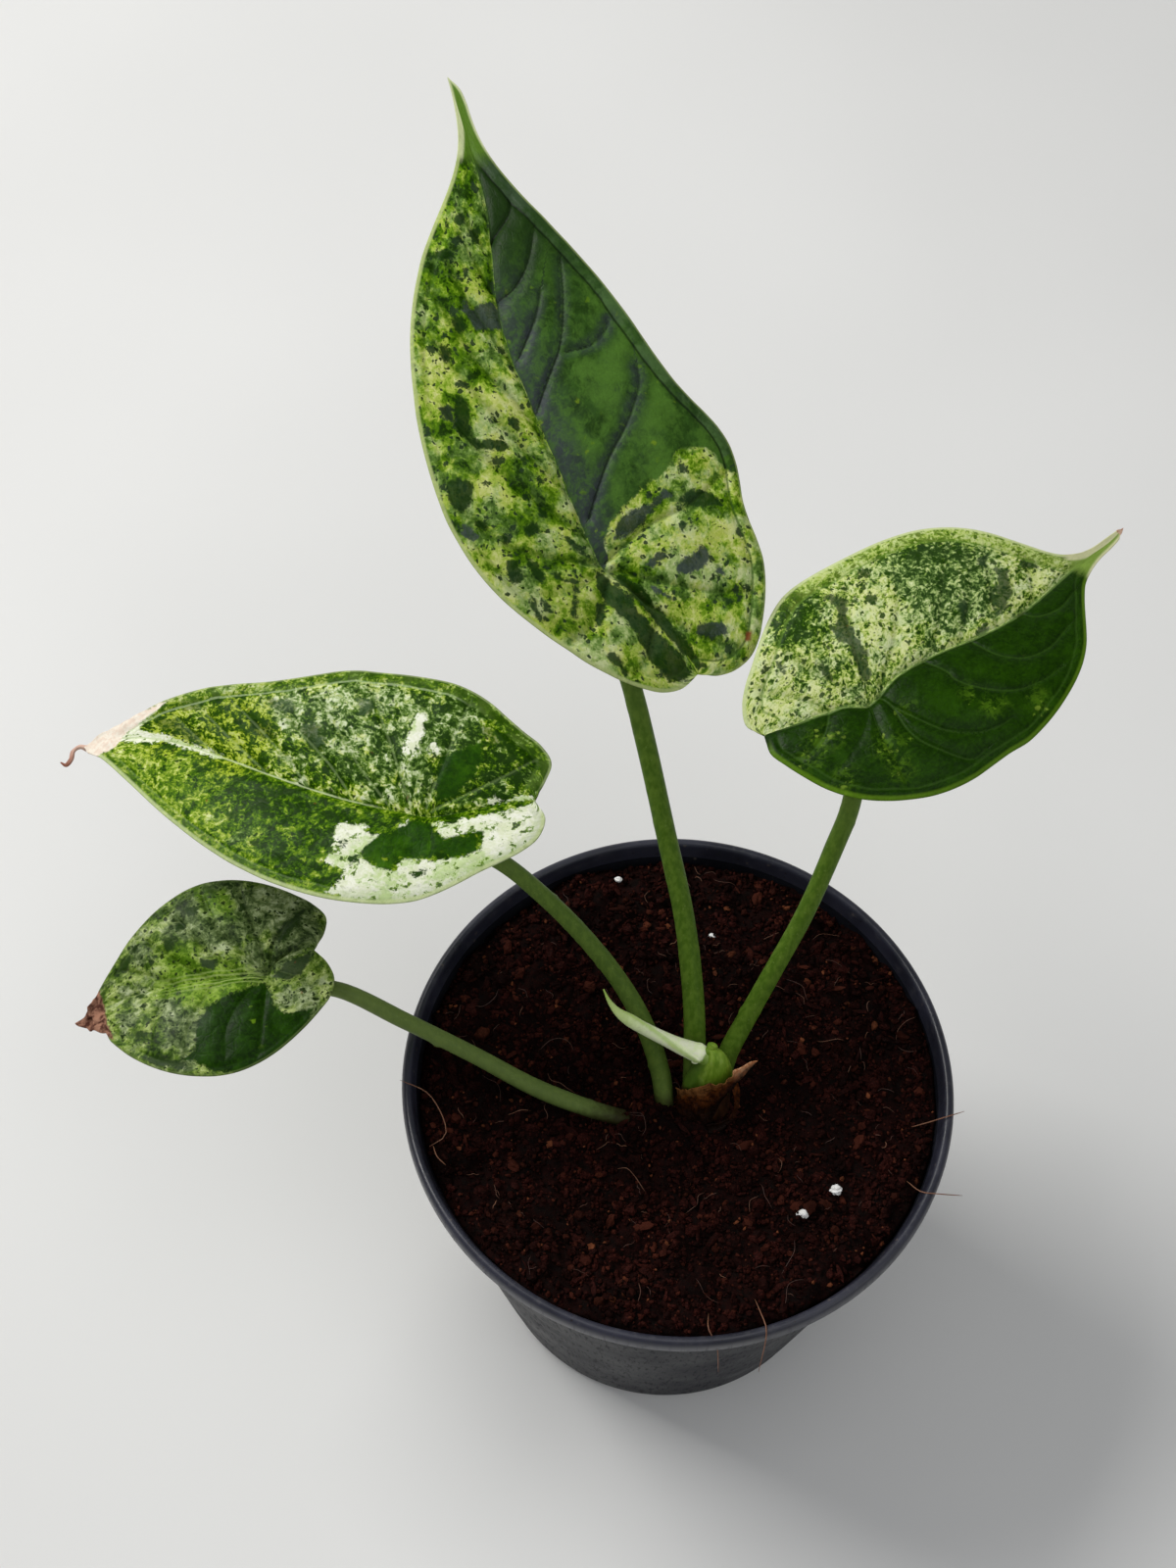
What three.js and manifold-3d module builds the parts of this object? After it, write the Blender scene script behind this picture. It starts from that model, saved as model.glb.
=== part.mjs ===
// Potted variegated dragon scale alocasia.
// Units are millimetres, +Z up. The origin is the middle of the pot's flat underside.
// Four grown leaves on long leaf stalks, one rolled young leaf, a dried sheath leaf,
// the short rootstock with its roots, the potting mix and the nursery pot.
import * as THREE from 'three';
import { mergeVertices } from 'three/addons/utils/BufferGeometryUtils.js';
import Module from 'manifold-3d';

const wasm = await Module();
wasm.setup();

// ---------------------------------------------------------------- driving dimensions
const RIM_D = 120;          // outside diameter over the rolled rim
const POT_H = 100;          // underside to the top of the rim
const BASE_D = 84;          // outside diameter of the base
const WALL = 1.2;           // moulded wall
const LIP_W = 2.4;          // width of the rolled rim seen from above
const LIP_DROP = 4.6;       // height of the rolled rim
const FLOOR_T = 1.6;        // floor thickness
const DRAIN_D = 7;          // drain holes
const DRAIN_N = 8;
const DRAIN_R = 30;         // radius of the ring of drain holes
const SOIL_TOP = 95.6;      // level of the potting mix
const GAP = 0.3;            // clearance between neighbouring solids
const BLADE_T = 0.8;        // blade thickness
const BLADE_ROWS = 22;      // grid rows from notch to tip
const BLADE_COLS = 4;       // grid columns on each side of the midrib
const STALK_SIDES = 10;
const POT_SIDES = 56;
const CROWN = [5.2, -5.4, 82];   // centre of the rootstock
const CROWN_R = 9;
const CROWN_HALF_H = 11;

// Each blade is drawn flat, in millimetres, on its own plane: x runs from the stalk's
// joint to the tip, y to the left of that line. The plane stands at "at", looks towards
// "tip" and is rolled about that line. "arch" lifts the blade between joint and tip,
// "fold" and "crown" shape the shallow valley along the midrib and the swell beside it.
const LEAVES = {
  leaf_1: {
    at: [-18.5, 60.2, 203.0], tip: [-50.8, 154.3, 238.0], roll: 4, arch: 7, fold: 0.26, crown: 34,
    ku: [0, 0.22, 0.42, 0.89, 1], kaxis: [0, 0.186, 0.236, 0.84, 1], kleft: [0, 0.22, 0.42, 0.9, 1], kright: [0, 0.22, 0.42, 0.88, 1],
    midrib: [[-23.7,-13.9],[-17.3,-11.3],[-11.2,-8.1],[-5.4,-4.3],[0,0],[8,1.9],[16.1,3.1],[24.2,4.3],[32.3,5.4],[40.4,6.4],[48.6,6.6],[56.7,5.6],[64.7,3.8],[72.8,2.2],[80.9,1.4],[89.1,1.1],[97.3,0.5],[105.4,-0]],
    left: [[-23.7,-13.9],[-25.5,-10.3],[-25.5,-6.2],[-24.1,-2.3],[-22.2,1.3],[-19.8,4.6],[-17.2,7.8],[-14.3,10.7],[-11.4,13.6],[-8.3,16.3],[-5.1,18.9],[-1.8,21.3],[1.8,23.4],[5.5,25.1],[9.4,26.4],[13.4,27.4],[17.4,27.9],[21.5,28.2],[25.7,28.3],[29.8,28.2],[33.9,27.9],[37.9,27.3],[42,26.6],[46,25.7],[49.9,24.6],[53.8,23.2],[57.6,21.6],[61.3,19.8],[64.9,17.9],[68.4,15.6],[71.7,13.3],[75,10.9],[78.4,8.5],[81.9,6.3],[85.5,4.4],[89.3,2.9],[93.3,1.8],[97.3,1],[101.4,0.4],[105.4,-0]],
    right: [[-23.7,-13.9],[-24.8,-17.4],[-24.8,-21.2],[-23.3,-24.7],[-20.5,-27.1],[-17,-28.7],[-13.4,-30],[-9.7,-31],[-6,-31.5],[-2.2,-31.2],[1.6,-30.6],[5.4,-30.4],[9.2,-30.9],[12.9,-31.3],[16.7,-31.1],[20.3,-29.8],[23.5,-27.8],[26.6,-25.6],[29.9,-23.6],[33.3,-22],[36.9,-20.5],[40.5,-19.2],[44.1,-18],[47.6,-16.7],[51.2,-15.3],[54.7,-13.9],[58.2,-12.4],[61.7,-10.9],[65.2,-9.3],[68.7,-7.8],[72.2,-6.2],[75.7,-4.8],[79.3,-3.5],[82.9,-2.4],[86.6,-1.6],[90.4,-1.2],[94.2,-1.2],[98,-1.4],[101.8,-1.2],[105.4,-0]],
  },
  leaf_2: {
    at: [33.5, 39.7, 188.0], tip: [88.7, 86.7, 183.0], roll: 8, arch: 5, fold: 0.3, crown: 28,
    ku: [0, 0.22, 0.43, 0.845, 1], kaxis: [0, 0.198, 0.248, 0.82, 1], kleft: [0, 0.25, 0.45, 0.85, 1], kright: [0, 0.2, 0.42, 0.84, 1],
    midrib: [[-18.7,8.1],[-13.9,6.3],[-9.1,4.6],[-4.4,2.7],[-0,0],[7.2,0.9],[14.5,0.1],[21.7,-1.6],[28.9,-3.1],[36.2,-3.6],[43.5,-3.1],[50.8,-2.2],[58.1,-1.6],[65.4,-1.2],[72.6,0]],
    left: [[-18.7,8.1],[-20.2,11.5],[-18.7,15],[-16,17.7],[-12.8,19.9],[-9.6,22.1],[-6.3,24.2],[-2.9,26],[0.8,27.3],[4.6,27.6],[8.5,27.2],[12.4,26.7],[16.2,26.2],[20,25.6],[23.8,24.8],[27.6,23.7],[31.2,22.4],[34.6,20.5],[37.7,18.2],[40.5,15.5],[43,12.6],[45.4,9.5],[47.8,6.5],[50.4,3.6],[53.5,1.3],[57.1,-0.1],[61,-0.5],[64.8,-0.3],[68.7,0],[72.6,0]],
    right: [[-18.7,8.1],[-20.3,4.4],[-19.8,0.3],[-18.8,-3.7],[-17.5,-7.6],[-15.6,-11.4],[-13.2,-14.7],[-10.2,-17.6],[-6.8,-20],[-3.2,-22],[0.7,-23.4],[4.8,-24.2],[9,-24.4],[13.1,-24.6],[17.2,-25.1],[21.4,-24.7],[25.4,-23.9],[29.4,-22.7],[33.3,-21.2],[37,-19.3],[40.4,-16.9],[43.4,-14.1],[46.4,-11.2],[49.5,-8.4],[52.8,-5.9],[56.6,-4.2],[60.6,-3.1],[64.7,-2.4],[68.7,-1.5],[72.6,0]],
  },
  leaf_3: {
    at: [-52.7, 24.7, 168.0], tip: [-127.9, 52.2, 147.0], roll: -12, arch: 5.5, fold: 0.26, crown: 30,
    ku: [0, 0.25, 0.45, 1], kaxis: [0, 0.182, 0.232, 1], kleft: [0, 0.25, 0.45, 1], kright: [0, 0.25, 0.45, 1],
    midrib: [[-18.9,-9.3],[-14,-7.3],[-9.4,-4.6],[-4.9,-1.9],[-0,0],[8.3,0.8],[16.6,1],[25,0.5],[33.3,-0.4],[41.6,-1.5],[49.9,-2.7],[58.2,-3.4],[66.6,-3.5],[74.9,-2.3],[82.8,0]],
    left: [[-18.9,-9.3],[-19.7,-13.3],[-19.9,-17.4],[-17.1,-20.2],[-13.3,-21.9],[-9.6,-23.7],[-5.9,-25.6],[-2,-27],[2,-27.8],[6.1,-27.9],[10.3,-27.6],[14.4,-27.2],[18.5,-26.6],[22.5,-26],[26.5,-24.8],[30.3,-23.2],[34.1,-21.6],[38,-20.2],[41.9,-19],[45.9,-18],[49.9,-16.9],[53.9,-15.8],[57.8,-14.3],[61.5,-12.7],[65.2,-10.9],[68.9,-8.9],[72.4,-6.8],[75.9,-4.6],[79.4,-2.3],[82.8,0]],
    right: [[-18.9,-9.3],[-21.9,-6.4],[-22.1,-2.1],[-20.1,1.8],[-17.3,5.2],[-14.3,8.4],[-11.3,11.7],[-8.1,14.7],[-4.6,17.3],[-0.6,19.2],[3.5,20.5],[7.9,21.4],[12.2,21.9],[16.6,22],[21,21.8],[25.4,21.3],[29.7,20.5],[34,19.5],[38.2,18.2],[42.3,16.8],[46.4,15.2],[50.5,13.5],[54.5,11.7],[58.5,9.8],[62.4,7.9],[66.4,6],[70.4,4.1],[74.4,2.4],[78.6,1.1],[82.8,0]],
  },
  leaf_4: {
    at: [-86.9, 9.2, 128.0], tip: [-126.9, 1.2, 119.0], roll: -6, arch: 3, fold: 0.28, crown: 24,
    ku: [0, 0.24, 0.44, 1], kaxis: [0, 0.193, 0.243, 1], kleft: [0, 0.24, 0.44, 1], kright: [0, 0.24, 0.44, 1],
    midrib: [[-9.9,-3.8],[-7.1,-4.1],[-4.3,-3.5],[-1.8,-2.2],[0,0],[4.2,-0.4],[8.4,-0.7],[12.6,-1.1],[16.7,-1.4],[20.9,-1.6],[25.1,-1.7],[29.3,-1.7],[33.5,-1.4],[37.6,-0.9],[41.7,-0]],
    left: [[-9.9,-3.8],[-12.3,-6.9],[-13.4,-10.6],[-11.3,-13.8],[-8.2,-16.3],[-4.9,-18.5],[-1.4,-20.3],[2.3,-21.6],[6.2,-22.4],[10.1,-22.5],[14,-21.7],[17.7,-20.2],[21.1,-18.3],[24.3,-15.9],[27.3,-13.4],[30.1,-10.6],[32.9,-7.8],[35.7,-5],[38.7,-2.4],[41.7,-0]],
    right: [[-9.9,-3.8],[-12.2,-0.4],[-13.2,3.5],[-11.9,7.3],[-9.2,10.3],[-6.2,13.1],[-3,15.6],[0.5,17.8],[4.2,19.3],[8.2,20.1],[12.3,20.1],[16.3,19.3],[20.1,18],[23.7,16.2],[27.1,13.9],[30.2,11.2],[32.9,8.2],[35.5,5],[38.4,2.2],[41.7,-0]],
  },
};

// Leaf stalks: centre line and radius, from the rootstock up to the blade's underside.
const STALKS = {
  leaf_1: { pts: [[3.4, -4.6, 93.8], [3.4, -2.3, 98.4], [3.3, 2.0, 106], [2.7, 8.6, 117], [0.2, 21.4, 131.5], [-4.4, 33.3, 148], [-8.8, 42.9, 165.3], [-12.4, 49.9, 178]], r0: 2.3, r1: 1.75 },
  leaf_2: { pts: [[8.6, -4.9, 93.6], [8.8, -2.9, 98], [10.2, 1.8, 106.6], [13.5, 6.4, 113.4], [18.9, 12.6, 126], [24.5, 18.9, 140], [29.0, 25.4, 155], [31.8, 30.4, 166]], r0: 2.15, r1: 1.7 },
  leaf_3: { pts: [[-2.2, -5.4, 90.4], [-2.8, -4.8, 96], [-3.8, -0.4, 101.5], [-7.6, 6.6, 111], [-13.5, 12.8, 120.6], [-22.3, 18.3, 132.6], [-30.5, 21.8, 142.6], [-37.5, 23.6, 150.8]], r0: 2.15, r1: 1.6 },
  leaf_4: { pts: [[-6.4, -8.3, 91.2], [-10.0, -8.4, 94.2], [-19.4, -7.4, 98.4], [-30.3, -5.0, 102.9], [-44.3, 0.0, 109.2], [-58.6, 4.6, 115.6], [-72.4, 8.8, 121.4]], r0: 1.95, r1: 1.6 },
};
const STALK_END = 2.6;      // the stalk stops this far below the blade's upper face

// The rolled young leaf: centre line with a radius at every point.
const YOUNG_LEAF = [
  [6.2, -8.3, 93.6, 1.2], [6.5, -7.0, 99, 1.45], [7.6, -3.6, 105.6, 1.7], [8.0, -1.6, 110.2, 2.05],
  [3.9, -0.7, 113.2, 2.0], [-0.6, 0.0, 115.8, 1.68], [-4.5, 0.6, 118.6, 1.45], [-8.1, 1.0, 121.8, 1.3],
  [-11.3, 1.2, 125.2, 1.12], [-13.7, 1.5, 128.2, 0.74], [-15.5, 2.3, 131.6, 0.42], [-16.7, 3.3, 135.0, 0.18],
];

// Roots: start on the rootstock, one bend, end; radius at the start and at the end.
const ROOTS = [
  [[9, -8, 76], [22, -16, 62], [30, -20, 40], 1.3, 0.6],
  [[-1, -9, 76], [-14, -20, 60], [-22, -26, 36], 1.3, 0.6],
  [[0, -1, 75], [-10, 14, 58], [-18, 24, 34], 1.2, 0.6],
  [[9, -1, 75], [20, 14, 60], [26, 24, 38], 1.2, 0.6],
  [[5, -6, 72], [7, -10, 48], [4, -8, 24], 1.2, 0.6],
  [[-2, -5, 79], [-20, -4, 70], [-34, -2, 54], 1.2, 0.6],
  [[12, -5, 79], [26, 0, 70], [38, 2, 56], 1.2, 0.6],
];

// Perlite grains lying on the mix: x, y and size.
const PERLITE = [
  [26.2, -29.8, 1.2], [33.5, -24.5, 1.15], [-13.2, 50.0, 0.75], [8.0, 35.6, 0.75],
];

// ---------------------------------------------------------------- colours of the pieces
const FINISH = {
  pot: [0x23222a, 0.42], mix: [0x2a1712, 0.95], rootstock: [0x6b5138, 0.85], stalk: [0x5f7d3b, 0.5],
  blade: [0x4f7a3c, 0.38], young: [0xc7d8ae, 0.45], sheath: [0x8a6238, 0.8], perlite: [0xe6e2da, 0.9],
};

const model = new THREE.Group();

function addMesh(name, geometry, finish, parent = model) {
  const material = new THREE.MeshStandardMaterial({ color: FINISH[finish][0], roughness: FINISH[finish][1], metalness: 0 });
  const mesh = new THREE.Mesh(geometry, material);
  mesh.name = name;
  parent.add(mesh);
  return mesh;
}

// ---------------------------------------------------------------- solids
// Merges shared vertices, drops faces without area and turns the faces outwards.
function closed(geometry) {
  geometry.deleteAttribute('normal');
  geometry.deleteAttribute('uv');
  const merged = mergeVertices(geometry, 1e-3);
  const p = merged.attributes.position.array;
  const idx = merged.index.array;
  let keep = [];
  let volume = 0;
  for (let i = 0; i < idx.length; i += 3) {
    const [a, b, c] = [idx[i], idx[i + 1], idx[i + 2]];
    if (a === b || b === c || a === c) continue;
    keep.push(a, b, c);
    const [ax, ay, az] = [p[3 * a], p[3 * a + 1], p[3 * a + 2]];
    const [bx, by, bz] = [p[3 * b], p[3 * b + 1], p[3 * b + 2]];
    const [cx, cy, cz] = [p[3 * c], p[3 * c + 1], p[3 * c + 2]];
    volume += ax * (by * cz - bz * cy) + ay * (bz * cx - bx * cz) + az * (bx * cy - by * cx);
  }
  if (volume < 0) {
    for (let i = 0; i < keep.length; i += 3) [keep[i + 1], keep[i + 2]] = [keep[i + 2], keep[i + 1]];
  }
  const out = new THREE.BufferGeometry();
  out.setAttribute('position', new THREE.BufferAttribute(new Float32Array(p), 3));
  out.setIndex(keep);
  return out;
}

function toSolid(geometry) {
  const g = closed(geometry);
  return new wasm.Manifold(new wasm.Mesh({
    numProp: 3,
    vertProperties: new Float32Array(g.attributes.position.array),
    triVerts: new Uint32Array(g.index.array),
  }));
}

function fromSolid(solid) {
  const m = solid.getMesh();
  const g = new THREE.BufferGeometry();
  g.setAttribute('position', new THREE.BufferAttribute(new Float32Array(m.vertProperties), 3));
  g.setIndex(Array.from(m.triVerts));
  return g;
}

// A sheet given by two grids of points becomes one closed solid with walls on its border.
function sheetSolid(top, bottom) {
  const ni = top.length;
  const nj = top[0].length;
  const pos = [];
  for (const grid of [top, bottom]) for (const row of grid) for (const p of row) pos.push(p.x, p.y, p.z);
  const id = (s, i, j) => s * ni * nj + i * nj + j;
  const idx = [];
  const quad = (a, b, c, d) => idx.push(a, b, c, a, c, d);
  for (let i = 0; i < ni - 1; i++) {
    for (let j = 0; j < nj - 1; j++) {
      quad(id(0, i, j), id(0, i + 1, j), id(0, i + 1, j + 1), id(0, i, j + 1));
      quad(id(1, i, j), id(1, i, j + 1), id(1, i + 1, j + 1), id(1, i + 1, j));
    }
  }
  for (let i = 0; i < ni - 1; i++) {
    quad(id(0, i + 1, 0), id(0, i, 0), id(1, i, 0), id(1, i + 1, 0));
    quad(id(0, i, nj - 1), id(0, i + 1, nj - 1), id(1, i + 1, nj - 1), id(1, i, nj - 1));
  }
  for (let j = 0; j < nj - 1; j++) {
    quad(id(0, 0, j), id(0, 0, j + 1), id(1, 0, j + 1), id(1, 0, j));
    quad(id(0, ni - 1, j + 1), id(0, ni - 1, j), id(1, ni - 1, j), id(1, ni - 1, j + 1));
  }
  const g = new THREE.BufferGeometry();
  g.setAttribute('position', new THREE.Float32BufferAttribute(pos, 3));
  g.setIndex(idx);
  return closed(g);
}

// A tube whose radius changes along a smooth centre line, closed at both ends.
function taperedTube(points, radiusAt, sides, steps) {
  const curve = new THREE.CatmullRomCurve3(points.map((p) => new THREE.Vector3(p[0], p[1], p[2])), false, 'centripetal');
  const frames = curve.computeFrenetFrames(steps, false);
  const pos = [];
  for (let i = 0; i <= steps; i++) {
    const c = curve.getPointAt(i / steps);
    const r = radiusAt(i / steps);
    for (let k = 0; k < sides; k++) {
      const a = (2 * Math.PI * k) / sides;
      const q = c.clone().addScaledVector(frames.normals[i], r * Math.cos(a)).addScaledVector(frames.binormals[i], r * Math.sin(a));
      pos.push(q.x, q.y, q.z);
    }
  }
  const first = curve.getPointAt(0);
  const last = curve.getPointAt(1);
  pos.push(first.x, first.y, first.z, last.x, last.y, last.z);
  const a0 = (steps + 1) * sides;
  const idx = [];
  for (let i = 0; i < steps; i++) {
    for (let k = 0; k < sides; k++) {
      const k2 = (k + 1) % sides;
      const [a, b, c, d] = [i * sides + k, i * sides + k2, (i + 1) * sides + k2, (i + 1) * sides + k];
      idx.push(a, b, c, a, c, d);
    }
  }
  for (let k = 0; k < sides; k++) {
    const k2 = (k + 1) % sides;
    idx.push(a0, k2, k, a0 + 1, steps * sides + k, steps * sides + k2);
  }
  const g = new THREE.BufferGeometry();
  g.setAttribute('position', new THREE.Float32BufferAttribute(pos, 3));
  g.setIndex(idx);
  return closed(g);
}

function turned(profile, sides) {
  const g = new THREE.LatheGeometry(profile.map((p) => new THREE.Vector2(p[0], p[1])), sides);
  g.rotateX(Math.PI / 2);
  return g;
}

// ---------------------------------------------------------------- blade surface
// Smooth curve through flat points, with its parameter running 0..1 by chord length.
function along(points, t) {
  const n = points.length;
  const cl = [0];
  for (let i = 1; i < n; i++) cl.push(cl[i - 1] + Math.hypot(points[i][0] - points[i - 1][0], points[i][1] - points[i - 1][1]));
  const s = Math.min(Math.max(t, 0), 1) * cl[n - 1];
  let i = 0;
  while (i < n - 2 && s >= cl[i + 1]) i++;
  const f = (s - cl[i]) / (cl[i + 1] - cl[i]);
  const p1 = points[i];
  const p2 = points[i + 1];
  const p0 = i > 0 ? points[i - 1] : [2 * p1[0] - p2[0], 2 * p1[1] - p2[1]];
  const p3 = i < n - 2 ? points[i + 2] : [2 * p2[0] - p1[0], 2 * p2[1] - p1[1]];
  return [0, 1].map((k) => 0.5 * (2 * p1[k] + (p2[k] - p0[k]) * f + (2 * p0[k] - 5 * p1[k] + 4 * p2[k] - p3[k]) * f * f
    + (3 * p1[k] - p0[k] - 3 * p2[k] + p3[k]) * f * f * f));
}

function interp(x, xs, ys) {
  let i = 0;
  while (i < xs.length - 2 && x > xs[i + 1]) i++;
  return ys[i] + ((ys[i + 1] - ys[i]) * (x - xs[i])) / (xs[i + 1] - xs[i]);
}

function distanceTo(line, x, y) {
  let best = Infinity;
  for (let i = 0; i < line.length - 1; i++) {
    const [ax, ay] = line[i];
    const [bx, by] = [line[i + 1][0] - ax, line[i + 1][1] - ay];
    const t = Math.min(Math.max(((x - ax) * bx + (y - ay) * by) / Math.max(bx * bx + by * by, 1e-9), 0), 1);
    best = Math.min(best, Math.hypot(x - ax - t * bx, y - ay - t * by));
  }
  return best;
}

function bladePlane(leaf) {
  const o = new THREE.Vector3(...leaf.at);
  const u = new THREE.Vector3(...leaf.tip).sub(o);
  const length = u.length();
  u.normalize();
  const v0 = new THREE.Vector3(0, 0, 1).cross(u).normalize();
  const n0 = u.clone().cross(v0);
  const r = THREE.MathUtils.degToRad(leaf.roll);
  const v = v0.clone().multiplyScalar(Math.cos(r)).addScaledVector(n0, Math.sin(r));
  return { o, u, v, n: u.clone().cross(v), length };
}

function bladeGeometry(leaf) {
  const plane = bladePlane(leaf);
  const rib = [];
  for (let i = 0; i <= 60; i++) rib.push(along(leaf.midrib, i / 60));
  const height = (x, y) => {
    const t = x / plane.length;
    const d = distanceTo(rib, x, y);
    return 4 * leaf.arch * t * (1 - t) + leaf.fold * d - (leaf.fold / leaf.crown) * d * d;
  };
  const top = [];
  const bottom = [];
  for (let i = 0; i <= BLADE_ROWS; i++) {
    const u = i / BLADE_ROWS;
    const axis = along(leaf.midrib, interp(u, leaf.ku, leaf.kaxis));
    const left = along(leaf.left, interp(u, leaf.ku, leaf.kleft));
    const right = along(leaf.right, interp(u, leaf.ku, leaf.kright));
    const rowTop = [];
    const rowBottom = [];
    for (let j = -BLADE_COLS; j <= BLADE_COLS; j++) {
      const edge = j < 0 ? left : right;
      const v = Math.abs(j) / BLADE_COLS;
      const x = axis[0] + (edge[0] - axis[0]) * v;
      const y = axis[1] + (edge[1] - axis[1]) * v;
      const p = plane.o.clone().addScaledVector(plane.u, x).addScaledVector(plane.v, y).addScaledVector(plane.n, height(x, y));
      rowTop.push(p);
      rowBottom.push(p.clone().addScaledVector(plane.n, -BLADE_T));
    }
    top.push(rowTop);
    bottom.push(rowBottom);
  }
  return sheetSolid(top, bottom);
}

// ---------------------------------------------------------------- pot
const rimR = RIM_D / 2;
const baseR = BASE_D / 2;
const wallTopR = rimR - LIP_W + 0.2;                    // outside of the wall under the rim
const wallR = (z) => baseR + ((wallTopR - baseR) * z) / (POT_H - LIP_DROP);
const potProfile = [
  [0, 0], [baseR - 2, 0], [baseR, 2], [wallR(POT_H - LIP_DROP - 0.6), POT_H - LIP_DROP - 0.6],
  [rimR - 0.7, POT_H - LIP_DROP], [rimR, POT_H - LIP_DROP + 0.8], [rimR, POT_H - 1.3], [rimR - 0.7, POT_H - 0.2],
  [rimR - 1.2, POT_H], [rimR - 1.9, POT_H - 0.3], [rimR - LIP_W, POT_H - 1.4],
  [wallR(92) - WALL, 92], [wallR(FLOOR_T + 1.5) - WALL, FLOOR_T + 1.5], [wallR(FLOOR_T) - WALL - 1.5, FLOOR_T], [0, FLOOR_T],
];
let potSolid = toSolid(turned(potProfile, POT_SIDES));
for (let i = 0; i < DRAIN_N; i++) {
  const a = (2 * Math.PI * (i + 0.5)) / DRAIN_N;
  const hole = new THREE.CylinderGeometry(DRAIN_D / 2, DRAIN_D / 2, 6 * FLOOR_T, 12);
  hole.rotateX(Math.PI / 2);
  hole.translate(DRAIN_R * Math.cos(a), DRAIN_R * Math.sin(a), FLOOR_T / 2);
  potSolid = potSolid.subtract(toSolid(hole));
}
addMesh('pot', fromSolid(potSolid), 'pot');

// ---------------------------------------------------------------- plant
const plant = new THREE.Group();
model.add(plant);

const stalkPoints = {};
for (const [name, stalk] of Object.entries(STALKS)) {
  const { o, n } = bladePlane(LEAVES[name]);
  const under = o.clone().addScaledVector(n, -STALK_END);
  const bend = o.clone().addScaledVector(n, -STALK_END - 5);
  const last = stalk.pts[stalk.pts.length - 1];
  // the top of the stalk bends over into the underside of the blade
  bend.lerp(new THREE.Vector3(...last), 0.22);
  stalkPoints[name] = [...stalk.pts, bend.toArray(), under.toArray()];
}
const stalkGeometry = (name, grow) => {
  const { r0, r1 } = STALKS[name];
  return taperedTube(stalkPoints[name], (t) => r0 + (r1 - r0) * t + grow, STALK_SIDES, 18);
};

const youngGeometry = (grow) => {
  const pts = YOUNG_LEAF;
  const cl = [0];
  for (let i = 1; i < pts.length; i++) cl.push(cl[i - 1] + Math.hypot(pts[i][0] - pts[i - 1][0], pts[i][1] - pts[i - 1][1], pts[i][2] - pts[i - 1][2]));
  const at = cl.map((c) => c / cl[cl.length - 1]);
  return taperedTube(pts, (t) => interp(t, at, pts.map((p) => p[3])) + grow, STALK_SIDES, 20);
};

const rootstock = (grow) => {
  const profile = [];
  const n = 8;
  for (let i = 0; i <= n; i++) {
    const a = -Math.PI / 2 + (Math.PI * i) / n;
    profile.push([Math.abs(i % n) < 1e-9 ? 0 : (CROWN_R + grow) * Math.cos(a), (CROWN_HALF_H + grow) * Math.sin(a)]);
  }
  const body = turned(profile, 16);
  body.translate(...CROWN);
  let solid = toSolid(body);
  for (const [a, b, c, r0, r1] of ROOTS) solid = solid.add(toSolid(taperedTube([a, b, c], (t) => r0 + (r1 - r0) * t + grow, 6, 6)));
  return solid;
};

for (const name of Object.keys(LEAVES)) {
  addMesh(`${name}_blade`, bladeGeometry(LEAVES[name]), 'blade', plant);
  addMesh(`${name}_petiole`, stalkGeometry(name, 0), 'stalk', plant);
}
addMesh('young_leaf_rolled', youngGeometry(0), 'young', plant);
addMesh('rootstock_with_roots', fromSolid(rootstock(0)), 'rootstock', plant);

// ---------------------------------------------------------------- dried sheath leaf
// A thin papery band round the front of the stalks, torn to a point on the right.
const sheathTop = [];
const sheathIn = [];
const SHEATH_C = [5.9, -5.3];
const SHEATH_R = [6.35, 4.5];
const SHEATH_TIP = [16.3, -1.7, 111.9];
for (let i = 0; i <= 22; i++) {
  const s = i / 22;
  const a = THREE.MathUtils.degToRad(186 + 170 * s);
  const topZ = interp(s, [0, 0.1, 0.2, 0.5, 0.75, 0.9, 1], [100.4, 103.6, 105.4, 108.8, 111, 112.2, 112.4]);
  const lowZ = interp(s, [0, 0.54, 0.62, 0.74, 1], [SOIL_TOP + 0.35, SOIL_TOP + 0.35, 99.5, 105.6, 108]);
  const outer = [];
  const inner = [];
  for (let k = 0; k <= 5; k++) {
    const w = k / 5;
    const pull = Math.pow(THREE.MathUtils.smoothstep(s, 0.8, 1), 1.5);
    const z = lowZ + (topZ - lowZ) * w;
    const lean = (z - SOIL_TOP) / 13;
    for (const [list, t] of [[outer, 0], [inner, -0.4]]) {
      const p = new THREE.Vector3(SHEATH_C[0] + 0.2 * lean + (SHEATH_R[0] - 0.15 * lean + t) * Math.cos(a),
        SHEATH_C[1] + 2.3 * lean + (SHEATH_R[1] - 0.9 * lean + t) * Math.sin(a), z);
      const tip = new THREE.Vector3(SHEATH_TIP[0], SHEATH_TIP[1] - t, SHEATH_TIP[2] + 0.7 * (w - 0.5));
      list.push(p.lerp(tip, 0.97 * pull));
    }
  }
  sheathTop.push(outer);
  sheathIn.push(inner);
}
addMesh('dried_sheath_leaf', sheetSolid(sheathTop, sheathIn), 'sheath', plant);

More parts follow.
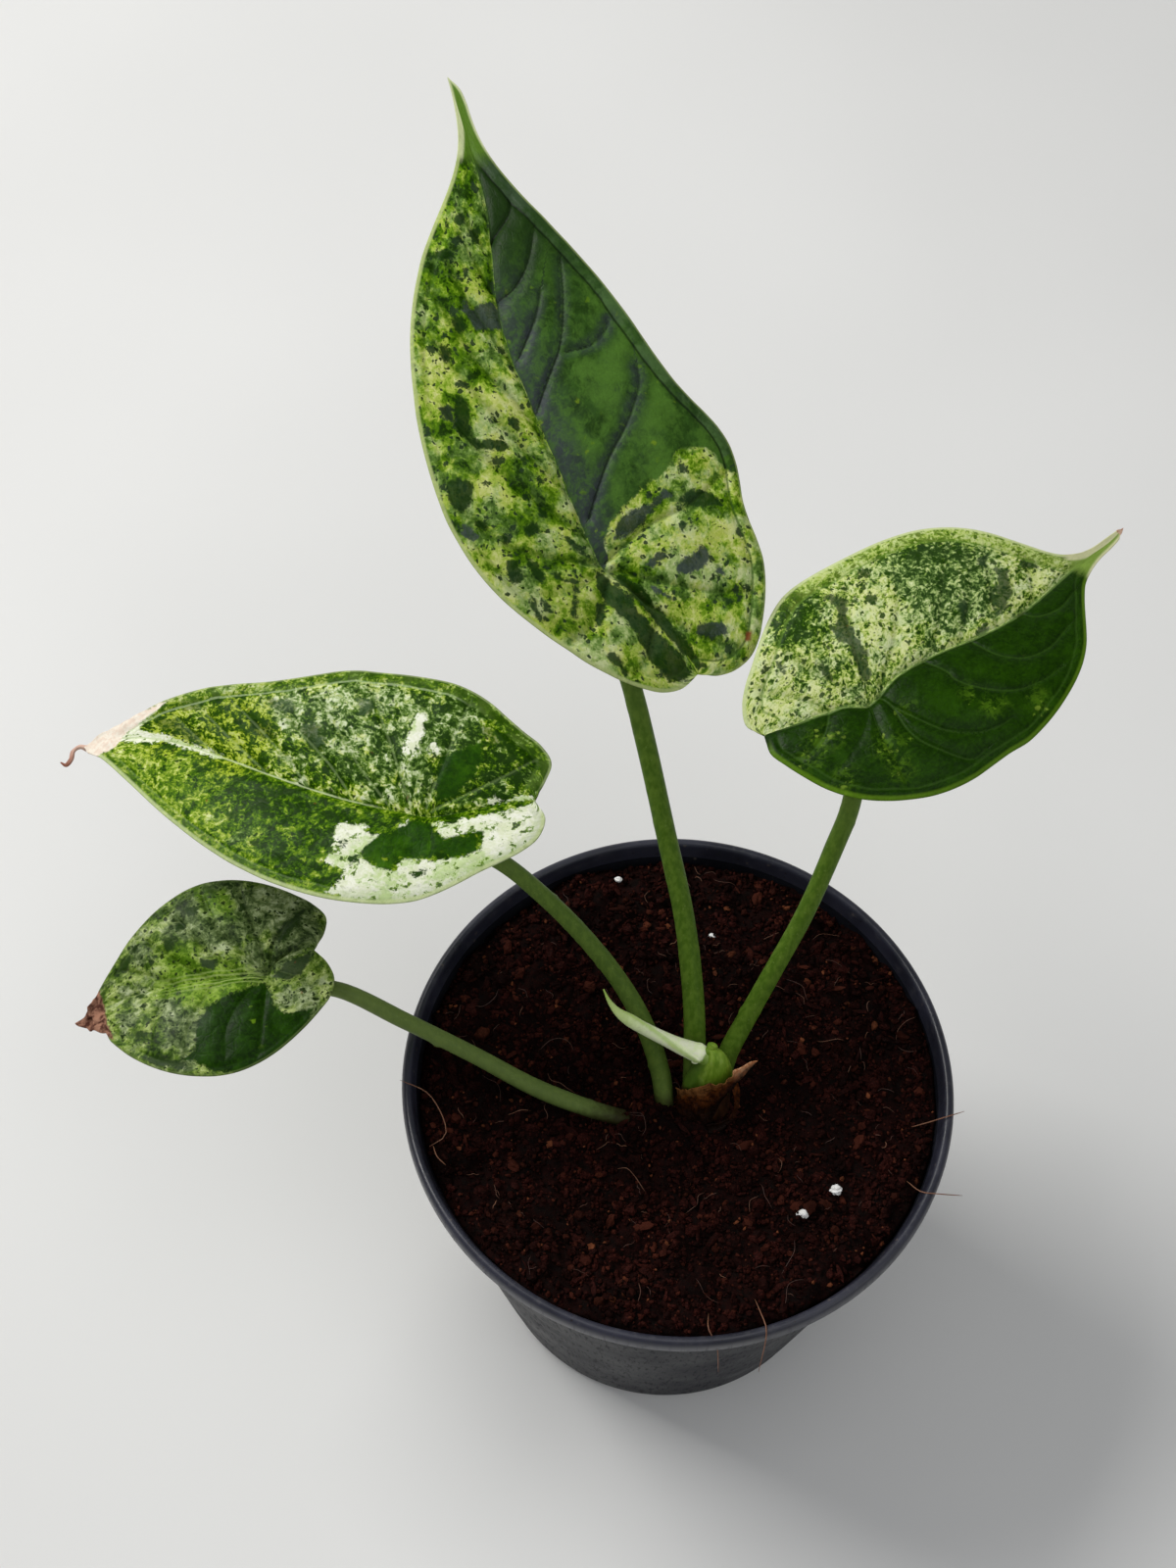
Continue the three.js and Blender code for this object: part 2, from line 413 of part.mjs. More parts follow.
// ---------------------------------------------------------------- potting mix
const soilProfile = [
  [0, FLOOR_T + GAP], [wallR(FLOOR_T) - WALL - 1.5 - GAP, FLOOR_T + GAP], [wallR(FLOOR_T + 2) - WALL - GAP - 0.3, FLOOR_T + 2.2],
  [wallR(92) - WALL - GAP - 0.2, 92], [wallR(92) - WALL - GAP - 0.6, SOIL_TOP - 1.2], [wallR(92) - WALL - GAP - 2.2, SOIL_TOP], [0, SOIL_TOP],
];
let mix = toSolid(turned(soilProfile, POT_SIDES));
let room = rootstock(GAP + 0.05);
for (const name of Object.keys(STALKS)) room = room.add(toSolid(stalkGeometry(name, GAP + 0.05)));
room = room.add(toSolid(youngGeometry(GAP + 0.05)));
mix = mix.subtract(room);
addMesh('potting_mix', fromSolid(mix), 'mix');

// ---------------------------------------------------------------- perlite grains
PERLITE.forEach(([x, y, size], i) => {
  const g = new THREE.IcosahedronGeometry(size, 1);
  const p = g.attributes.position;
  for (let k = 0; k < p.count; k++) {
    const [a, b, c] = [p.getX(k), p.getY(k), p.getZ(k)];
    const f = 1 + 0.1 * Math.sin(3.1 * a + 1.7 * i) + 0.1 * Math.sin(4.3 * b + i) + 0.06 * Math.sin(5.1 * c);
    p.setXYZ(k, a * f, b * f, c * f * 0.8);
  }
  const mesh = addMesh(`perlite_grain_${i + 1}`, closed(g), 'perlite');
  mesh.position.set(x, y, SOIL_TOP + GAP + size * 1.02);
});

export default model;
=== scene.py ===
import math
import bpy
import numpy as np
from mathutils import Matrix, Vector


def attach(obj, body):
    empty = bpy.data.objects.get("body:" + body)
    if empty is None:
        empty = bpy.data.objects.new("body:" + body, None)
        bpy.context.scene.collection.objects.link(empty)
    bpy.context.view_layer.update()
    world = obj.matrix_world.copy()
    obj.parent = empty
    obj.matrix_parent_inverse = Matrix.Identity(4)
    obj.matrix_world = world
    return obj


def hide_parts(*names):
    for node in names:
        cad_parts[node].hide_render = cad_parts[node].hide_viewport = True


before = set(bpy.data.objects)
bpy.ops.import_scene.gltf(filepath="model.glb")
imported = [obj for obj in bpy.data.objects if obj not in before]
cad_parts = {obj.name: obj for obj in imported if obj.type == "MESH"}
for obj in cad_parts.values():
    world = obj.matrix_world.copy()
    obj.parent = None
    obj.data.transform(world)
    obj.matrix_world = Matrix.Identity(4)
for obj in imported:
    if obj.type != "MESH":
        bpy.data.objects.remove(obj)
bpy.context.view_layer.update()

MM = 0.001

# ------------------------------------------------------------------ dimensions, in mm
RIM_D, POT_H, BASE_D, WALL, LIP_W, LIP_DROP, FLOOR_T = 120.0, 100.0, 84.0, 1.2, 2.4, 4.6, 1.6
DRAIN_D, DRAIN_N, DRAIN_R = 7.0, 8, 30.0
SOIL_TOP = 95.6

# Each blade is drawn flat on its own plane: x from the stalk's joint to the tip, y to the
# left of that line. arch, fold and crown lift it off the plane.
LEAVES = {
    "leaf_1": {
      "at": [-18.5, 60.2, 203.0], "tip": [-50.8, 154.3, 238.0], "roll": 4, "arch": 7, "fold": 0.26, "crown": 34,
      "ku": [0, 0.22, 0.42, 0.89, 1], "kaxis": [0, 0.186, 0.236, 0.84, 1], "kleft": [0, 0.22, 0.42, 0.9, 1], "kright": [0, 0.22, 0.42, 0.88, 1],
      "midrib": [[-23.7,-13.9],[-17.3,-11.3],[-11.2,-8.1],[-5.4,-4.3],[0,0],[8,1.9],[16.1,3.1],[24.2,4.3],[32.3,5.4],[40.4,6.4],[48.6,6.6],[56.7,5.6],[64.7,3.8],[72.8,2.2],[80.9,1.4],[89.1,1.1],[97.3,0.5],[105.4,-0]],
      "left": [[-23.7,-13.9],[-25.5,-10.3],[-25.5,-6.2],[-24.1,-2.3],[-22.2,1.3],[-19.8,4.6],[-17.2,7.8],[-14.3,10.7],[-11.4,13.6],[-8.3,16.3],[-5.1,18.9],[-1.8,21.3],[1.8,23.4],[5.5,25.1],[9.4,26.4],[13.4,27.4],[17.4,27.9],[21.5,28.2],[25.7,28.3],[29.8,28.2],[33.9,27.9],[37.9,27.3],[42,26.6],[46,25.7],[49.9,24.6],[53.8,23.2],[57.6,21.6],[61.3,19.8],[64.9,17.9],[68.4,15.6],[71.7,13.3],[75,10.9],[78.4,8.5],[81.9,6.3],[85.5,4.4],[89.3,2.9],[93.3,1.8],[97.3,1],[101.4,0.4],[105.4,-0]],
      "right": [[-23.7,-13.9],[-24.8,-17.4],[-24.8,-21.2],[-23.3,-24.7],[-20.5,-27.1],[-17,-28.7],[-13.4,-30],[-9.7,-31],[-6,-31.5],[-2.2,-31.2],[1.6,-30.6],[5.4,-30.4],[9.2,-30.9],[12.9,-31.3],[16.7,-31.1],[20.3,-29.8],[23.5,-27.8],[26.6,-25.6],[29.9,-23.6],[33.3,-22],[36.9,-20.5],[40.5,-19.2],[44.1,-18],[47.6,-16.7],[51.2,-15.3],[54.7,-13.9],[58.2,-12.4],[61.7,-10.9],[65.2,-9.3],[68.7,-7.8],[72.2,-6.2],[75.7,-4.8],[79.3,-3.5],[82.9,-2.4],[86.6,-1.6],[90.4,-1.2],[94.2,-1.2],[98,-1.4],[101.8,-1.2],[105.4,-0]],
    },
    "leaf_2": {
      "at": [33.5, 39.7, 188.0], "tip": [88.7, 86.7, 183.0], "roll": 8, "arch": 5, "fold": 0.3, "crown": 28,
      "ku": [0, 0.22, 0.43, 0.845, 1], "kaxis": [0, 0.198, 0.248, 0.82, 1], "kleft": [0, 0.25, 0.45, 0.85, 1], "kright": [0, 0.2, 0.42, 0.84, 1],
      "midrib": [[-18.7,8.1],[-13.9,6.3],[-9.1,4.6],[-4.4,2.7],[-0,0],[7.2,0.9],[14.5,0.1],[21.7,-1.6],[28.9,-3.1],[36.2,-3.6],[43.5,-3.1],[50.8,-2.2],[58.1,-1.6],[65.4,-1.2],[72.6,0]],
      "left": [[-18.7,8.1],[-20.2,11.5],[-18.7,15],[-16,17.7],[-12.8,19.9],[-9.6,22.1],[-6.3,24.2],[-2.9,26],[0.8,27.3],[4.6,27.6],[8.5,27.2],[12.4,26.7],[16.2,26.2],[20,25.6],[23.8,24.8],[27.6,23.7],[31.2,22.4],[34.6,20.5],[37.7,18.2],[40.5,15.5],[43,12.6],[45.4,9.5],[47.8,6.5],[50.4,3.6],[53.5,1.3],[57.1,-0.1],[61,-0.5],[64.8,-0.3],[68.7,0],[72.6,0]],
      "right": [[-18.7,8.1],[-20.3,4.4],[-19.8,0.3],[-18.8,-3.7],[-17.5,-7.6],[-15.6,-11.4],[-13.2,-14.7],[-10.2,-17.6],[-6.8,-20],[-3.2,-22],[0.7,-23.4],[4.8,-24.2],[9,-24.4],[13.1,-24.6],[17.2,-25.1],[21.4,-24.7],[25.4,-23.9],[29.4,-22.7],[33.3,-21.2],[37,-19.3],[40.4,-16.9],[43.4,-14.1],[46.4,-11.2],[49.5,-8.4],[52.8,-5.9],[56.6,-4.2],[60.6,-3.1],[64.7,-2.4],[68.7,-1.5],[72.6,0]],
    },
    "leaf_3": {
      "at": [-52.7, 24.7, 168.0], "tip": [-127.9, 52.2, 147.0], "roll": -12, "arch": 5.5, "fold": 0.26, "crown": 30,
      "ku": [0, 0.25, 0.45, 1], "kaxis": [0, 0.182, 0.232, 1], "kleft": [0, 0.25, 0.45, 1], "kright": [0, 0.25, 0.45, 1],
      "midrib": [[-18.9,-9.3],[-14,-7.3],[-9.4,-4.6],[-4.9,-1.9],[-0,0],[8.3,0.8],[16.6,1],[25,0.5],[33.3,-0.4],[41.6,-1.5],[49.9,-2.7],[58.2,-3.4],[66.6,-3.5],[74.9,-2.3],[82.8,0]],
      "left": [[-18.9,-9.3],[-19.7,-13.3],[-19.9,-17.4],[-17.1,-20.2],[-13.3,-21.9],[-9.6,-23.7],[-5.9,-25.6],[-2,-27],[2,-27.8],[6.1,-27.9],[10.3,-27.6],[14.4,-27.2],[18.5,-26.6],[22.5,-26],[26.5,-24.8],[30.3,-23.2],[34.1,-21.6],[38,-20.2],[41.9,-19],[45.9,-18],[49.9,-16.9],[53.9,-15.8],[57.8,-14.3],[61.5,-12.7],[65.2,-10.9],[68.9,-8.9],[72.4,-6.8],[75.9,-4.6],[79.4,-2.3],[82.8,0]],
      "right": [[-18.9,-9.3],[-21.9,-6.4],[-22.1,-2.1],[-20.1,1.8],[-17.3,5.2],[-14.3,8.4],[-11.3,11.7],[-8.1,14.7],[-4.6,17.3],[-0.6,19.2],[3.5,20.5],[7.9,21.4],[12.2,21.9],[16.6,22],[21,21.8],[25.4,21.3],[29.7,20.5],[34,19.5],[38.2,18.2],[42.3,16.8],[46.4,15.2],[50.5,13.5],[54.5,11.7],[58.5,9.8],[62.4,7.9],[66.4,6],[70.4,4.1],[74.4,2.4],[78.6,1.1],[82.8,0]],
    },
    "leaf_4": {
      "at": [-86.9, 9.2, 128.0], "tip": [-126.9, 1.2, 119.0], "roll": -6, "arch": 3, "fold": 0.28, "crown": 24,
      "ku": [0, 0.24, 0.44, 1], "kaxis": [0, 0.193, 0.243, 1], "kleft": [0, 0.24, 0.44, 1], "kright": [0, 0.24, 0.44, 1],
      "midrib": [[-9.9,-3.8],[-7.1,-4.1],[-4.3,-3.5],[-1.8,-2.2],[0,0],[4.2,-0.4],[8.4,-0.7],[12.6,-1.1],[16.7,-1.4],[20.9,-1.6],[25.1,-1.7],[29.3,-1.7],[33.5,-1.4],[37.6,-0.9],[41.7,-0]],
      "left": [[-9.9,-3.8],[-12.3,-6.9],[-13.4,-10.6],[-11.3,-13.8],[-8.2,-16.3],[-4.9,-18.5],[-1.4,-20.3],[2.3,-21.6],[6.2,-22.4],[10.1,-22.5],[14,-21.7],[17.7,-20.2],[21.1,-18.3],[24.3,-15.9],[27.3,-13.4],[30.1,-10.6],[32.9,-7.8],[35.7,-5],[38.7,-2.4],[41.7,-0]],
      "right": [[-9.9,-3.8],[-12.2,-0.4],[-13.2,3.5],[-11.9,7.3],[-9.2,10.3],[-6.2,13.1],[-3,15.6],[0.5,17.8],[4.2,19.3],[8.2,20.1],[12.3,20.1],[16.3,19.3],[20.1,18],[23.7,16.2],[27.1,13.9],[30.2,11.2],[32.9,8.2],[35.5,5],[38.4,2.2],[41.7,-0]],
    },
}

# Main veins and the larger areas of the marbling, on the same flat coordinates.
MARKS = {
    "leaf_1": {
        "veins_left": [
            [[6.2,1.7],[11.9,7.8],[19.3,14.2],[26.6,18.7],[33.9,22.4]],
            [[25.2,4.8],[33.9,8.2],[41.3,12.8],[50.3,16],[57.5,18]],
            [[40.4,6.2],[47.6,9.2],[53.9,11.5],[62,13.3]],
            [[56,6.4],[62.2,7.7],[68.2,9.3]],
            [[0.5,0.7],[2.5,8.7],[6.6,17.6],[15.1,24.3]],
            [[-1.3,-0.1],[-3.9,7.9],[-2.3,15.9],[6,21.9]],
            [[-3.1,-0.9],[-10.2,3.7],[-13.4,10.4],[-10.4,13.8]],
            [[-13.8,-7.4],[-18.8,-4.3],[-21.3,-1.1]],
            [[65.5,5],[70.2,6.6],[73.1,7.8]],
            [[14.4,2.8],[22.4,8.2],[30.4,12.6],[37.6,16.4],[46.8,20.3]],
        ],
        "veins_right": [
            [[8.9,0.2],[13.5,-2.6],[18.9,-6.4],[24.1,-11.2],[30.6,-15.6],[34.7,-16.4]],
            [[31.2,4.4],[36.3,1],[41.9,-2.9],[49.8,-5.8],[59,-8.1]],
            [[40.5,-3.5],[40.5,-8.5],[42.3,-11.9],[44.6,-13.5]],
            [[53.9,5.2],[55.5,1.9],[59.8,-1.9],[66.3,-5.1]],
            [[66.3,3.5],[68.3,1.1],[71.1,-1.7],[74.5,-3.1]],
            [[0.4,-1],[4.5,-10.1],[6.4,-19],[10.6,-27.2]],
            [[-1.3,-1.8],[-5.3,-9.4],[-10.1,-20],[-12,-28.1]],
            [[-6.1,-4.4],[-12.2,-10.4],[-18,-16.6],[-21.3,-23.4]],
            [[41.7,5.1],[45.8,1.9],[49.4,-0.5],[53.3,-2.4]],
        ],
        "regions": {
            "dark": [
                [[103.7,1],[89.3,-3.7],[65.6,-11.1],[38.9,-21.7],[20.9,-30.4],[10.7,-31.7],[11.1,-29.2],[16.6,-25.5],[17.4,-20.4],[13.5,-15.8],[10.8,-10.1],[7.1,-3.4],[0.5,0.7],[6.9,1.5],[25,4],[42,5.8],[55.9,5.8],[68.1,3.3],[85.8,0.7]],
            ],
            "pale": [
                [[39.1,20],[35.5,7.7],[27.2,7.7],[20.1,13.9],[24.8,21.6]],
                [[2.8,-4.8],[4.6,-20.2],[0.3,-29.5],[-5.3,-29.8],[-1.7,-20.3],[-2.2,-6.9]],
                [[16.7,-20.2],[16.4,-27.2],[10.9,-30],[4.2,-30.6],[8.5,-24.8],[12.1,-18.9]],
                [[51.1,20.7],[53.5,15],[40.7,19.6],[43.1,23]],
                [[8,23.7],[5.3,18.8],[-5.2,16.6],[-4.3,20.5]],
                [[-14.1,-0.4],[-19.9,-5.8],[-23.5,-8.4],[-21.5,1.5],[-15.7,6.8]],
                [[72.9,13.3],[76.3,2],[69.9,3.2],[68.2,12.3]],
                [[56,6.6],[57.6,12.9],[53.8,16.6],[51.7,13.9]],
            ],
            "isle": [
                [[72.5,9],[72.8,7.7],[71.7,7],[70.5,7.5],[70.3,8.8],[71.4,9.4]],
                [[69.2,7.3],[69.7,5.4],[68.8,4.8],[66.2,5.9],[66.2,7.3],[67.9,7.9]],
                [[36.3,19.5],[34.9,17.7],[31.7,18.1],[28.5,19.3],[28.2,21.3],[31.3,21.2],[33.9,21]],
                [[20.7,25.7],[20.6,23.1],[19.1,21.1],[15.7,22.3],[14.6,24.7],[16.4,26.1],[18.8,26.3]],
                [[30.8,10],[29.6,8.5],[27.5,8.9],[27.1,10.4],[29.4,10.9]],
                [[27.6,19.6],[26.7,17.1],[26.6,13.3],[24.9,11.6],[23.8,13],[24.9,16],[25.4,19.1]],
                [[23.4,10.5],[21.6,9.1],[21,10.2],[22.2,11.1]],
                [[12.7,22.3],[12,20.1],[10.6,20],[10.7,22.3]],
                [[9.2,18.1],[8.3,16.9],[6.6,17.4],[7.2,18.5]],
                [[9.3,13.8],[10.1,11.9],[8.6,10.3],[7.6,10.8],[7.6,13.7]],
                [[12.3,9.7],[11.6,8.6],[10.3,8.6],[10.8,9.9]],
                [[65.5,14.6],[65.2,11.8],[63.4,12],[63,14.1],[64.2,15.3]],
                [[46.9,19.9],[46,18.5],[43.2,18.2],[42.7,19.6],[44.8,20.4]],
                [[51.9,15.8],[51,13.9],[48.7,13.9],[48.3,15.5],[50.2,16.4]],
                [[4.1,18.3],[3.6,16.3],[1.6,16.3],[0.5,15.2],[-0.5,16.4],[-0.1,18.3],[1.9,18.9]],
                [[-2.7,15.4],[-3.8,14.3],[-5.8,15],[-7.6,13.8],[-8.3,14.5],[-6.7,15.9],[-4.6,15.9]],
                [[-4,13.6],[-4.8,12.5],[-7,12.3],[-6.5,13.4]],
                [[-2.8,6.6],[-3.3,5.4],[-6,6.7],[-9,7.8],[-7.8,8.5],[-4.3,7.3]],
                [[-7.1,3.3],[-7,1.1],[-9.5,2.1],[-12,3.6],[-10.7,4.3]],
                [[3.6,-15.9],[3.4,-17.8],[1.9,-17.8],[2,-16.1]],
                [[-10.9,-20.2],[-11.6,-21.8],[-12.9,-24.4],[-13.7,-24.2],[-12.2,-20.6]],
                [[7.6,-16.8],[9,-19.2],[8.8,-23.1],[7,-25.5],[4.9,-25.6],[5.4,-22.8],[6.5,-19.6]],
                [[-0.6,1.4],[-1.8,-0.2],[-7.2,-3.6],[-13,-6.6],[-17.7,-10],[-23.1,-13.1],[-24.4,-10.6],[-23.9,-7.8],[-20.9,-5.6],[-16.5,-3.9],[-12,-2.3],[-7.2,1],[-3.7,2.2]],
                [[-1.5,-1.5],[-3.1,-4.1],[-6.3,-7.2],[-11.4,-9.8],[-16.1,-12.6],[-21.2,-14.8],[-22.9,-15.6],[-22.8,-14.3],[-18.3,-11.3],[-13.3,-8],[-7.8,-4.9],[-3.6,-2.7]],
                [[6.5,6.4],[6.2,5.1],[3.2,2.6],[1.5,1.9],[2.3,3.4],[4.7,5.6]],
                [[4.3,14.6],[2.3,12.4],[-0.8,12.1],[-1.7,12.9],[0.5,13.7],[2.5,14.8]],
                [[0.2,9.6],[-1.3,8.4],[-2.1,5.2],[-2.7,5.4],[-1.9,8.5],[-0.5,9.9]],
                [[-16.2,3.4],[-17.4,1.4],[-20.7,0],[-21.5,0.8],[-18.9,2.4],[-17.4,3.6]],
            ],
            "teal": [
                [[55.2,11.9],[52.5,11.8],[53.5,9.2],[53.8,6.8],[52.3,6.3],[48.5,6.4],[47.8,7],[48.3,9.3],[48.3,11.9],[50.7,12.8],[52.6,13.6]],
                [[34.5,23.6],[34.5,20.8],[31.3,21.4],[32.1,23.1]],
                [[12.7,24.8],[11.3,22.9],[9.2,22.9],[8.9,24.4],[10.8,25.3]],
                [[-3.7,-13.9],[-2.9,-16.1],[-2.7,-17.8],[-1.3,-19.3],[-2.1,-20.5],[-3.4,-21.4],[-5,-19.6],[-5.8,-17.1],[-5.6,-14.4]],
                [[-5.1,-21.3],[-5.7,-22.7],[-7.4,-22.7],[-7,-21.1]],
                [[-2.1,-8.6],[-0.5,-10.7],[-0.7,-12.6],[-1.9,-12.3],[-2.7,-9.6]],
                [[-15.2,-15.4],[-15.4,-18.2],[-16.7,-21.3],[-18.1,-21],[-18.2,-17.6],[-16.9,-15.6]],
                [[4.1,-3.6],[6.5,-4.8],[7.9,-7.3],[8.8,-11.9],[10.2,-15],[10.4,-16.3],[8.8,-16.4],[7.6,-12.7],[5.2,-9.3],[3.6,-5.6]],
                [[-5.7,-8.4],[-8.7,-12.1],[-9.7,-12.1],[-9,-10.4],[-6.5,-8.2]],
            ],
            "lush": [
                [[63.6,17.2],[61.9,13.9],[59.7,10.7],[56.3,11],[56.1,14.5],[57.4,18.1],[59.9,19]],
                [[29.6,12.4],[26,9.6],[16.8,5.5],[9.6,3],[3.7,2.4],[5.9,6.4],[14.4,10.7],[23.4,13.7]],
                [[45.9,17.5],[40.8,13.6],[34.9,10.9],[35.1,12.5],[40.2,16.5],[43.9,18.7]],
                [[-3,-4.7],[-6.6,-14.7],[-10.1,-25],[-11.1,-29.3],[-13.1,-27.1],[-10.4,-13.8],[-6,-6.7]],
            ],
            "dot": [
                [[-18.7,-24.6],[-18.9,-25.8],[-20.6,-25.4],[-20.3,-24.3]],
            ],
        },
    },
    "leaf_2": {
        "veins_left": [
            [[-0.6,1.4],[-2.6,6.1],[-5.1,11.8],[-6.4,17.3]],
            [[0.6,1.4],[4.1,9.9],[6.2,15.2],[10.5,20.5]],
            [[16.8,1],[21.6,4.9],[27.1,10.4],[33.3,15.8]],
            [[30.3,-2.7],[32.8,2],[35.5,6.2],[38.6,10.6]],
            [[3.9,1.4],[9.9,5.6],[15.3,10.7],[19.8,16.6]],
            [[22,-1],[26.9,2.5],[31.7,7.3],[36.3,12.9]],
            [[40.4,-3],[42.9,0.7],[45.1,4.7]],
            [[-6.8,3.6],[-9.4,8.5],[-12.6,12.5],[-15,15.9]],
        ],
        "veins_right": [
            [[-0.1,0.4],[-2.8,-2.3],[-8.2,-5],[-16.9,-7.4]],
            [[2,1],[2.3,-3.3],[1,-9],[1.8,-14],[5.7,-20.8],[9.9,-21.3]],
            [[13.5,-0.5],[14.8,-4.7],[14.7,-6.9],[16.5,-10.7],[21,-15.4],[26.9,-17.3],[33.2,-17.5]],
            [[23.6,-3],[24.9,-7.9],[28.2,-11.6],[34.1,-13],[40.8,-11.6]],
            [[36,-3.6],[38.2,-6.4],[43,-7.5],[48.3,-6.3]],
            [[-7,3.4],[-10.8,0.6],[-15.7,-0.7],[-17.7,0.6]],
            [[-0.3,-0.6],[-3.2,-6.6],[-4.6,-12.5],[-6,-17.3]],
            [[2.3,-3.3],[4.2,-9.7],[6.5,-14.5],[11.9,-18.8],[17.6,-19.9]],
        ],
        "regions": {
            "dark": [
                [[-18.7,8.1],[-7.4,3.7],[0.2,0.8],[6.3,1],[13.3,0.8],[21.7,-1.4],[30.3,-2.7],[41.9,-3.1],[57.5,-2],[56.1,-3.8],[42,-15.5],[38,-18.6],[28.9,-22],[20.5,-24.5],[11.5,-24.1],[4.6,-23.8],[-2,-22.4],[-9.7,-18.2],[-15.1,-12],[-18,-5.7],[-18.7,0.1],[-20.7,2.1]],
            ],
            "pale": [
                [[12.9,22.4],[18.6,17.5],[13.1,9.7],[16.5,4],[7.4,2.5],[6.3,10.9],[8.6,17.5]],
                [[-10.3,21.1],[-7.3,17],[-8.3,12.5],[-4.9,4.7],[-11.3,5.9],[-18.5,8.5],[-19.8,12.5],[-16.4,17.2]],
                [[34.7,0.8],[48.6,1.6],[54.7,-0.6],[45.6,-2.5],[31.6,-2.9]],
                [[-12.3,21.6],[-2.4,26.8],[12.6,27.1],[29.1,22.5],[29.9,23.2],[12.8,28.8],[-2.7,27.9]],
            ],
            "grey": [
                [[20.9,21.4],[33.8,16.3],[39.1,8.8],[29.9,-0.6],[21.1,1.4],[16.3,8.6],[18.6,16]],
            ],
            "isle": [
                [[37.5,6.3],[39.5,4.5],[36.2,-0.1],[32.6,-1.7],[31.5,-0.4]],
                [[33.3,4.2],[34.4,2.9],[31.1,-1.3],[31,-0.1]],
                [[35.7,10.3],[38.2,9.4],[36.3,7.4],[34.2,8.4]],
                [[28.1,19.7],[29.8,18.5],[28.4,17.1],[26.9,17.8]],
                [[16.4,22.2],[17.4,21.4],[15.5,19.7],[14.6,20.9]],
                [[26.2,-0.8],[28.4,-1.5],[26.6,-2.9],[25.3,-2]],
                [[26.9,5.1],[27.7,3.9],[25.3,1.1],[24.5,2.2]],
                [[-9.2,17.3],[-8.1,16.4],[-9.2,14.6],[-10.3,15.6]],
                [[-3.2,12.7],[-1.9,11.6],[-3,8.1],[-4.1,8.3]],
                [[44.1,5.2],[46.3,3.4],[45.8,2],[42.2,3.3]],
            ],
            "lush": [
                [[1,27.9],[5.5,24.5],[5.7,21.7],[3.2,16.8],[2.3,14.5],[-0.4,16.1],[-4.9,17],[-7.2,19.1],[-6.5,22.4],[-2.7,26.1]],
                [[25.8,20.5],[35.8,13.8],[40.6,7.6],[36.4,8.1],[29.9,12.4],[22.5,16.3]],
            ],
            "teal": [
                [[5.9,22.3],[8.1,21.3],[8.7,18.1],[6,14.4],[5.6,11.8],[5.2,8.7],[2.8,3.3],[1.2,3.1],[1.8,6.6],[3.3,10.9],[2,12.6],[2.3,15.3],[5.6,16.9],[6.8,19]],
            ],
        },
    },
    "leaf_3": {
        "veins_left": [
            [[15.6,-0.3],[20.2,-4.2],[25.7,-7.8],[32.1,-11.4],[39.6,-15.1]],
            [[2.9,-0.7],[8.8,-9.7],[13.7,-16.3],[18.4,-22.8]],
            [[7.4,-0.1],[15.2,-6],[23.5,-13.9],[29,-18.7]],
            [[34.8,-1],[42.2,-4.8],[50.2,-9.2],[55.4,-12.1]],
            [[0.1,-1.5],[-0.8,-11.1],[-1.5,-19.2],[-1.7,-24.5]],
            [[-0.9,-1.2],[-8.6,-8.3],[-14.5,-14.3],[-17.9,-18.2]],
            [[24.9,-0.2],[32.2,-5.1],[39,-9.4],[47.1,-13.9]],
            [[46.3,-2.2],[53.1,-5.4],[59.4,-8.8]],
        ],
        "veins_right": [
            [[15.4,0.6],[22.6,6.5],[27.4,13.6],[32.5,17.5]],
            [[34,-0.8],[42.5,5],[48.3,9.2],[56,10.4]],
            [[2,0.4],[8.6,8.6],[13.7,16.4],[17.6,20.9]],
            [[-1.3,0.1],[-4.3,7.5],[-2.4,15.2],[-1.4,17.9]],
            [[-2.2,-0.9],[-11.6,0.8],[-18.1,3]],
            [[24.1,-0.1],[31.6,5.7],[37.9,11.6],[43.7,14.2]],
            [[45.9,-1.5],[51.5,2.8],[60.4,5]],
            [[8.5,0.8],[15.2,9],[20.3,15.4],[25.2,19.3]],
            [[-9.4,-4.9],[-16.4,-3.8],[-20.8,-3.8]],
        ],
        "regions": {
            "dark": [
                [[8.2,11.4],[6.1,6.3],[3,4.2],[1.4,1.6],[-2,1.9],[-5.6,4.2],[-8.8,2.1],[-12,0.3],[-12.5,4.2],[-9.8,6.6],[-3.5,9],[0.7,10],[1.2,13],[4.5,13.1],[7.2,12.1]],
                [[-1.6,-3.3],[-0.2,-7.5],[-0.4,-12.4],[-3.7,-14.5],[-7.1,-17],[-8,-13.4],[-6.6,-8.6],[-4.2,-4.6]],
            ],
            "white": [
                [[14.8,6.6],[10.4,5],[8.7,6.7],[6,6.7],[8.3,11],[7.4,12.6],[4.4,13.4],[1.2,13.2],[0.3,10.1],[-3.6,9.2],[-9.9,6.9],[-12.9,4.4],[-12.5,-0.2],[-8.8,2.1],[-5.9,4.1],[-2.6,1.7],[-3.6,0.8],[-10.3,-2.6],[-15.6,-5.8],[-19.2,-9],[-22.4,-5.9],[-22.3,-1.4],[-18.2,5.1],[-12.2,12],[-4.6,17.9],[3.5,21],[12.2,20.8],[9.9,17.5],[10,15.4],[14.3,14.9],[13.9,12.3]],
                [[7.4,-10.8],[7.2,-14.4],[7.1,-18.9],[5.6,-19.3],[4.6,-14.5],[4.4,-10.9],[6.5,-10]],
                [[3.3,-13.7],[1.7,-14.9],[0.8,-13.1],[2.1,-12]],
                [[-5.7,-15.1],[-6.8,-15.8],[-7.5,-13.6],[-6.5,-13.6]],
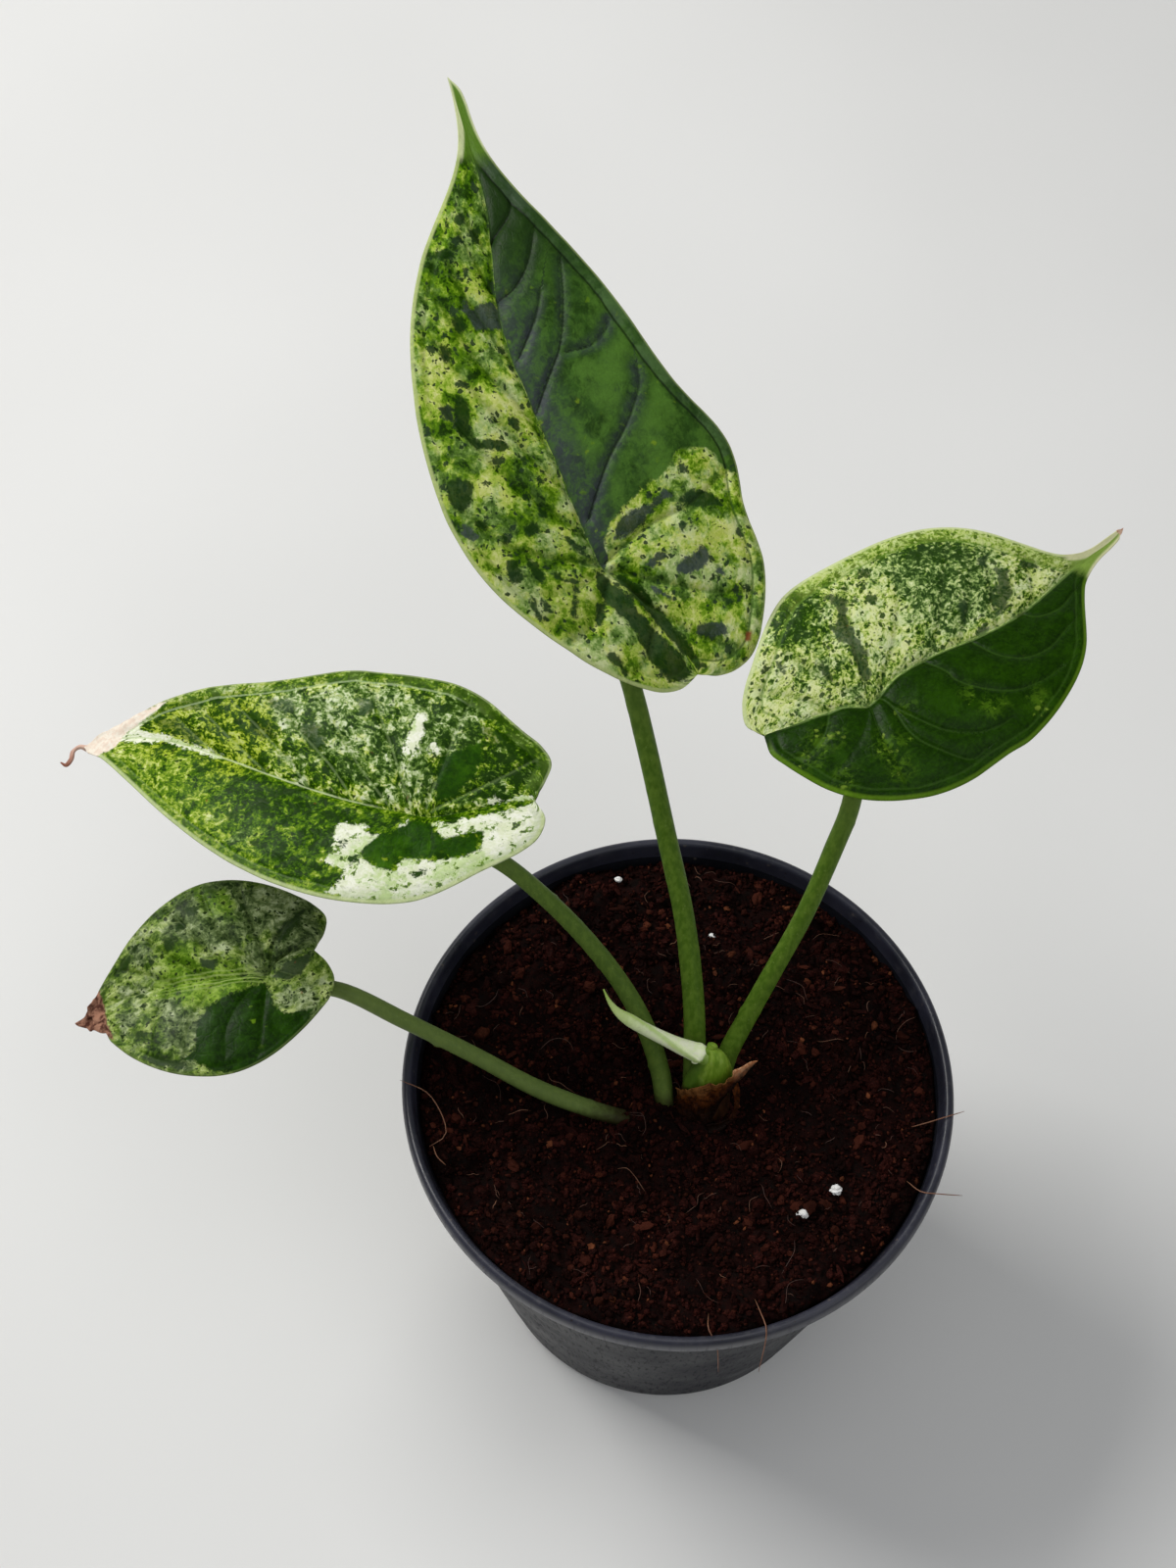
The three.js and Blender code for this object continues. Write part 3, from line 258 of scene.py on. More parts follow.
                [[84.7,-0.7],[77.5,-4],[70.5,-7.7],[62.6,-11.6],[65.3,-8.2],[68.6,-4.8],[58.8,-4.5],[51.5,-3.2],[44.7,-2.5],[46,-1.7],[54.4,-2.2],[60.9,-3.3],[71.8,-1.7],[75.1,0.5],[79.1,1.9],[83.7,1.3]],
                [[3.1,3.9],[2.3,1.9],[2.1,3.2],[3,5]],
                [[-10.8,-6.7],[-18,-10],[-18.2,-9.4],[-11.5,-6.3]],
            ],
            "grey": [
                [[42.3,-13.9],[30.9,-19.8],[16.5,-23.3],[-3.2,-24.1],[-6.7,-17.2],[2,-11.6],[0.7,-2.6],[9,-1],[20.4,-4.8],[33,-9.8]],
                [[42.5,8.1],[30.7,7.7],[21.8,15.1],[32,18.8],[43.7,14.2]],
            ],
            "dry": [
                [[86.5,4.4],[83.9,-2],[76.2,-5.8],[67.2,-9.7],[62.2,-11.9],[64.5,-9.5],[68.6,-6.2],[72,-3.4],[72,-0.5],[75.6,2],[80.6,3.5]],
            ],
            "isle": [
                [[-5.2,-19.9],[-9.7,-20.3],[-13.1,-19.4],[-12.3,-17.7],[-8.7,-17.1]],
                [[58.9,-12],[54.9,-12.8],[53,-11.3],[57.4,-10.4]],
                [[40,-10],[36.5,-10.9],[34,-8.2],[36.7,-7.1],[40.1,-7.9]],
                [[56.9,-6.6],[52.4,-5.8],[50.9,-4],[55.3,-4.5]],
                [[33.1,2.5],[29.4,1.8],[29,3.5],[31.4,4.5]],
                [[38.4,9.5],[36,9],[35.1,11],[37.2,11.4]],
                [[18.6,-18.1],[16.6,-19.3],[15.6,-16.6],[17.6,-16.4]],
                [[29.3,-11.9],[25.2,-12.8],[22.6,-7.1],[26.2,-7]],
                [[-1.8,12.3],[-4.6,11],[-4.9,13],[-2.5,13.4]],
                [[13.4,10],[11.3,9.4],[10.7,11],[12.6,11.3]],
                [[10.2,13],[8.8,12.4],[8.2,13.9],[9.7,14.3]],
                [[59.4,-11.1],[54.6,-12.8],[52.8,-11.7],[57.2,-10.2]],
                [[64.9,-8.2],[60.1,-8],[52.1,-5.9],[52,-4.1],[58.2,-5.2],[63.8,-6.5]],
                [[41.5,-9.3],[37.5,-11],[33.9,-9],[35.4,-7.3],[39.5,-7.3]],
            ],
            "lush": [
                [[42.2,1.1],[31,1.1],[16.6,2.3],[2.4,1.4],[7.2,7],[14.6,6.7],[14.2,15.2],[25.2,18],[34.3,10.9],[44.4,6.6]],
                [[-4.4,-18.3],[-11.9,-20.8],[-18,-18.4],[-20.2,-12.7],[-12,-7.7],[-5.2,-1],[-3,-1.1],[-8.5,-8.6],[-8.3,-14.4]],
                [[24.3,16.3],[14.2,15.2],[9.3,16.8],[12.3,20.5],[21.4,20]],
            ],
            "teal": [
                [[29.9,-12.5],[25.9,-12.2],[23.9,-8.8],[24.9,-7.1],[28.9,-9.6]],
                [[38.3,-15.2],[33.8,-16.4],[31.2,-13.8],[35.9,-13.3]],
                [[20.2,-19.5],[16.6,-20],[15.9,-17.3],[18.3,-16.7]],
            ],
        },
    },
    "leaf_4": {
        "veins_left": [
            [[0.2,-0.7],[4.6,-6.1],[8.6,-12.7],[10.4,-19.8]],
            [[12.2,-1.5],[18,-6.5],[22.5,-11.5],[25.5,-14]],
            [[-0.6,-1.1],[-2.4,-6.1],[-6.4,-10.9],[-9.8,-13.8]],
            [[5.2,-0.8],[9.7,-5.6],[13.9,-12],[17.9,-18.2]],
            [[19.4,-2.2],[24.2,-5],[29.3,-7.5]],
            [[-0.3,-0.9],[0.3,-8.1],[1.8,-15],[2.7,-19.9]],
            [[-2.4,-2.5],[-6.8,-5.1],[-11.4,-6.5]],
        ],
        "veins_right": [
            [[0.4,1],[5.6,5.2],[9.2,11.1],[10.1,16.7]],
            [[19.5,-1.7],[22.4,2.7],[24.4,7.2],[25.4,11.3]],
            [[-0.8,1.5],[-4,7.1],[-6.2,11.8]],
            [[10.2,-0.5],[14.7,5.4],[17.3,10.2],[18.1,15.3]],
            [[-0.1,1.7],[1.6,9.4],[3,15.5],[4,18.4]],
            [[-2.8,-0],[-7.4,2.6],[-11.9,5]],
        ],
        "regions": {
            "dark": [
                [[14.9,7.6],[12.6,5.3],[8.5,3.4],[4.4,2.6],[0.5,2],[-0.8,5.3],[-1.4,8.8],[-3.6,10],[-6.5,9.7],[-8.7,9.2],[-6.1,13.9],[-1.7,17.7],[3.3,20.1],[7,21],[13,19],[18.5,15.2],[15.7,13.8],[15.5,10.7]],
            ],
            "pale": [
                [[-2,2.7],[-6,2.4],[-9.4,2.3],[-12.1,3.3],[-12.6,6.2],[-8.9,9.5],[-4.6,10],[-1.4,8.4]],
                [[33.7,-5.7],[20.8,-5.7],[21.8,1.2],[25,7.6],[32.7,5.8],[34.8,1.6]],
                [[9.4,-7.7],[3.9,-7.1],[1.7,-3],[6.7,-2.9]],
            ],
            "grey": [
                [[9.3,-22],[-2.7,-18.8],[-11.8,-14.1],[-11.4,-6.5],[-1.3,-1.6],[3.9,-7.1],[12.8,-9],[19,-17.9]],
                [[21.8,1.2],[14.7,5.4],[15.7,13.8],[20.7,12],[24,8.4]],
            ],
            "lime": [
                [[20,-10.2],[14,-8.2],[12.3,-1],[18.6,0.9],[21.3,-3.2]],
                [[5.4,-19.3],[11.4,-21.3],[9.9,-15],[4.1,-12.6]],
            ],
            "dry": [
                [[44.7,1],[42.1,-2.8],[39,-4.9],[35.5,-4.9],[35.2,-2.1],[34.6,2.2],[33.6,6.4],[38.5,5.4]],
            ],
            "isle": [
                [[-1.1,0.7],[-4.4,-2],[-9.4,-3.3],[-9,-1.3],[-7.1,1.4],[-4,2.5]],
                [[-3.1,-8.2],[-7.6,-12.4],[-9.9,-12.9],[-7.6,-9.2],[-4.7,-6.9],[-3.2,-6.3]],
                [[14.3,-17.8],[11.4,-17.4],[11.9,-14.9],[13.9,-15.7]],
                [[16.7,-14.9],[14.6,-14.4],[14.9,-12.5],[16.6,-13.2]],
                [[29.8,-9.8],[27.2,-10.1],[28.2,-7.2],[30.2,-7.2]],
                [[19.7,-11.8],[17.4,-11.2],[17.8,-8.6],[19.9,-9.1]],
                [[28.7,6.5],[25.5,7.5],[25.7,8.8],[28.3,8]],
                [[3.1,-16.4],[1.6,-16.1],[1.8,-14.4],[3.1,-14.7]],
                [[27.6,-2.3],[25.5,-1.5],[26.1,-0.5],[27.8,-1.3]],
                [[12.8,-5.8],[9.4,-4.5],[10.2,-3.1],[12.4,-3.9]],
                [[28.3,12],[22.1,14.3],[18.2,16.1],[18.4,17.3],[24.9,14.8]],
                [[-0.6,17.2],[2.7,19.7],[5.7,19.9],[5.1,19]],
            ],
        },
    },
}

STALKS = {
    "leaf_1": {"pts": [[3.4, -4.6, 93.8], [3.4, -2.3, 98.4], [3.3, 2.0, 106], [2.7, 8.6, 117], [0.2, 21.4, 131.5], [-4.4, 33.3, 148], [-8.8, 42.9, 165.3], [-12.4, 49.9, 178]], "r0": 2.5, "r1": 1.75},
    "leaf_2": {"pts": [[8.6, -4.9, 93.6], [8.8, -2.9, 98], [10.2, 1.8, 106.6], [13.5, 6.4, 113.4], [18.9, 12.6, 126], [24.5, 18.9, 140], [29.0, 25.4, 155], [31.8, 30.4, 166]], "r0": 2.3, "r1": 1.7},
    "leaf_3": {"pts": [[-2.2, -5.4, 90.4], [-2.8, -4.8, 96], [-3.8, -0.4, 101.5], [-7.6, 6.6, 111], [-13.5, 12.8, 120.6], [-22.3, 18.3, 132.6], [-30.5, 21.8, 142.6], [-37.5, 23.6, 150.8]], "r0": 2.2, "r1": 1.6},
    "leaf_4": {"pts": [[-6.4, -8.3, 91.2], [-10.0, -8.4, 94.2], [-19.4, -7.4, 98.4], [-30.3, -5.0, 102.9], [-44.3, 0.0, 109.2], [-58.6, 4.6, 115.6], [-72.4, 8.8, 121.4]], "r0": 1.95, "r1": 1.6},
}

YOUNG_LEAF = [
    [6.2, -8.3, 93.6, 1.2], [6.5, -7.0, 99, 1.45], [7.6, -3.6, 105.6, 1.7], [8.0, -1.6, 110.2, 2.05],
    [3.9, -0.7, 113.2, 2.00], [-0.6, 0.0, 115.8, 1.68], [-4.5, 0.6, 118.6, 1.45], [-8.1, 1.0, 121.8, 1.30], [-11.3, 1.2, 125.2, 1.12], [-13.7, 1.5, 128.2, 0.74], [-15.5, 2.3, 131.6, 0.42], [-16.7, 3.3, 135.0, 0.15],
]

PERLITE = [
    [26.2, -29.8, 1.2], [33.5, -24.5, 1.15], [-13.2, 50.0, 0.75], [8.0, 35.6, 0.75],
]


# ------------------------------------------------------------------ small helpers
def lin(r, g, b):
    """sRGB 0..255 to linear, with alpha."""
    out = []
    for c in (r, g, b):
        c /= 255.0
        out.append(c / 12.92 if c <= 0.04045 else ((c + 0.055) / 1.055) ** 2.4)
    return (*out, 1.0)


def unit(v):
    v = np.asarray(v, float)
    return v / np.linalg.norm(v)


def along(points, t):
    """Smooth curve through points, parameter 0..1 by chord length."""
    p = np.asarray(points, float)
    n = len(p)
    t = np.clip(np.atleast_1d(np.asarray(t, float)), 0, 1)
    cl = np.r_[0, np.cumsum(np.linalg.norm(np.diff(p, axis=0), axis=1))]
    s = t * cl[-1]
    i = np.clip(np.searchsorted(cl, s, side="right") - 1, 0, n - 2)
    f = ((s - cl[i]) / (cl[i + 1] - cl[i]))[:, None]
    q = np.vstack([2 * p[0] - p[1], p, 2 * p[-1] - p[-2]])
    p0, p1, p2, p3 = q[i], q[i + 1], q[i + 2], q[i + 3]
    return 0.5 * (2 * p1 + (p2 - p0) * f + (2 * p0 - 5 * p1 + 4 * p2 - p3) * f ** 2 + (3 * p1 - p0 - 3 * p2 + p3) * f ** 3)


def line_distance(xy, line):
    """Distance of every point to a polyline, and the place 0..1 along it."""
    a, b = line[:-1], line[1:]
    ab = b - a
    ln = np.linalg.norm(ab, axis=1)
    cl = np.r_[0, np.cumsum(ln)]
    best = np.full(len(xy), 1e9)
    where = np.zeros(len(xy))
    for k in range(len(a)):
        w = xy - a[k]
        t = np.clip((w @ ab[k]) / max(ln[k] ** 2, 1e-12), 0, 1)
        d = np.hypot(w[:, 0] - t * ab[k, 0], w[:, 1] - t * ab[k, 1])
        m = d < best
        best[m] = d[m]
        where[m] = (cl[k] + t[m] * ln[k]) / cl[-1]
    return best, where


def side_distance(xy, line):
    """Distance to a polyline, positive on its side towards +x."""
    d, _ = line_distance(xy, line)
    a, b = line[:-1], line[1:]
    ab = b - a
    best = np.full(len(xy), 1e9)
    side = np.ones(len(xy))
    for k in range(len(a)):
        w = xy - a[k]
        t = (w @ ab[k]) / max(ab[k] @ ab[k], 1e-12)
        lo, hi = (-1e9 if k == 0 else 0.0), (1e9 if k == len(a) - 1 else 1.0)
        t = np.clip(t, lo, hi)
        q = w - t[:, None] * ab[k]
        r = np.hypot(q[:, 0], q[:, 1])
        # the side of this piece that faces +x
        turn = ab[k][0] * w[:, 1] - ab[k][1] * w[:, 0]
        face = -np.sign(line[-1][1] - line[0][1]) or 1.0
        m = r < best
        best[m] = r[m]
        side[m] = np.sign(turn[m] * face + 1e-12)
    return d * side


def area_distance(xy, poly):
    """Signed distance to a closed outline, positive inside."""
    p = np.asarray(poly, float)
    d, _ = line_distance(xy, np.vstack([p, p[:1]]))
    inside = np.zeros(len(xy), bool)
    x, y = xy[:, 0], xy[:, 1]
    n = len(p)
    for k in range(n):
        (x1, y1), (x2, y2) = p[k], p[(k + 1) % n]
        if y1 == y2:
            continue
        c = ((y1 > y) != (y2 > y)) & (x < (x2 - x1) * (y - y1) / (y2 - y1) + x1)
        inside ^= c
    return np.where(inside, d, -d)


def lattice(x, y, size, seed):
    """Smooth random field, -1..1, with features of about size."""
    rng = np.random.default_rng(seed)
    g = rng.uniform(-1, 1, (128, 128))
    fx, fy = x / size + 40.3, y / size + 37.7
    ix, iy = np.floor(fx).astype(int), np.floor(fy).astype(int)
    tx, ty = fx - ix, fy - iy
    tx, ty = tx * tx * (3 - 2 * tx), ty * ty * (3 - 2 * ty)
    a, b = g[ix % 128, iy % 128], g[(ix + 1) % 128, iy % 128]
    c, d = g[ix % 128, (iy + 1) % 128], g[(ix + 1) % 128, (iy + 1) % 128]
    return (a * (1 - tx) + b * tx) * (1 - ty) + (c * (1 - tx) + d * tx) * ty


def sstep(a, b, x):
    t = np.clip((x - a) / (b - a), 0, 1)
    return t * t * (3 - 2 * t)


def add_mesh(name, verts, faces, materials, face_mat=None, uvs=None, attrs=None, smooth=True):
    """verts in mm. uvs: name -> flat list of loop coordinates. attrs: name -> value per vertex."""
    me = bpy.data.meshes.new(name)
    me.from_pydata((np.asarray(verts, float) * MM).tolist(), [], [list(map(int, f)) for f in faces])
    for m in materials:
        me.materials.append(m)
    if face_mat is not None:
        me.polygons.foreach_set("material_index", np.asarray(face_mat, np.int32))
    for key, uv in (uvs or {}).items():
        layer = me.uv_layers.new(name=key)
        layer.data.foreach_set("uv", np.asarray(uv, np.float32).ravel())
    for key, val in (attrs or {}).items():
        at = me.attributes.new(key, "FLOAT", "POINT")
        at.data.foreach_set("value", np.asarray(val, np.float32))
    me.polygons.foreach_set("use_smooth", np.full(len(me.polygons), smooth))
    me.update()
    ob = bpy.data.objects.new(name, me)
    bpy.context.scene.collection.objects.link(ob)
    return ob


def place(ob, slot, *nodes):
    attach(ob, "root")
    if nodes:
        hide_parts(*nodes)
    return ob


class Net:
    """A material's node tree, written as plain calls."""

    def __init__(self, name):
        self.mat = bpy.data.materials.new(name)
        self.mat.use_nodes = True
        self.t = self.mat.node_tree
        self.t.nodes.clear()
        self.out = self.t.nodes.new("ShaderNodeOutputMaterial")

    def put(self, sock, v):
        if isinstance(v, bpy.types.NodeSocket):
            self.t.links.new(v, sock)
        elif v is not None:
            sock.default_value = v

    def node(self, kind, **props):
        n = self.t.nodes.new(kind)
        for k, v in props.items():
            setattr(n, k, v)
        return n

    def math(self, op, a, b=None, c=None, clamp=False):
        n = self.node("ShaderNodeMath", operation=op, use_clamp=clamp)
        self.put(n.inputs[0], a)
        self.put(n.inputs[1], b)
        self.put(n.inputs[2], c)
        return n.outputs[0]

    def add(self, *vals):
        r = vals[0]
        for v in vals[1:]:
            r = self.math("ADD", r, v)
        return r

    def mul(self, a, b):
        return self.math("MULTIPLY", a, b)

    def sub(self, a, b):
        return self.math("SUBTRACT", a, b)

    def vec(self, op, a, b=None, scale=None):
        n = self.node("ShaderNodeVectorMath", operation=op)
        self.put(n.inputs[0], a)
        if b is not None:
            self.put(n.inputs[1], b)
        if scale is not None:
            self.put(n.inputs["Scale"], scale)
        return n.outputs["Vector"]

    def uv(self, name, scale=100.0):
        n = self.node("ShaderNodeUVMap", uv_map=name)
        return self.vec("SCALE", n.outputs["UV"], scale=scale)

    def obj(self, scale=1000.0):
        n = self.node("ShaderNodeTexCoord")
        return self.vec("SCALE", n.outputs["Object"], scale=scale)

    def attr(self, name):
        return self.node("ShaderNodeAttribute", attribute_name=name).outputs["Fac"]

    def noise(self, v, scale, detail=2.0, rough=0.5, dist=0.0, colour=False):
        n = self.node("ShaderNodeTexNoise")
        self.put(n.inputs["Vector"], v)
        n.inputs["Scale"].default_value = scale
        n.inputs["Detail"].default_value = detail
        n.inputs["Roughness"].default_value = rough
        n.inputs["Distortion"].default_value = dist
        return n.outputs["Color"] if colour else n.outputs[0]

    def voronoi(self, v, scale, feature="F1", rand=1.0):
        n = self.node("ShaderNodeTexVoronoi", feature=feature)
        self.put(n.inputs["Vector"], v)
        n.inputs["Scale"].default_value = scale
        n.inputs["Randomness"].default_value = rand
        return n

    def split(self, c):
        n = self.node("ShaderNodeSeparateColor")
        self.put(n.inputs[0], c)
        return n.outputs[0], n.outputs[1], n.outputs[2]

    def ramp(self, v, a, b, c=0.0, d=1.0, smooth=True):
        n = self.node("ShaderNodeMapRange", interpolation_type="SMOOTHSTEP" if smooth else "LINEAR")
        self.put(n.inputs[0], v)
        for i, x in enumerate((a, b, c, d)):
            self.put(n.inputs[1 + i], x)
        return n.outputs[0]

    def mix(self, fac, a, b, blend="MIX"):
        n = self.node("ShaderNodeMix", data_type="RGBA", blend_type=blend)
        self.put(n.inputs[0], fac)
        self.put(n.inputs[6], a)
        self.put(n.inputs[7], b)
        return n.outputs[2]

    def tones(self, v, stops):
        """Row of colours along a value."""
        n = self.node("ShaderNodeValToRGB")
        self.put(n.inputs[0], v)
        el = n.color_ramp.elements
        while len(el) < len(stops):
            el.new(0.5)
        for e, (at, colour) in zip(el, stops):
            e.position = at
        for e, (at, colour) in zip(el, stops):
            e.color = colour
        return n.outputs[0]

    def bump(self, height, distance, strength=1.0, normal=None):
        n = self.node("ShaderNodeBump")
        n.inputs["Strength"].default_value = strength
        n.inputs["Distance"].default_value = distance * MM
        self.put(n.inputs["Height"], height)
        if normal is not None:
            self.put(n.inputs["Normal"], normal)
        return n.outputs["Normal"]

    def shader(self, colour, rough, normal=None, **fixed):
        n = self.node("ShaderNodeBsdfPrincipled")
        self.put(n.inputs["Base Color"], colour)
        self.put(n.inputs["Roughness"], rough)
        if normal is not None:
            self.put(n.inputs["Normal"], normal)
        for k, v in fixed.items():
            n.inputs[k.replace("_", " ")].default_value = v
        self.t.links.new(n.outputs[0], self.out.inputs["Surface"])
        return self.mat


# ------------------------------------------------------------------ camera
CAM_MM = (-20.549, -190.981, 536.781)
RIGHT = unit((0.99988, 0.01344, 0.00813))
FORWARD = unit((0.0, 0.51788, -0.85545))
cam_data = bpy.data.cameras.new("camera")
cam_data.lens = 50.0
cam_data.sensor_width = 36.0
cam_data.clip_start = 0.01
cam = bpy.data.objects.new("camera", cam_data)
bpy.context.scene.collection.objects.link(cam)
back = -FORWARD
up = np.cross(back, RIGHT)
right = np.cross(up, back)
cam.matrix_world = Matrix.Translation(Vector(CAM_MM) * MM) @ Matrix(((right[0], up[0], back[0]), (right[1], up[1], back[1]), (right[2], up[2], back[2]))).to_4x4()
bpy.context.scene.camera = cam


# ------------------------------------------------------------------ leaf blades
def blade_plane(leaf):
    o = np.array(leaf["at"], float)
    u = np.array(leaf["tip"], float) - o
    length = np.linalg.norm(u)
    u /= length
    v0 = unit(np.cross([0, 0, 1], u))
    n0 = np.cross(u, v0)
    r = math.radians(leaf["roll"])
    v = math.cos(r) * v0 + math.sin(r) * n0
    return o, u, v, np.cross(u, v), length


def blade(name, leaf, marks, look, rows, cols, top_mat, under_mat):
    o, U, V, N, length = blade_plane(leaf)
    # rows run from the notch to the tip, a little closer together at the tip
    t = np.linspace(0, 1, rows + 1)
    ax = along(leaf["midrib"], np.interp(t, leaf["ku"], leaf["kaxis"]))
    le = along(leaf["left"], np.interp(t, leaf["ku"], leaf["kleft"]))
    ri = along(leaf["right"], np.interp(t, leaf["ku"], leaf["kright"]))
    v = np.linspace(0, 1, cols + 1)
    v = 0.5 * v + 0.5 * (1 - np.cos(np.pi * v)) / 2     # finer at the midrib and the margin
    vv = np.r_[v[::-1], v[1:]]
    side = np.r_[np.zeros(cols + 1), np.ones(cols)]      # 0 left, 1 right
    edge = np.where(side[None, :, None] < 0.5, le[:, None, :], ri[:, None, :])
    xy = ax[:, None, :] * (1 - vv[None, :, None]) + edge * vv[None, :, None]
    nr, nc = xy.shape[:2]
    flat = xy.reshape(-1, 2)
    sidef = np.tile(side, nr)
    left_m, right_m = sidef < 0.5, sidef > 0.5
    mid_col = np.tile(np.arange(nc) == cols, nr)

    rib = along(leaf["midrib"], np.linspace(0, 1, 120))
    d_mid, s_mid = line_distance(flat, rib)
    margin = np.vstack([along(leaf["left"], np.linspace(0, 1, 260)), along(leaf["right"], np.linspace(0, 1, 260))[::-1]])
    d_rim, _ = line_distance(flat, margin)
    s_att = np.argmin(np.hypot(rib[:, 0], rib[:, 1])) / 119.0
    r_att = np.hypot(flat[:, 0], flat[:, 1])

    # distance to the nearest side vein, and how far out along it
    d_vein = np.full(len(flat), 99.0)
    t_vein = np.zeros(len(flat))
    groove = np.zeros(len(flat))
    trough = np.zeros(len(flat))
    vein_u = np.full(len(flat), 0.5)
    vein_g = np.full(len(flat), 20.0)
    loop_d = np.full(len(flat), 9.0)                     # side branches that start away from the midrib
    for which, mask in (("veins_left", left_m | mid_col), ("veins_right", right_m | mid_col)):
        idx = np.where(mask)[0]
        for line in marks[which]:
            c = along(line, np.linspace(0, 1, 26))
            d, w = line_distance(flat[idx], c)
            # a vein starts on the midrib and fades towards the margin
            s = (1 - 0.6 * w) * sstep(0.0, 1.2, d_rim[idx])
            groove[idx] = np.maximum(groove[idx], s * np.exp(-(d / look["vein_w"]) ** 2))
            trough[idx] = np.maximum(trough[idx], s * np.exp(-(np.hypot(d, 0.4) - 0.4) / look.get("quilt_w", 2.1)))
            if line_distance(c[:1], rib)[0][0] > 2.4:
                loop_d[idx] = np.minimum(loop_d[idx], d)
            better = d < d_vein[idx]
            d_vein[idx[better]] = d[better]
            t_vein[idx[better]] = w[better]
        # place between two neighbouring veins, a whole number on each vein, and their spacing
        order = []
        for k, q in enumerate(marks[which]):
            if line_distance(np.asarray(q, float)[:1], rib)[0][0] > 2.4:
                continue
            at_x, at_y = along(q, [0.35])[0]
            order.append((at_x - 0.9 * abs(at_y), k))
        order.sort()
        sided = []
        for _, k in order:
            c = along(marks[which][k], np.linspace(0, 1, 26))
            sided.append(side_distance(flat[idx], c))
        sided = np.array(sided)
        passed = np.clip((sided > 0).sum(axis=0), 1, len(sided) - 1)
        cols_ = np.arange(len(idx))
        a_, b_ = sided[passed - 1, cols_], sided[passed, cols_]
        gap = np.maximum(a_ - b_, 0.8)
        vein_u[idx] = np.clip(passed - 1 + np.clip(a_ / gap, -0.5, 1.5), -0.5, len(sided) - 0.5)
        vein_g[idx] = gap

    x, y = flat[:, 0], flat[:, 1]
    tx = x / length
    ds = np.sqrt(d_mid ** 2 + 0.5 ** 2) - 0.5
    h = 4 * leaf["arch"] * tx * (1 - tx) + leaf["fold"] * ds - leaf["fold"] / leaf["crown"] * d_mid ** 2
    taper = np.clip(1 - 0.75 * np.clip((s_mid - s_att) / (1 - s_att), 0, 1), 0.2, 1)
    taper = np.where(s_mid < s_att, 0.35 + 0.65 * s_mid / s_att, taper)
    dc = look["collect"]
    side_dc = np.where(sidef < 0.5, dc[0], dc[1])
    wide = sstep(1.4, 4.6, d_mid + d_rim)
    h -= wide * look["rib_depth"] * taper * np.exp(-(d_mid / 0.75) ** 2)
    deep = np.where(sidef < 0.5, look["relief"][0], look["relief"][1])
    h -= wide * deep * (look["vein_depth"] * groove + look["quilt"] * trough)
    fold = np.where(sidef < 0.5, *look.get("rim_fold", (0.22, 0.22)))
    h -= wide * fold * np.exp(-((d_rim - side_dc) / 0.55) ** 2)
    roll = np.where(sidef < 0.5, look["roll"][0], look["roll"][1])
    h -= wide * roll * np.clip(1 - d_rim / side_dc, 0, 1) ** 2
    inner = sstep(0.5, 4.0, d_rim) * sstep(0.3, 3.0, d_mid)
    h += inner * (0.30 * lattice(x, y, 9.0, look["seed"]) + 0.12 * lattice(x, y, 3.6, look["seed"] + 1) + 0.05 * lattice(x, y, 1.7, look["seed"] + 2))
    h += sstep(5.0, 0.0, d_rim) * wide * 0.45 * lattice(x, y, 11.0, look["seed"] + 3)
    h -= 0.35 * np.exp(-(r_att / 2.2) ** 2)
    if "wave" in look:
        for (wx, wy, amp, rad) in look["wave"]:
            h += amp * np.exp(-((x - wx) ** 2 + (y - wy) ** 2) / rad ** 2)

    dried = sstep(length - look["dry"][0], length - look["dry"][1], x)
    for poly in marks["regions"].get("dry", []):
        dried = np.maximum(dried, sstep(-0.6, 1.4, area_distance(flat, poly)))
    crush = look.get("crush", 0.35) * dried
    h += crush * (1.2 * lattice(x, y, 2.2, 401) + 0.6 * lattice(x, y, 1.0, 402))
    px_ = x + crush * 0.8 * lattice(x, y, 2.0, 403)
    py_ = y + crush * 1.0 * lattice(x, y, 1.7, 404)
    P = o + px_[:, None] * U + py_[:, None] * V + h[:, None] * N
    G = P.reshape(nr, nc, 3)
    gu = np.gradient(G, axis=0)
    gv = np.gradient(G, axis=1)
    nrm = np.cross(gu, gv)
    ln = np.linalg.norm(nrm, axis=2, keepdims=True)
    nrm = np.where(ln > 1e-9, nrm / np.maximum(ln, 1e-9), N)
    sign = np.sign((nrm @ N).sum())
    nrm *= sign
    nrm = np.where((nrm @ N)[..., None] < 0.35, N, nrm)
    nrm[:3] = N
    nrm[-4:] = N
    nf = nrm.reshape(-1, 3)
    # underside: thin blade with raised ribs, thick where the stalk joins
    thick = 0.34 + 0.30 * np.exp(-(d_mid / 3.0) ** 2) * taper
    thick += 1.25 * wide * taper * np.exp(-(d_mid / 1.15) ** 2) * np.where(s_mid < s_att, 0.75, 1.0)
    thick += 0.42 * wide * groove + 1.1 * np.exp(-(r_att / 2.4) ** 2)
    thick = np.where(wide < 0.5, np.minimum(thick, 0.5 + 0.25 * wide), thick)
    B = (P - nf * thick[:, None]).reshape(nr, nc, 3)

    # ---- faces: first and last rows are single points
    def block(base):
        ids = np.arange(nr * nc).reshape(nr, nc) + base
        ids[0, :] = ids[0, cols]
        ids[-1, :] = ids[-1, cols]
        return ids

    top_ids, low_ids = block(0), block(nr * nc)
    # rounded edge: one more row of points just outside the margin
    def edge_points(col, inner_col):
        out = G[:, col] - G[:, inner_col]
        out /= np.maximum(np.linalg.norm(out, axis=1, keepdims=True), 1e-6)
        m = (G[:, col] + B[:, col]) / 2
        w = 0.16 * sstep(0, 3, np.arange(nr)) * sstep(nr - 1, nr - 4, np.arange(nr))
        return m + out * w[:, None]

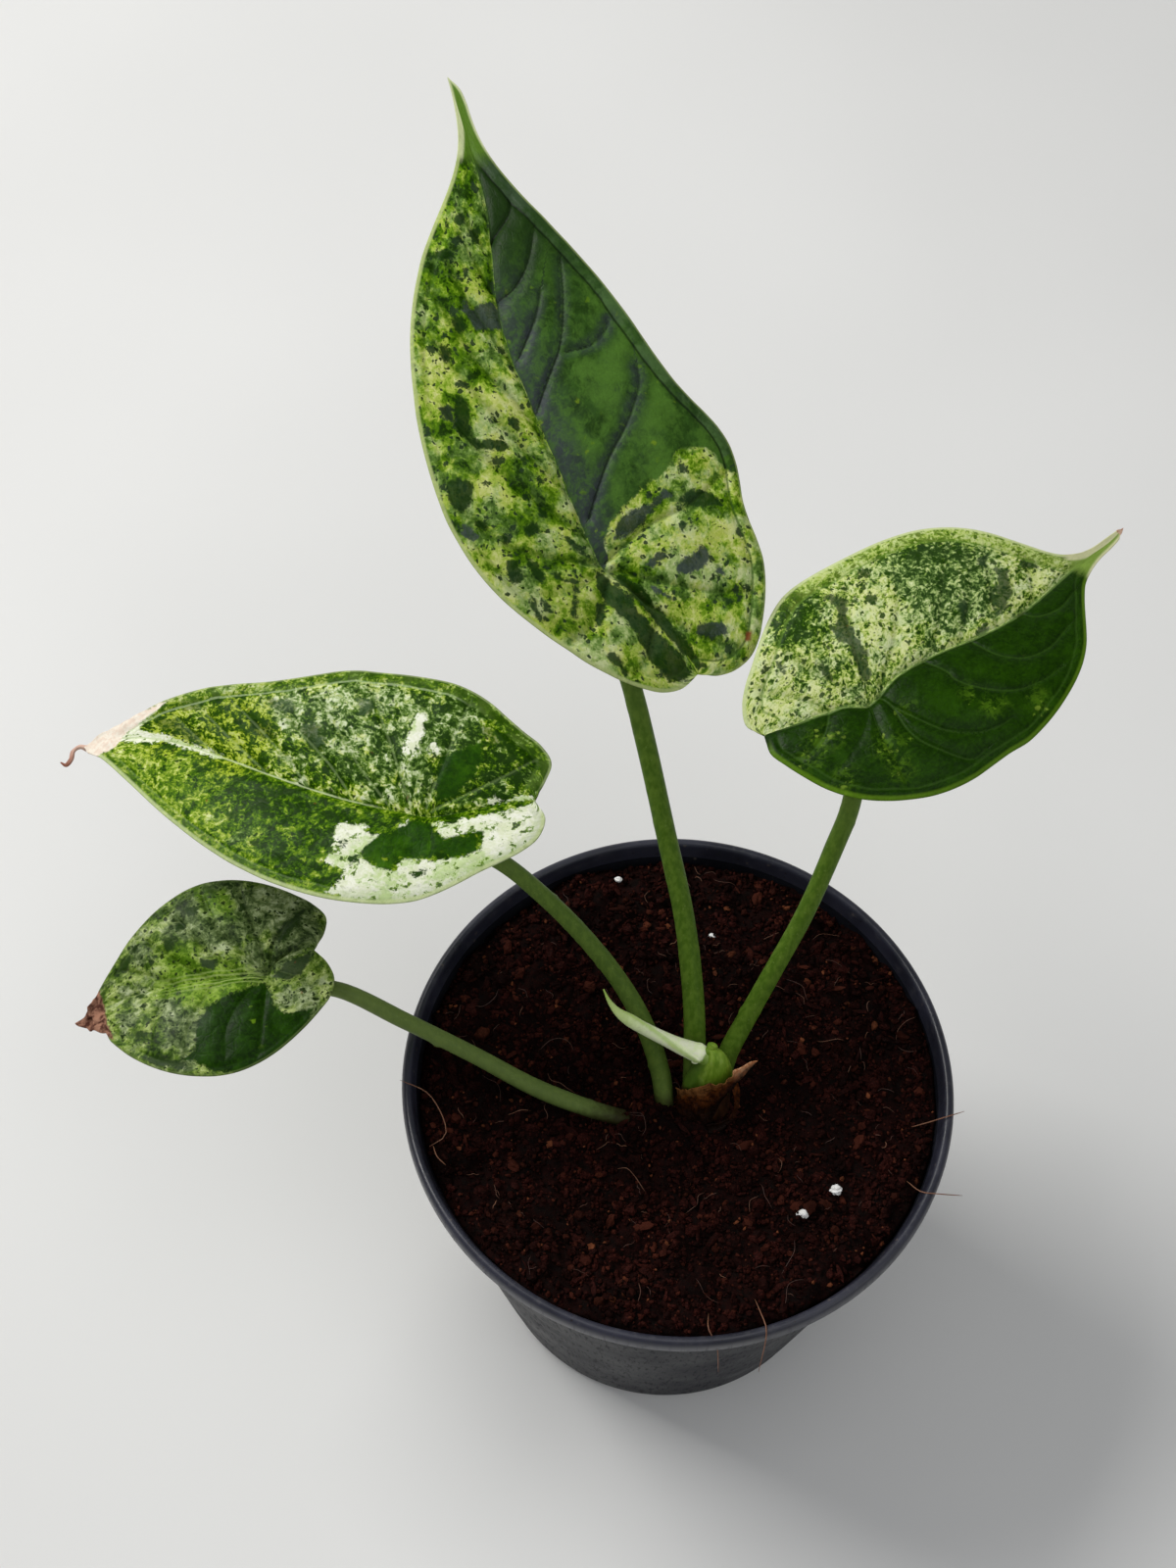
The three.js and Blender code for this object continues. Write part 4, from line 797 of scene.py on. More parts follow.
    el, er = edge_points(0, 2), edge_points(nc - 1, nc - 3)
    verts = np.vstack([G.reshape(-1, 3), B.reshape(-1, 3), el, er])
    el_ids = np.arange(nr) + 2 * nr * nc
    er_ids = el_ids + nr
    faces, fmat, uvv, uvf = [], [], [], []
    fx = flat.reshape(nr, nc, 2)
    across = length * look.get("across", 1.0)
    half_w = np.linalg.norm(xy[:, [0, -1]] - xy[:, [cols, cols]], axis=2)
    reach = [max(np.percentile(half_w[:, k], 62), 8.0) * look["stretch"][k] for k in (0, 1)]

    signs = [np.sign(le[:, 1].mean()), np.sign(ri[:, 1].mean())]

    def corner(i, j, right_side):
        k = 1 if right_side else 0
        return (t[i] * across + 300.0 * k, signs[k] * vv[j] * reach[k]), fx[i, j]

    flip = sign < 0

    def emit(ids_pts, mat):
        seen, out = [], []
        for vid, c in ids_pts:
            if vid not in seen:
                seen.append(vid)
                out.append((vid, c))
        if len(out) < 3:
            return
        if flip:
            out = out[::-1]
        faces.append([q[0] for q in out])
        fmat.append(mat)
        for _, (a, b) in out:
            uvv.append(a)
            uvf.append(b)

    for i in range(nr - 1):
        for j in range(nc - 1):
            rs = j >= cols
            c = [corner(i, j, rs), corner(i + 1, j, rs), corner(i + 1, j + 1, rs), corner(i, j + 1, rs)]
            q = [top_ids[i, j], top_ids[i + 1, j], top_ids[i + 1, j + 1], top_ids[i, j + 1]]
            emit(list(zip(q, c)), 0)
            q = [low_ids[i, j], low_ids[i, j + 1], low_ids[i + 1, j + 1], low_ids[i + 1, j]]
            emit(list(zip(q, [c[0], c[3], c[2], c[1]])), 1)
    for i in range(nr - 1):
        for e, col, rs in ((el_ids, 0, False), (er_ids, nc - 1, True)):
            c0, c1 = corner(i, col, rs), corner(i + 1, col, rs)
            tq = [(e[i], c0), (e[i + 1], c1), (top_ids[i + 1, col], c1), (top_ids[i, col], c0)]
            bq = [(low_ids[i, col], c0), (low_ids[i + 1, col], c1), (e[i + 1], c1), (e[i], c0)]
            if rs:
                tq, bq = tq[::-1], bq[::-1]
            emit(tq, 0)
            emit(bq, 0)

    def rep(a):
        a = np.asarray(a, float)
        g = a.reshape(nr, nc)
        return np.r_[a, a, g[:, 0], g[:, -1]]

    attrs = {"wide": rep(wide), "rim": rep(d_rim), "mid": rep(d_mid), "midpos": rep(s_mid), "veind": rep(d_vein), "veint": rep(t_vein), "side": rep(sidef), "ax": rep(x), "veinu": rep(vein_u), "veing": rep(vein_g), "loopd": rep(loop_d)}
    xyf = flat + 0.0
    for kind in ("dark", "isle", "teal", "lush", "pale", "white", "grey", "lime", "dry", "fleck", "dot"):
        sd = np.full(len(flat), -8.0)
        for number, poly in enumerate(marks["regions"].get(kind, [])):
            one = area_distance(xyf, poly)
            if kind == "dark" and number == 0 and look.get("half"):
                # this area ends exactly on the midrib
                one = np.where((sidef > 0.5) & (one > -1.8) & (d_mid < 2.2), np.maximum(one, 0.8), one)
                if look.get("half_rim"):
                    # and runs on to the margin
                    one = np.where((sidef > 0.5) & (d_rim < look["half_rim"]) & (one > -4.5), np.maximum(one, 1.6), one)
                one = np.where(sidef < 0.5, np.minimum(one, -1.2 - d_mid), one)
            sd = np.maximum(sd, one)
        for cx, cy, cr in look.get(kind + "_spots", []):
            sd = np.maximum(sd, cr - np.hypot(x - cx, y - cy))
        attrs["sd_" + kind] = rep(np.clip(sd, -8, 8))
    attrs["dry"] = rep(sstep(length - look["dry"][0], length - look["dry"][1], x))
    used = np.unique(np.concatenate([np.asarray(f) for f in faces]))
    back_to = -np.ones(len(verts), int)
    back_to[used] = np.arange(len(used))
    faces = [[back_to[k] for k in f] for f in faces]
    attrs = {k: a[used] for k, a in attrs.items()}
    ob = add_mesh(name, verts[used], faces, [top_mat, under_mat], fmat,
                  {"vein": np.asarray(uvv) / 100.0, "flat": np.asarray(uvf) / 100.0}, attrs)
    return ob


def leaf_material(name, look, under=False):
    n = Net(name)
    col = look["colours"]
    flat = n.uv("flat")
    # plain coordinates drawn a little along the side veins, so that the marbling runs with them
    grain = look.get("grain", 0.22)
    p = n.vec("ADD", n.vec("ADD", n.vec("SCALE", flat, scale=1.0 - grain), n.vec("SCALE", n.uv("vein"), scale=grain)), (look["seed"] * 13.7, look["seed"] * 7.1, look["seed"] * 3.3))

    def shifted(v, k):
        return n.vec("ADD", v, (k * 17.3, k * 11.9, k * 5.7))

    warp = n.vec("SCALE", n.vec("SUBTRACT", n.noise(p, 0.38, 3.0, 0.6, colour=True), (0.5, 0.5, 0.5)), scale=look.get("warp", 3.0))
    q = n.vec("ADD", p, warp)
    tone = n.noise(q, look.get("tone_scale", 0.13), 4.0, 0.6)
    mott = n.noise(shifted(q, 1), look.get("mott_scale", 0.24), 8.0, look.get("mott_rough", 0.70))
    limey = n.noise(shifted(q, 2), look.get("lime_scale", 0.16), 6.0, 0.68)
    wob = n.noise(shifted(q, 3), 0.55, 5.0, 0.70)
    fine = n.noise(q, 2.4, 3.0, 0.6)
    side = n.attr("side")

    def per_side(key, default=0.0):
        v = look.get(key, (default, default))
        return v[0] if v[0] == v[1] else n.ramp(side, 0.45, 0.55, v[0], v[1], smooth=False)

    def area(kind, gain=3.6):
        return n.ramp(n.add(n.attr("sd_" + kind), n.mul(n.sub(wob, 0.5), gain), n.mul(n.sub(fine, 0.5), 0.7)), -0.3, 0.3)

    def soft_area(kind):
        return n.ramp(n.add(n.attr("sd_" + kind), n.mul(n.sub(wob, 0.5), 6.0)), -2.2, 2.2)

    solid, white, dry_area, fleck_area = area("dark", look.get("dark_gain", 3.6)), area("white", look.get("white_gain", 3.0)), area("dry", 2.2), soft_area("fleck")
    pale, grey, lime, lush = soft_area("pale"), soft_area("grey"), soft_area("lime"), soft_area("lush")
    isle, teal_a, dot = area("isle", look.get("isle_gain", 3.4)), area("teal", look.get("isle_gain", 3.4)), area("dot", 0.9)
    mid_d, vein_t, rim_d = n.attr("mid"), n.attr("veint"), n.attr("rim")
    vu = n.attr("veinu")
    vein_d = n.math("MINIMUM", n.mul(n.math("ABSOLUTE", n.sub(vu, n.math("ROUND", vu))), n.attr("veing")), n.attr("loopd"))

    # marbled tissue: a fractal field read through two rows of tones, a warm one and a cool one
    small = n.noise(shifted(q, 10), look.get("mott_scale", 0.24) * 3.1, 5.0, 0.66)
    chill = n.ramp(n.add(limey, n.mul(grey, 0.14), n.mul(lime, -0.2), per_side("chill")), 0.44, 0.58)
    swing = n.add(n.mul(n.sub(mott, 0.5), look.get("gain", 2.6)), n.mul(n.sub(small, 0.5), look.get("gain_small", 1.3)), n.mul(n.sub(tone, 0.5), look.get("gain_tone", 1.3)),
                  n.mul(n.sub(n.noise(shifted(q, 11), 1.5, 4.0, 0.66), 0.5), look.get("gain_fine", 0.9)))
    level = n.add(0.5, n.mul(swing, per_side("calm", 1.0)), n.mul(n.sub(chill, 0.5), look.get("chill_lift", 0.0)),
                  n.mul(pale, 0.22), n.mul(n.math("MAXIMUM", n.mul(lush, look.get("lush_push", 0.20)), n.mul(grey, look.get("grey_push", 0.0))), -1.0), n.mul(lime, -0.03), per_side("bias"),
                  n.mul(n.sub(n.attr("ax"), look.get("slope", (0, 0))[1]), look.get("slope", (0, 0))[0]))
    warm, cool = n.tones(level, look["warm"]), n.tones(level, look["cool"])
    c = n.mix(chill, warm, cool)
    c = n.mix(n.mul(lime, 0.6), c, n.mix(n.ramp(level, look.get("lime_ramp", (0.35, 0.7))[0], look.get("lime_ramp", (0.35, 0.7))[1]), col.get("lime0", col["lime2"]), col["lime"]))
    yellow = n.mul(n.ramp(n.noise(shifted(q, 12), look.get("mott_scale", 0.24) * 1.3, 5.0, 0.68), 0.54, 0.62), n.ramp(level, 0.45, 0.65))
    c = n.mix(n.mul(yellow, look.get("yellow", 0.5)), c, col["yellow"])
    blot = n.noise(shifted(q, 13), 0.62, 5.0, 0.68)
    white_c = n.mix(n.ramp(n.add(mott, n.mul(n.sub(small, 0.5), 0.8)), 0.40, 0.60), col["white2"], col["white"])
    wash = n.ramp(n.add(n.noise(shifted(q, 14), 0.16, 4.0, 0.62), n.mul(n.sub(small, 0.5), 0.5)), 0.50, 0.62)
    white_c = n.mix(n.mul(wash, 0.75), white_c, lin(178, 204, 126))
    white_c = n.mix(n.mul(n.ramp(blot, 0.565, 0.595), 0.92), white_c, n.mix(n.ramp(blot, 0.595, 0.66), col["lime2"], col["dark"]))
    c = n.mix(white, c, white_c)

    # dark islands of a few millimetres, and small dark specks
    def islands(k, scale, size0, size1, density, rough, soft=0.04):
        v = n.voronoi(shifted(q, k), scale)
        r, g, b = n.split(v.outputs["Color"])
        d = n.add(v.outputs["Distance"], n.mul(n.sub(wob, 0.5), rough), n.mul(n.sub(fine, 0.5), rough * 0.6))
        size = n.add(n.mul(g, size1), size0)
        inside = n.ramp(n.sub(d, size), soft, -soft)
        return n.mul(inside, n.ramp(n.sub(r, density), 0.01, -0.01)), b

    keep = n.math("SUBTRACT", 1.0, n.mul(white, 0.7))
    keep2 = n.math("SUBTRACT", 1.0, n.mul(white, 0.8))
    big_m, big_b = islands(4, look.get("island_scale", 0.30), 0.10, 0.26, n.mul(n.add(per_side("islands", 0.3), n.mul(n.sub(tone, 0.5), -1.2)), keep), 0.9)
    island_c = n.mix(n.ramp(big_b, 0.3, 0.7), col["dark"], col["dark2"])
    c = n.mix(n.mul(big_m, 0.92), c, island_c)
    spk_m, spk_b = islands(5, look.get("speck_scale", 0.80), look.get("speck_size", 0.12), 0.22, n.add(per_side("specks", 0.4), n.mul(n.sub(mott, 0.5), 1.5)), 0.8)
    c = n.mix(n.mul(n.mul(spk_m, 0.93), keep2), c, n.mix(n.ramp(spk_b, 0.3, 0.8), col["speck"], col["dark2"]))
    tiny_m, tiny_b = islands(6, 1.7, 0.10, 0.18, n.mul(per_side("specks", 0.4), 0.7), 0.7)
    c = n.mix(n.mul(n.mul(tiny_m, 0.75), keep2), c, col["speck"])

    # islands drawn one by one: dark green ones and blue-grey ones
    c = n.mix(n.mul(isle, n.math("MAXIMUM", look.get("isle_mix", 0.95), white)), c, n.mix(n.ramp(n.add(tone, n.mul(n.sub(fine, 0.5), 0.3)), 0.42, 0.58), col["isle"], col["isle2"]))
    c = n.mix(n.mul(teal_a, look.get("isle_mix", 0.95)), c, n.mix(n.ramp(n.add(limey, n.mul(n.sub(fine, 0.5), 0.3)), 0.40, 0.60), col["slate"], col["slate2"]))

    # solid green areas: blue-grey sheen along the ribs, brighter green between them, a few pale flecks
    sheen = n.add(n.mul(n.ramp(mid_d, look.get("sheen_w", 8.0), 0.8), look.get("sheen_rib", 0.8)),
                  n.mul(n.ramp(vein_d, 2.6, 0.3), look.get("sheen_vein", 0.5)), n.mul(n.sub(tone, 0.5), 1.2), look.get("sheen", 0.0))
    sheen = n.mul(sheen, n.ramp(n.attr("ax"), look.get("sheen_to", (900, 901))[0], look.get("sheen_to", (900, 901))[1], 1.0, 0.35))
    sheen = n.math("MULTIPLY", sheen, 1.0, clamp=True)
    inner = n.mul(n.ramp(vein_d, 0.8, 4.2), n.ramp(mid_d, 2.0, 8.0))
    haze = n.mul(n.mul(inner, n.ramp(n.add(limey, n.mul(n.sub(tone, 0.5), 0.8)), 0.40, 0.62)), look.get("haze", 0.6))
    sol = n.mix(sheen, n.mix(n.ramp(mott, 0.4, 0.6), col["solid"], col["solid2"]), col["teal"])
    sol = n.mix(haze, sol, col["haze"])
    fl_m, fl_b = islands(7, 0.8, 0.12, 0.26, n.add(look.get("flecks", 0.03), n.mul(fleck_area, 0.7)), 1.1, 0.16)
    sol = n.mix(n.mul(fl_m, look.get("fleck_mix", 0.75)), sol, n.mix(fl_b, col["lime2"], col["lime"]))
    fl_n = n.mul(n.ramp(n.add(mott, n.mul(n.sub(small, 0.5), 0.6)), 0.44, 0.62), fleck_area)
    sol = n.mix(n.mul(fl_n, look.get("cloud_mix", 0.75)), sol, col["lime2"])
    sol = n.mix(n.mul(n.ramp(small, 0.42, 0.66), look.get("solid_var", 0.3)), sol, col["haze"])
    if "sol_dark" in look:
        sol = n.mix(n.ramp(n.attr("ax"), look["sol_dark"][0], look["sol_dark"][1], 0.0, look["sol_dark"][2]), sol, col["sol_dark"])
    c = n.mix(solid, c, sol)

    # small reddish marks
    red_m, red_b = islands(8, 0.16, 0.012, 0.03, 0.5, 0.06)
    c = n.mix(n.mul(red_m, 0.85), c, lin(120, 52, 34))

    # ribs and side veins
    vw = look.get("line_w", 0.42)
    line = n.mul(n.mul(n.ramp(n.add(vein_d, n.mul(n.sub(wob, 0.5), 0.4)), vw, vw * 0.2), n.ramp(vein_t, 0.3, 1.0, 1.0, 0.45, smooth=False)), per_side("line_mix", 1.0))
    shade = n.mul(n.mul(n.ramp(vein_d, 1.6, 0.1), n.ramp(n.attr("rim"), 0.5, 3.0)), per_side("vein_shade", 0.25))
    c = n.mix(n.mul(shade, n.math("SUBTRACT", 1.0, solid)), c, n.mix(1.0, c, (0.35, 0.42, 0.25, 1), "MULTIPLY"))
    vein_c = n.mix(solid, col["vein_light"], col["vein_dark"])
    c = n.mix(n.mul(line, n.ramp(solid, 0.0, 1.0, look.get("vein_mix", (0.35, 0.8))[0], look.get("vein_mix", (0.35, 0.8))[1], smooth=False)), c, vein_c)
    rib_w = look.get("rib_w", 0.55)
    rib_e = n.add(rib_w, n.mul(n.sub(wob, 0.5), 0.5))
    rib = n.mul(n.ramp(n.sub(mid_d, rib_e), 0.0, -0.3), n.ramp(n.attr("midpos"), look.get("rib_from", 0.0), look.get("rib_from", 0.0) + 0.12))
    if "rib_lines" in look:
        for off, amt in look["rib_lines"]:
            ln_ = n.mul(n.ramp(n.math("ABSOLUTE", n.sub(mid_d, n.add(off, n.mul(n.sub(tone, 0.5), 1.2)))), 0.26, 0.08), n.mul(n.ramp(n.attr("ax"), 28.0, 12.0, 0.0, amt), n.ramp(n.attr("ax"), -0.5, 3.0)))
            c = n.mix(ln_, c, col["rib"])
    c = n.mix(n.mul(rib, look.get("rib_mix", 0.5)), c, col["rib"])
    wide = n.attr("wide")
    # outer band, the vein that runs inside it, and the thin pale edge
    cw = n.ramp(side, 0.45, 0.55, look["collect"][0], look["collect"][1], smooth=False)
    band = n.mul(n.ramp(n.sub(rim_d, cw), 0.25, -0.25), wide)
    band = n.mul(band, n.ramp(n.add(n.attr("midpos"), n.mul(n.sub(wob, 0.5), 0.12)), look.get("band_from", -1.0), look.get("band_from", -1.0) + 0.05))
    c = n.mix(n.mul(band, per_side("band_mix")), c, n.mix(n.ramp(limey, 0.42, 0.58), col["band"], col["band2"]))
    cl = n.mul(n.mul(n.ramp(n.math("ABSOLUTE", n.sub(rim_d, n.add(cw, n.mul(n.sub(tone, 0.5), 1.4)))), 0.34, 0.1), wide), n.ramp(n.attr("ax"), look.get("collect_from", (-90, -89))[0], look.get("collect_from", (-90, -89))[1]))
    c = n.mix(n.mul(cl, per_side("collect_mix")), c, n.mix(solid, col["collect"], col["vein_dark"]))
    rw = n.ramp(side, 0.45, 0.55, look["rim_w"][0], look["rim_w"][1], smooth=False)
    edge = n.ramp(n.math("DIVIDE", n.add(rim_d, n.mul(n.sub(wob, 0.5), 0.25)), rw), 1.15, 0.5)
    rim_c = n.mix(n.ramp(side, 0.45, 0.55), col["rim"], col["rim_right"]) if "rim_right" in col else col["rim"]
    c = n.mix(n.mul(n.mul(edge, wide), per_side("rim_mix", 0.7)), c, rim_c)
    # drawn-out tip
    tip = n.mul(n.ramp(n.add(wide, n.mul(n.sub(wob, 0.5), 0.6)), 0.9, 0.35), n.ramp(n.attr("midpos"), 0.6, 0.8))
    c = n.mix(n.mul(tip, look.get("tip_mix", 0.75)), c, n.mix(n.ramp(n.sub(rim_d, per_side("tip_edge", 0.4)), -0.3, 0.3), col["tip_rim"], col["tip"]))
    # fine grain of the tissue
    c = n.mix(0.22, c, n.mix(n.ramp(fine, 0.3, 0.7), (0.34, 0.34, 0.34, 1), (0.68, 0.68, 0.68, 1)), "OVERLAY")
    c = n.mix(0.15, c, n.mix(n.ramp(wob, 0.36, 0.64), (0.30, 0.31, 0.30, 1), (0.70, 0.69, 0.70, 1)), "OVERLAY")
    c = n.mix(n.mul(dot, 0.9), c, lin(128, 58, 34))
    # dried parts
    dn = n.noise(flat, 0.8, 4.0, 0.66)
    dry_c = n.mix(n.ramp(dn, 0.40, 0.60), look["dry_cols"][0], look["dry_cols"][1])
    dry = n.math("MAXIMUM", dry_area, n.ramp(n.add(n.attr("dry"), n.mul(n.sub(dn, 0.5), 0.8)), 0.42, 0.6))
    c = n.mix(dry, c, dry_c)
    if under:
        # duller and paler below, with the pattern showing through and raised pale ribs
        c = n.mix(0.6, c, look.get("under", lin(98, 122, 72)))
        c = n.mix(n.mul(n.ramp(mid_d, 1.7, 0.9), 0.7), c, lin(118, 142, 84))
        c = n.mix(n.mul(n.ramp(vein_d, 0.9, 0.3), 0.45), c, lin(124, 146, 92))
        c = n.mix(n.mul(dry, 0.8), c, dry_c)
    # relief finer than the mesh: the net of small veins and a soft grain
    net = n.voronoi(shifted(p, 9), 0.55, "DISTANCE_TO_EDGE")
    net_h = n.ramp(net.outputs["Distance"], 0.0, 0.16)
    crinkle = n.mul(n.noise(flat, 1.1, 5.0, 0.7), n.mul(dry, look.get("crinkle", 3.0)))
    cut = n.mul(n.mul(n.ramp(vein_d, 0.75, 0.0), n.ramp(rim_d, 0.5, 3.0)), n.mul(per_side("vein_cut", 1.0), -2.0))
    hgt = n.add(n.mul(net_h, 0.22), n.mul(tone, 1.2), n.mul(wob, 0.6), n.mul(fine, 0.25), crinkle, cut)
    normal = n.bump(hgt, 0.17, 0.5)
    if under:
        return n.shader(c, n.ramp(fine, 0.3, 0.7, 0.55, 0.68), normal, Specular_IOR_Level=0.07)
    rough = n.add(n.ramp(wob, 0.35, 0.65, look["rough"][0], look["rough"][1]), n.mul(dry, 0.3))
    return n.shader(c, rough, normal, Specular_IOR_Level=look.get("spec", 0.08))


# ------------------------------------------------------------------ tubes and stalks
def spline(points, n):
    """Even steps along a smooth curve through points (any number of columns)."""
    p = np.asarray(points, float)
    dense = along_n(p, np.linspace(0, 1, 60 * len(p)))
    cl = np.r_[0, np.cumsum(np.linalg.norm(np.diff(dense[:, :3], axis=0), axis=1))]
    s = np.linspace(0, cl[-1], n)
    return np.stack([np.interp(s, cl, dense[:, k]) for k in range(dense.shape[1])], axis=1)


def along_n(p, t):
    """Centripetal Catmull-Rom through p."""
    n = len(p)
    q = np.vstack([2 * p[0] - p[1], p, 2 * p[-1] - p[-2]])
    k = np.r_[0, np.cumsum(np.sqrt(np.linalg.norm(np.diff(q[:, :3], axis=0), axis=1)) + 1e-9)]
    u = np.clip(t, 0, 1) * (n - 1)
    i = np.clip(u.astype(int), 0, n - 2)
    f = u - i
    k0, k1, k2, k3 = k[i], k[i + 1], k[i + 2], k[i + 3]
    x = (k1 + f * (k2 - k1))[:, None]
    k0, k1, k2, k3 = (a[:, None] for a in (k0, k1, k2, k3))
    p0, p1, p2, p3 = q[i], q[i + 1], q[i + 2], q[i + 3]
    a1 = (k1 - x) / (k1 - k0) * p0 + (x - k0) / (k1 - k0) * p1
    a2 = (k2 - x) / (k2 - k1) * p1 + (x - k1) / (k2 - k1) * p2
    a3 = (k3 - x) / (k3 - k2) * p2 + (x - k2) / (k3 - k2) * p3
    b1 = (k2 - x) / (k2 - k0) * a1 + (x - k0) / (k2 - k0) * a2
    b2 = (k3 - x) / (k3 - k1) * a2 + (x - k1) / (k3 - k1) * a3
    return (k2 - x) / (k2 - k1) * b1 + (x - k1) / (k2 - k1) * b2


def frames(path):
    """Tangent and two turning-free normals along a path."""
    tan = np.gradient(path, axis=0)
    tan /= np.linalg.norm(tan, axis=1, keepdims=True)
    a = np.zeros_like(path)
    start = np.cross(tan[0], [1.0, 0.0, 0.0])
    if np.linalg.norm(start) < 0.2:
        start = np.cross(tan[0], [0.0, 1.0, 0.0])
    a[0] = unit(start)
    for i in range(1, len(path)):
        v = a[i - 1] - tan[i] * np.dot(a[i - 1], tan[i])
        a[i] = v / np.linalg.norm(v)
    return tan, a, np.cross(tan, a)


def tube(path, radius, sides, shape=None):
    """Closed tube. radius per ring; shape(ring, angle) multiplies it. Returns verts, faces, ring and angle of every vertex."""
    tan, a, b = frames(path)
    ang = np.linspace(0, 2 * np.pi, sides, endpoint=False)
    r = np.repeat(np.asarray(radius, float)[:, None], sides, axis=1)
    if shape is not None:
        r = r * shape(np.arange(len(path))[:, None], ang[None, :])
    v = path[:, None, :] + r[..., None] * (np.cos(ang)[None, :, None] * a[:, None, :] + np.sin(ang)[None, :, None] * b[:, None, :])
    verts = np.vstack([v.reshape(-1, 3), path[:1], path[-1:]])
    n = len(path)
    ids = np.arange(n * sides).reshape(n, sides)
    nxt = np.roll(ids, -1, axis=1)
    quads = np.stack([ids[:-1], nxt[:-1], nxt[1:], ids[1:]], axis=-1).reshape(-1, 4)
    faces = quads.tolist()
    c0, c1 = n * sides, n * sides + 1
    faces += [[c0, int(nxt[0, k]), int(ids[0, k])] for k in range(sides)]
    faces += [[c1, int(ids[-1, k]), int(nxt[-1, k])] for k in range(sides)]
    ring = np.r_[np.repeat(np.arange(n), sides), 0, n - 1] / (n - 1)
    angle = np.r_[np.tile(ang, n), 0, 0]
    return verts, faces, ring, angle


def tris_mesh(name, verts, tris, materials, attrs=None, smooth=True):
    me = bpy.data.meshes.new(name)
    v = np.asarray(verts, np.float32) * MM
    f = np.asarray(tris, np.int32)
    me.vertices.add(len(v))
    me.vertices.foreach_set("co", v.ravel())
    me.loops.add(len(f) * 3)
    me.loops.foreach_set("vertex_index", f.ravel())
    me.polygons.add(len(f))
    me.polygons.foreach_set("loop_start", np.arange(0, len(f) * 3, 3, dtype=np.int32))
    me.polygons.foreach_set("loop_total", np.full(len(f), 3, np.int32))
    me.polygons.foreach_set("use_smooth", np.full(len(f), smooth))
    for m in materials:
        me.materials.append(m)
    for key, val in (attrs or {}).items():
        at = me.attributes.new(key, "FLOAT", "POINT")
        at.data.foreach_set("value", np.asarray(val, np.float32))
    me.update(calc_edges=True)
    me.validate()
    ob = bpy.data.objects.new(name, me)
    bpy.context.scene.collection.objects.link(ob)
    return ob


def ico(level):
    """Unit icosphere."""
    g = (1 + 5 ** 0.5) / 2
    v = [(-1, g, 0), (1, g, 0), (-1, -g, 0), (1, -g, 0), (0, -1, g), (0, 1, g), (0, -1, -g), (0, 1, -g), (g, 0, -1), (g, 0, 1), (-g, 0, -1), (-g, 0, 1)]
    f = [(0, 11, 5), (0, 5, 1), (0, 1, 7), (0, 7, 10), (0, 10, 11), (1, 5, 9), (5, 11, 4), (11, 10, 2), (10, 7, 6), (7, 1, 8), (3, 9, 4), (3, 4, 2), (3, 2, 6), (3, 6, 8), (3, 8, 9), (4, 9, 5), (2, 4, 11), (6, 2, 10), (8, 6, 7), (9, 8, 1)]
    v = [unit(p) for p in v]
    for _ in range(level):
        mid, out = {}, []

        def half(a, b):
            key = (min(a, b), max(a, b))
            if key not in mid:
                mid[key] = len(v)
                v.append(unit(v[a] + v[b]))
            return mid[key]

        for a, b, c in f:
            ab, bc, ca = half(a, b), half(b, c), half(c, a)
            out += [(a, ab, ca), (b, bc, ab), (c, ca, bc), (ab, bc, ca)]
        f = out
    return np.array(v), np.array(f)


def random_turns(rng, n):
    q = rng.normal(size=(n, 4))
    q /= np.linalg.norm(q, axis=1, keepdims=True)
    w, x, y, z = q.T
    return np.stack([
        np.stack([1 - 2 * (y * y + z * z), 2 * (x * y - z * w), 2 * (x * z + y * w)], -1),
        np.stack([2 * (x * y + z * w), 1 - 2 * (x * x + z * z), 2 * (y * z - x * w)], -1),
        np.stack([2 * (x * z - y * w), 2 * (y * z + x * w), 1 - 2 * (x * x + y * y)], -1)], 1)


def scatter(rng, level, centres, sizes, rough, turns=None):
    """Irregular lumps. sizes n x 3."""
    v, f = ico(level)
    n = len(centres)
    lump = v[None] * (1 + rough * rng.uniform(-1, 1, (n, len(v), 1)))
    lump = lump * sizes[:, None, :]
    turns = random_turns(rng, n) if turns is None else turns
    lump = np.einsum("nij,nkj->nki", turns, lump) + centres[:, None, :]
    faces = f[None] + (np.arange(n) * len(v))[:, None, None]
    return lump.reshape(-1, 3), faces.reshape(-1, 3), len(v)


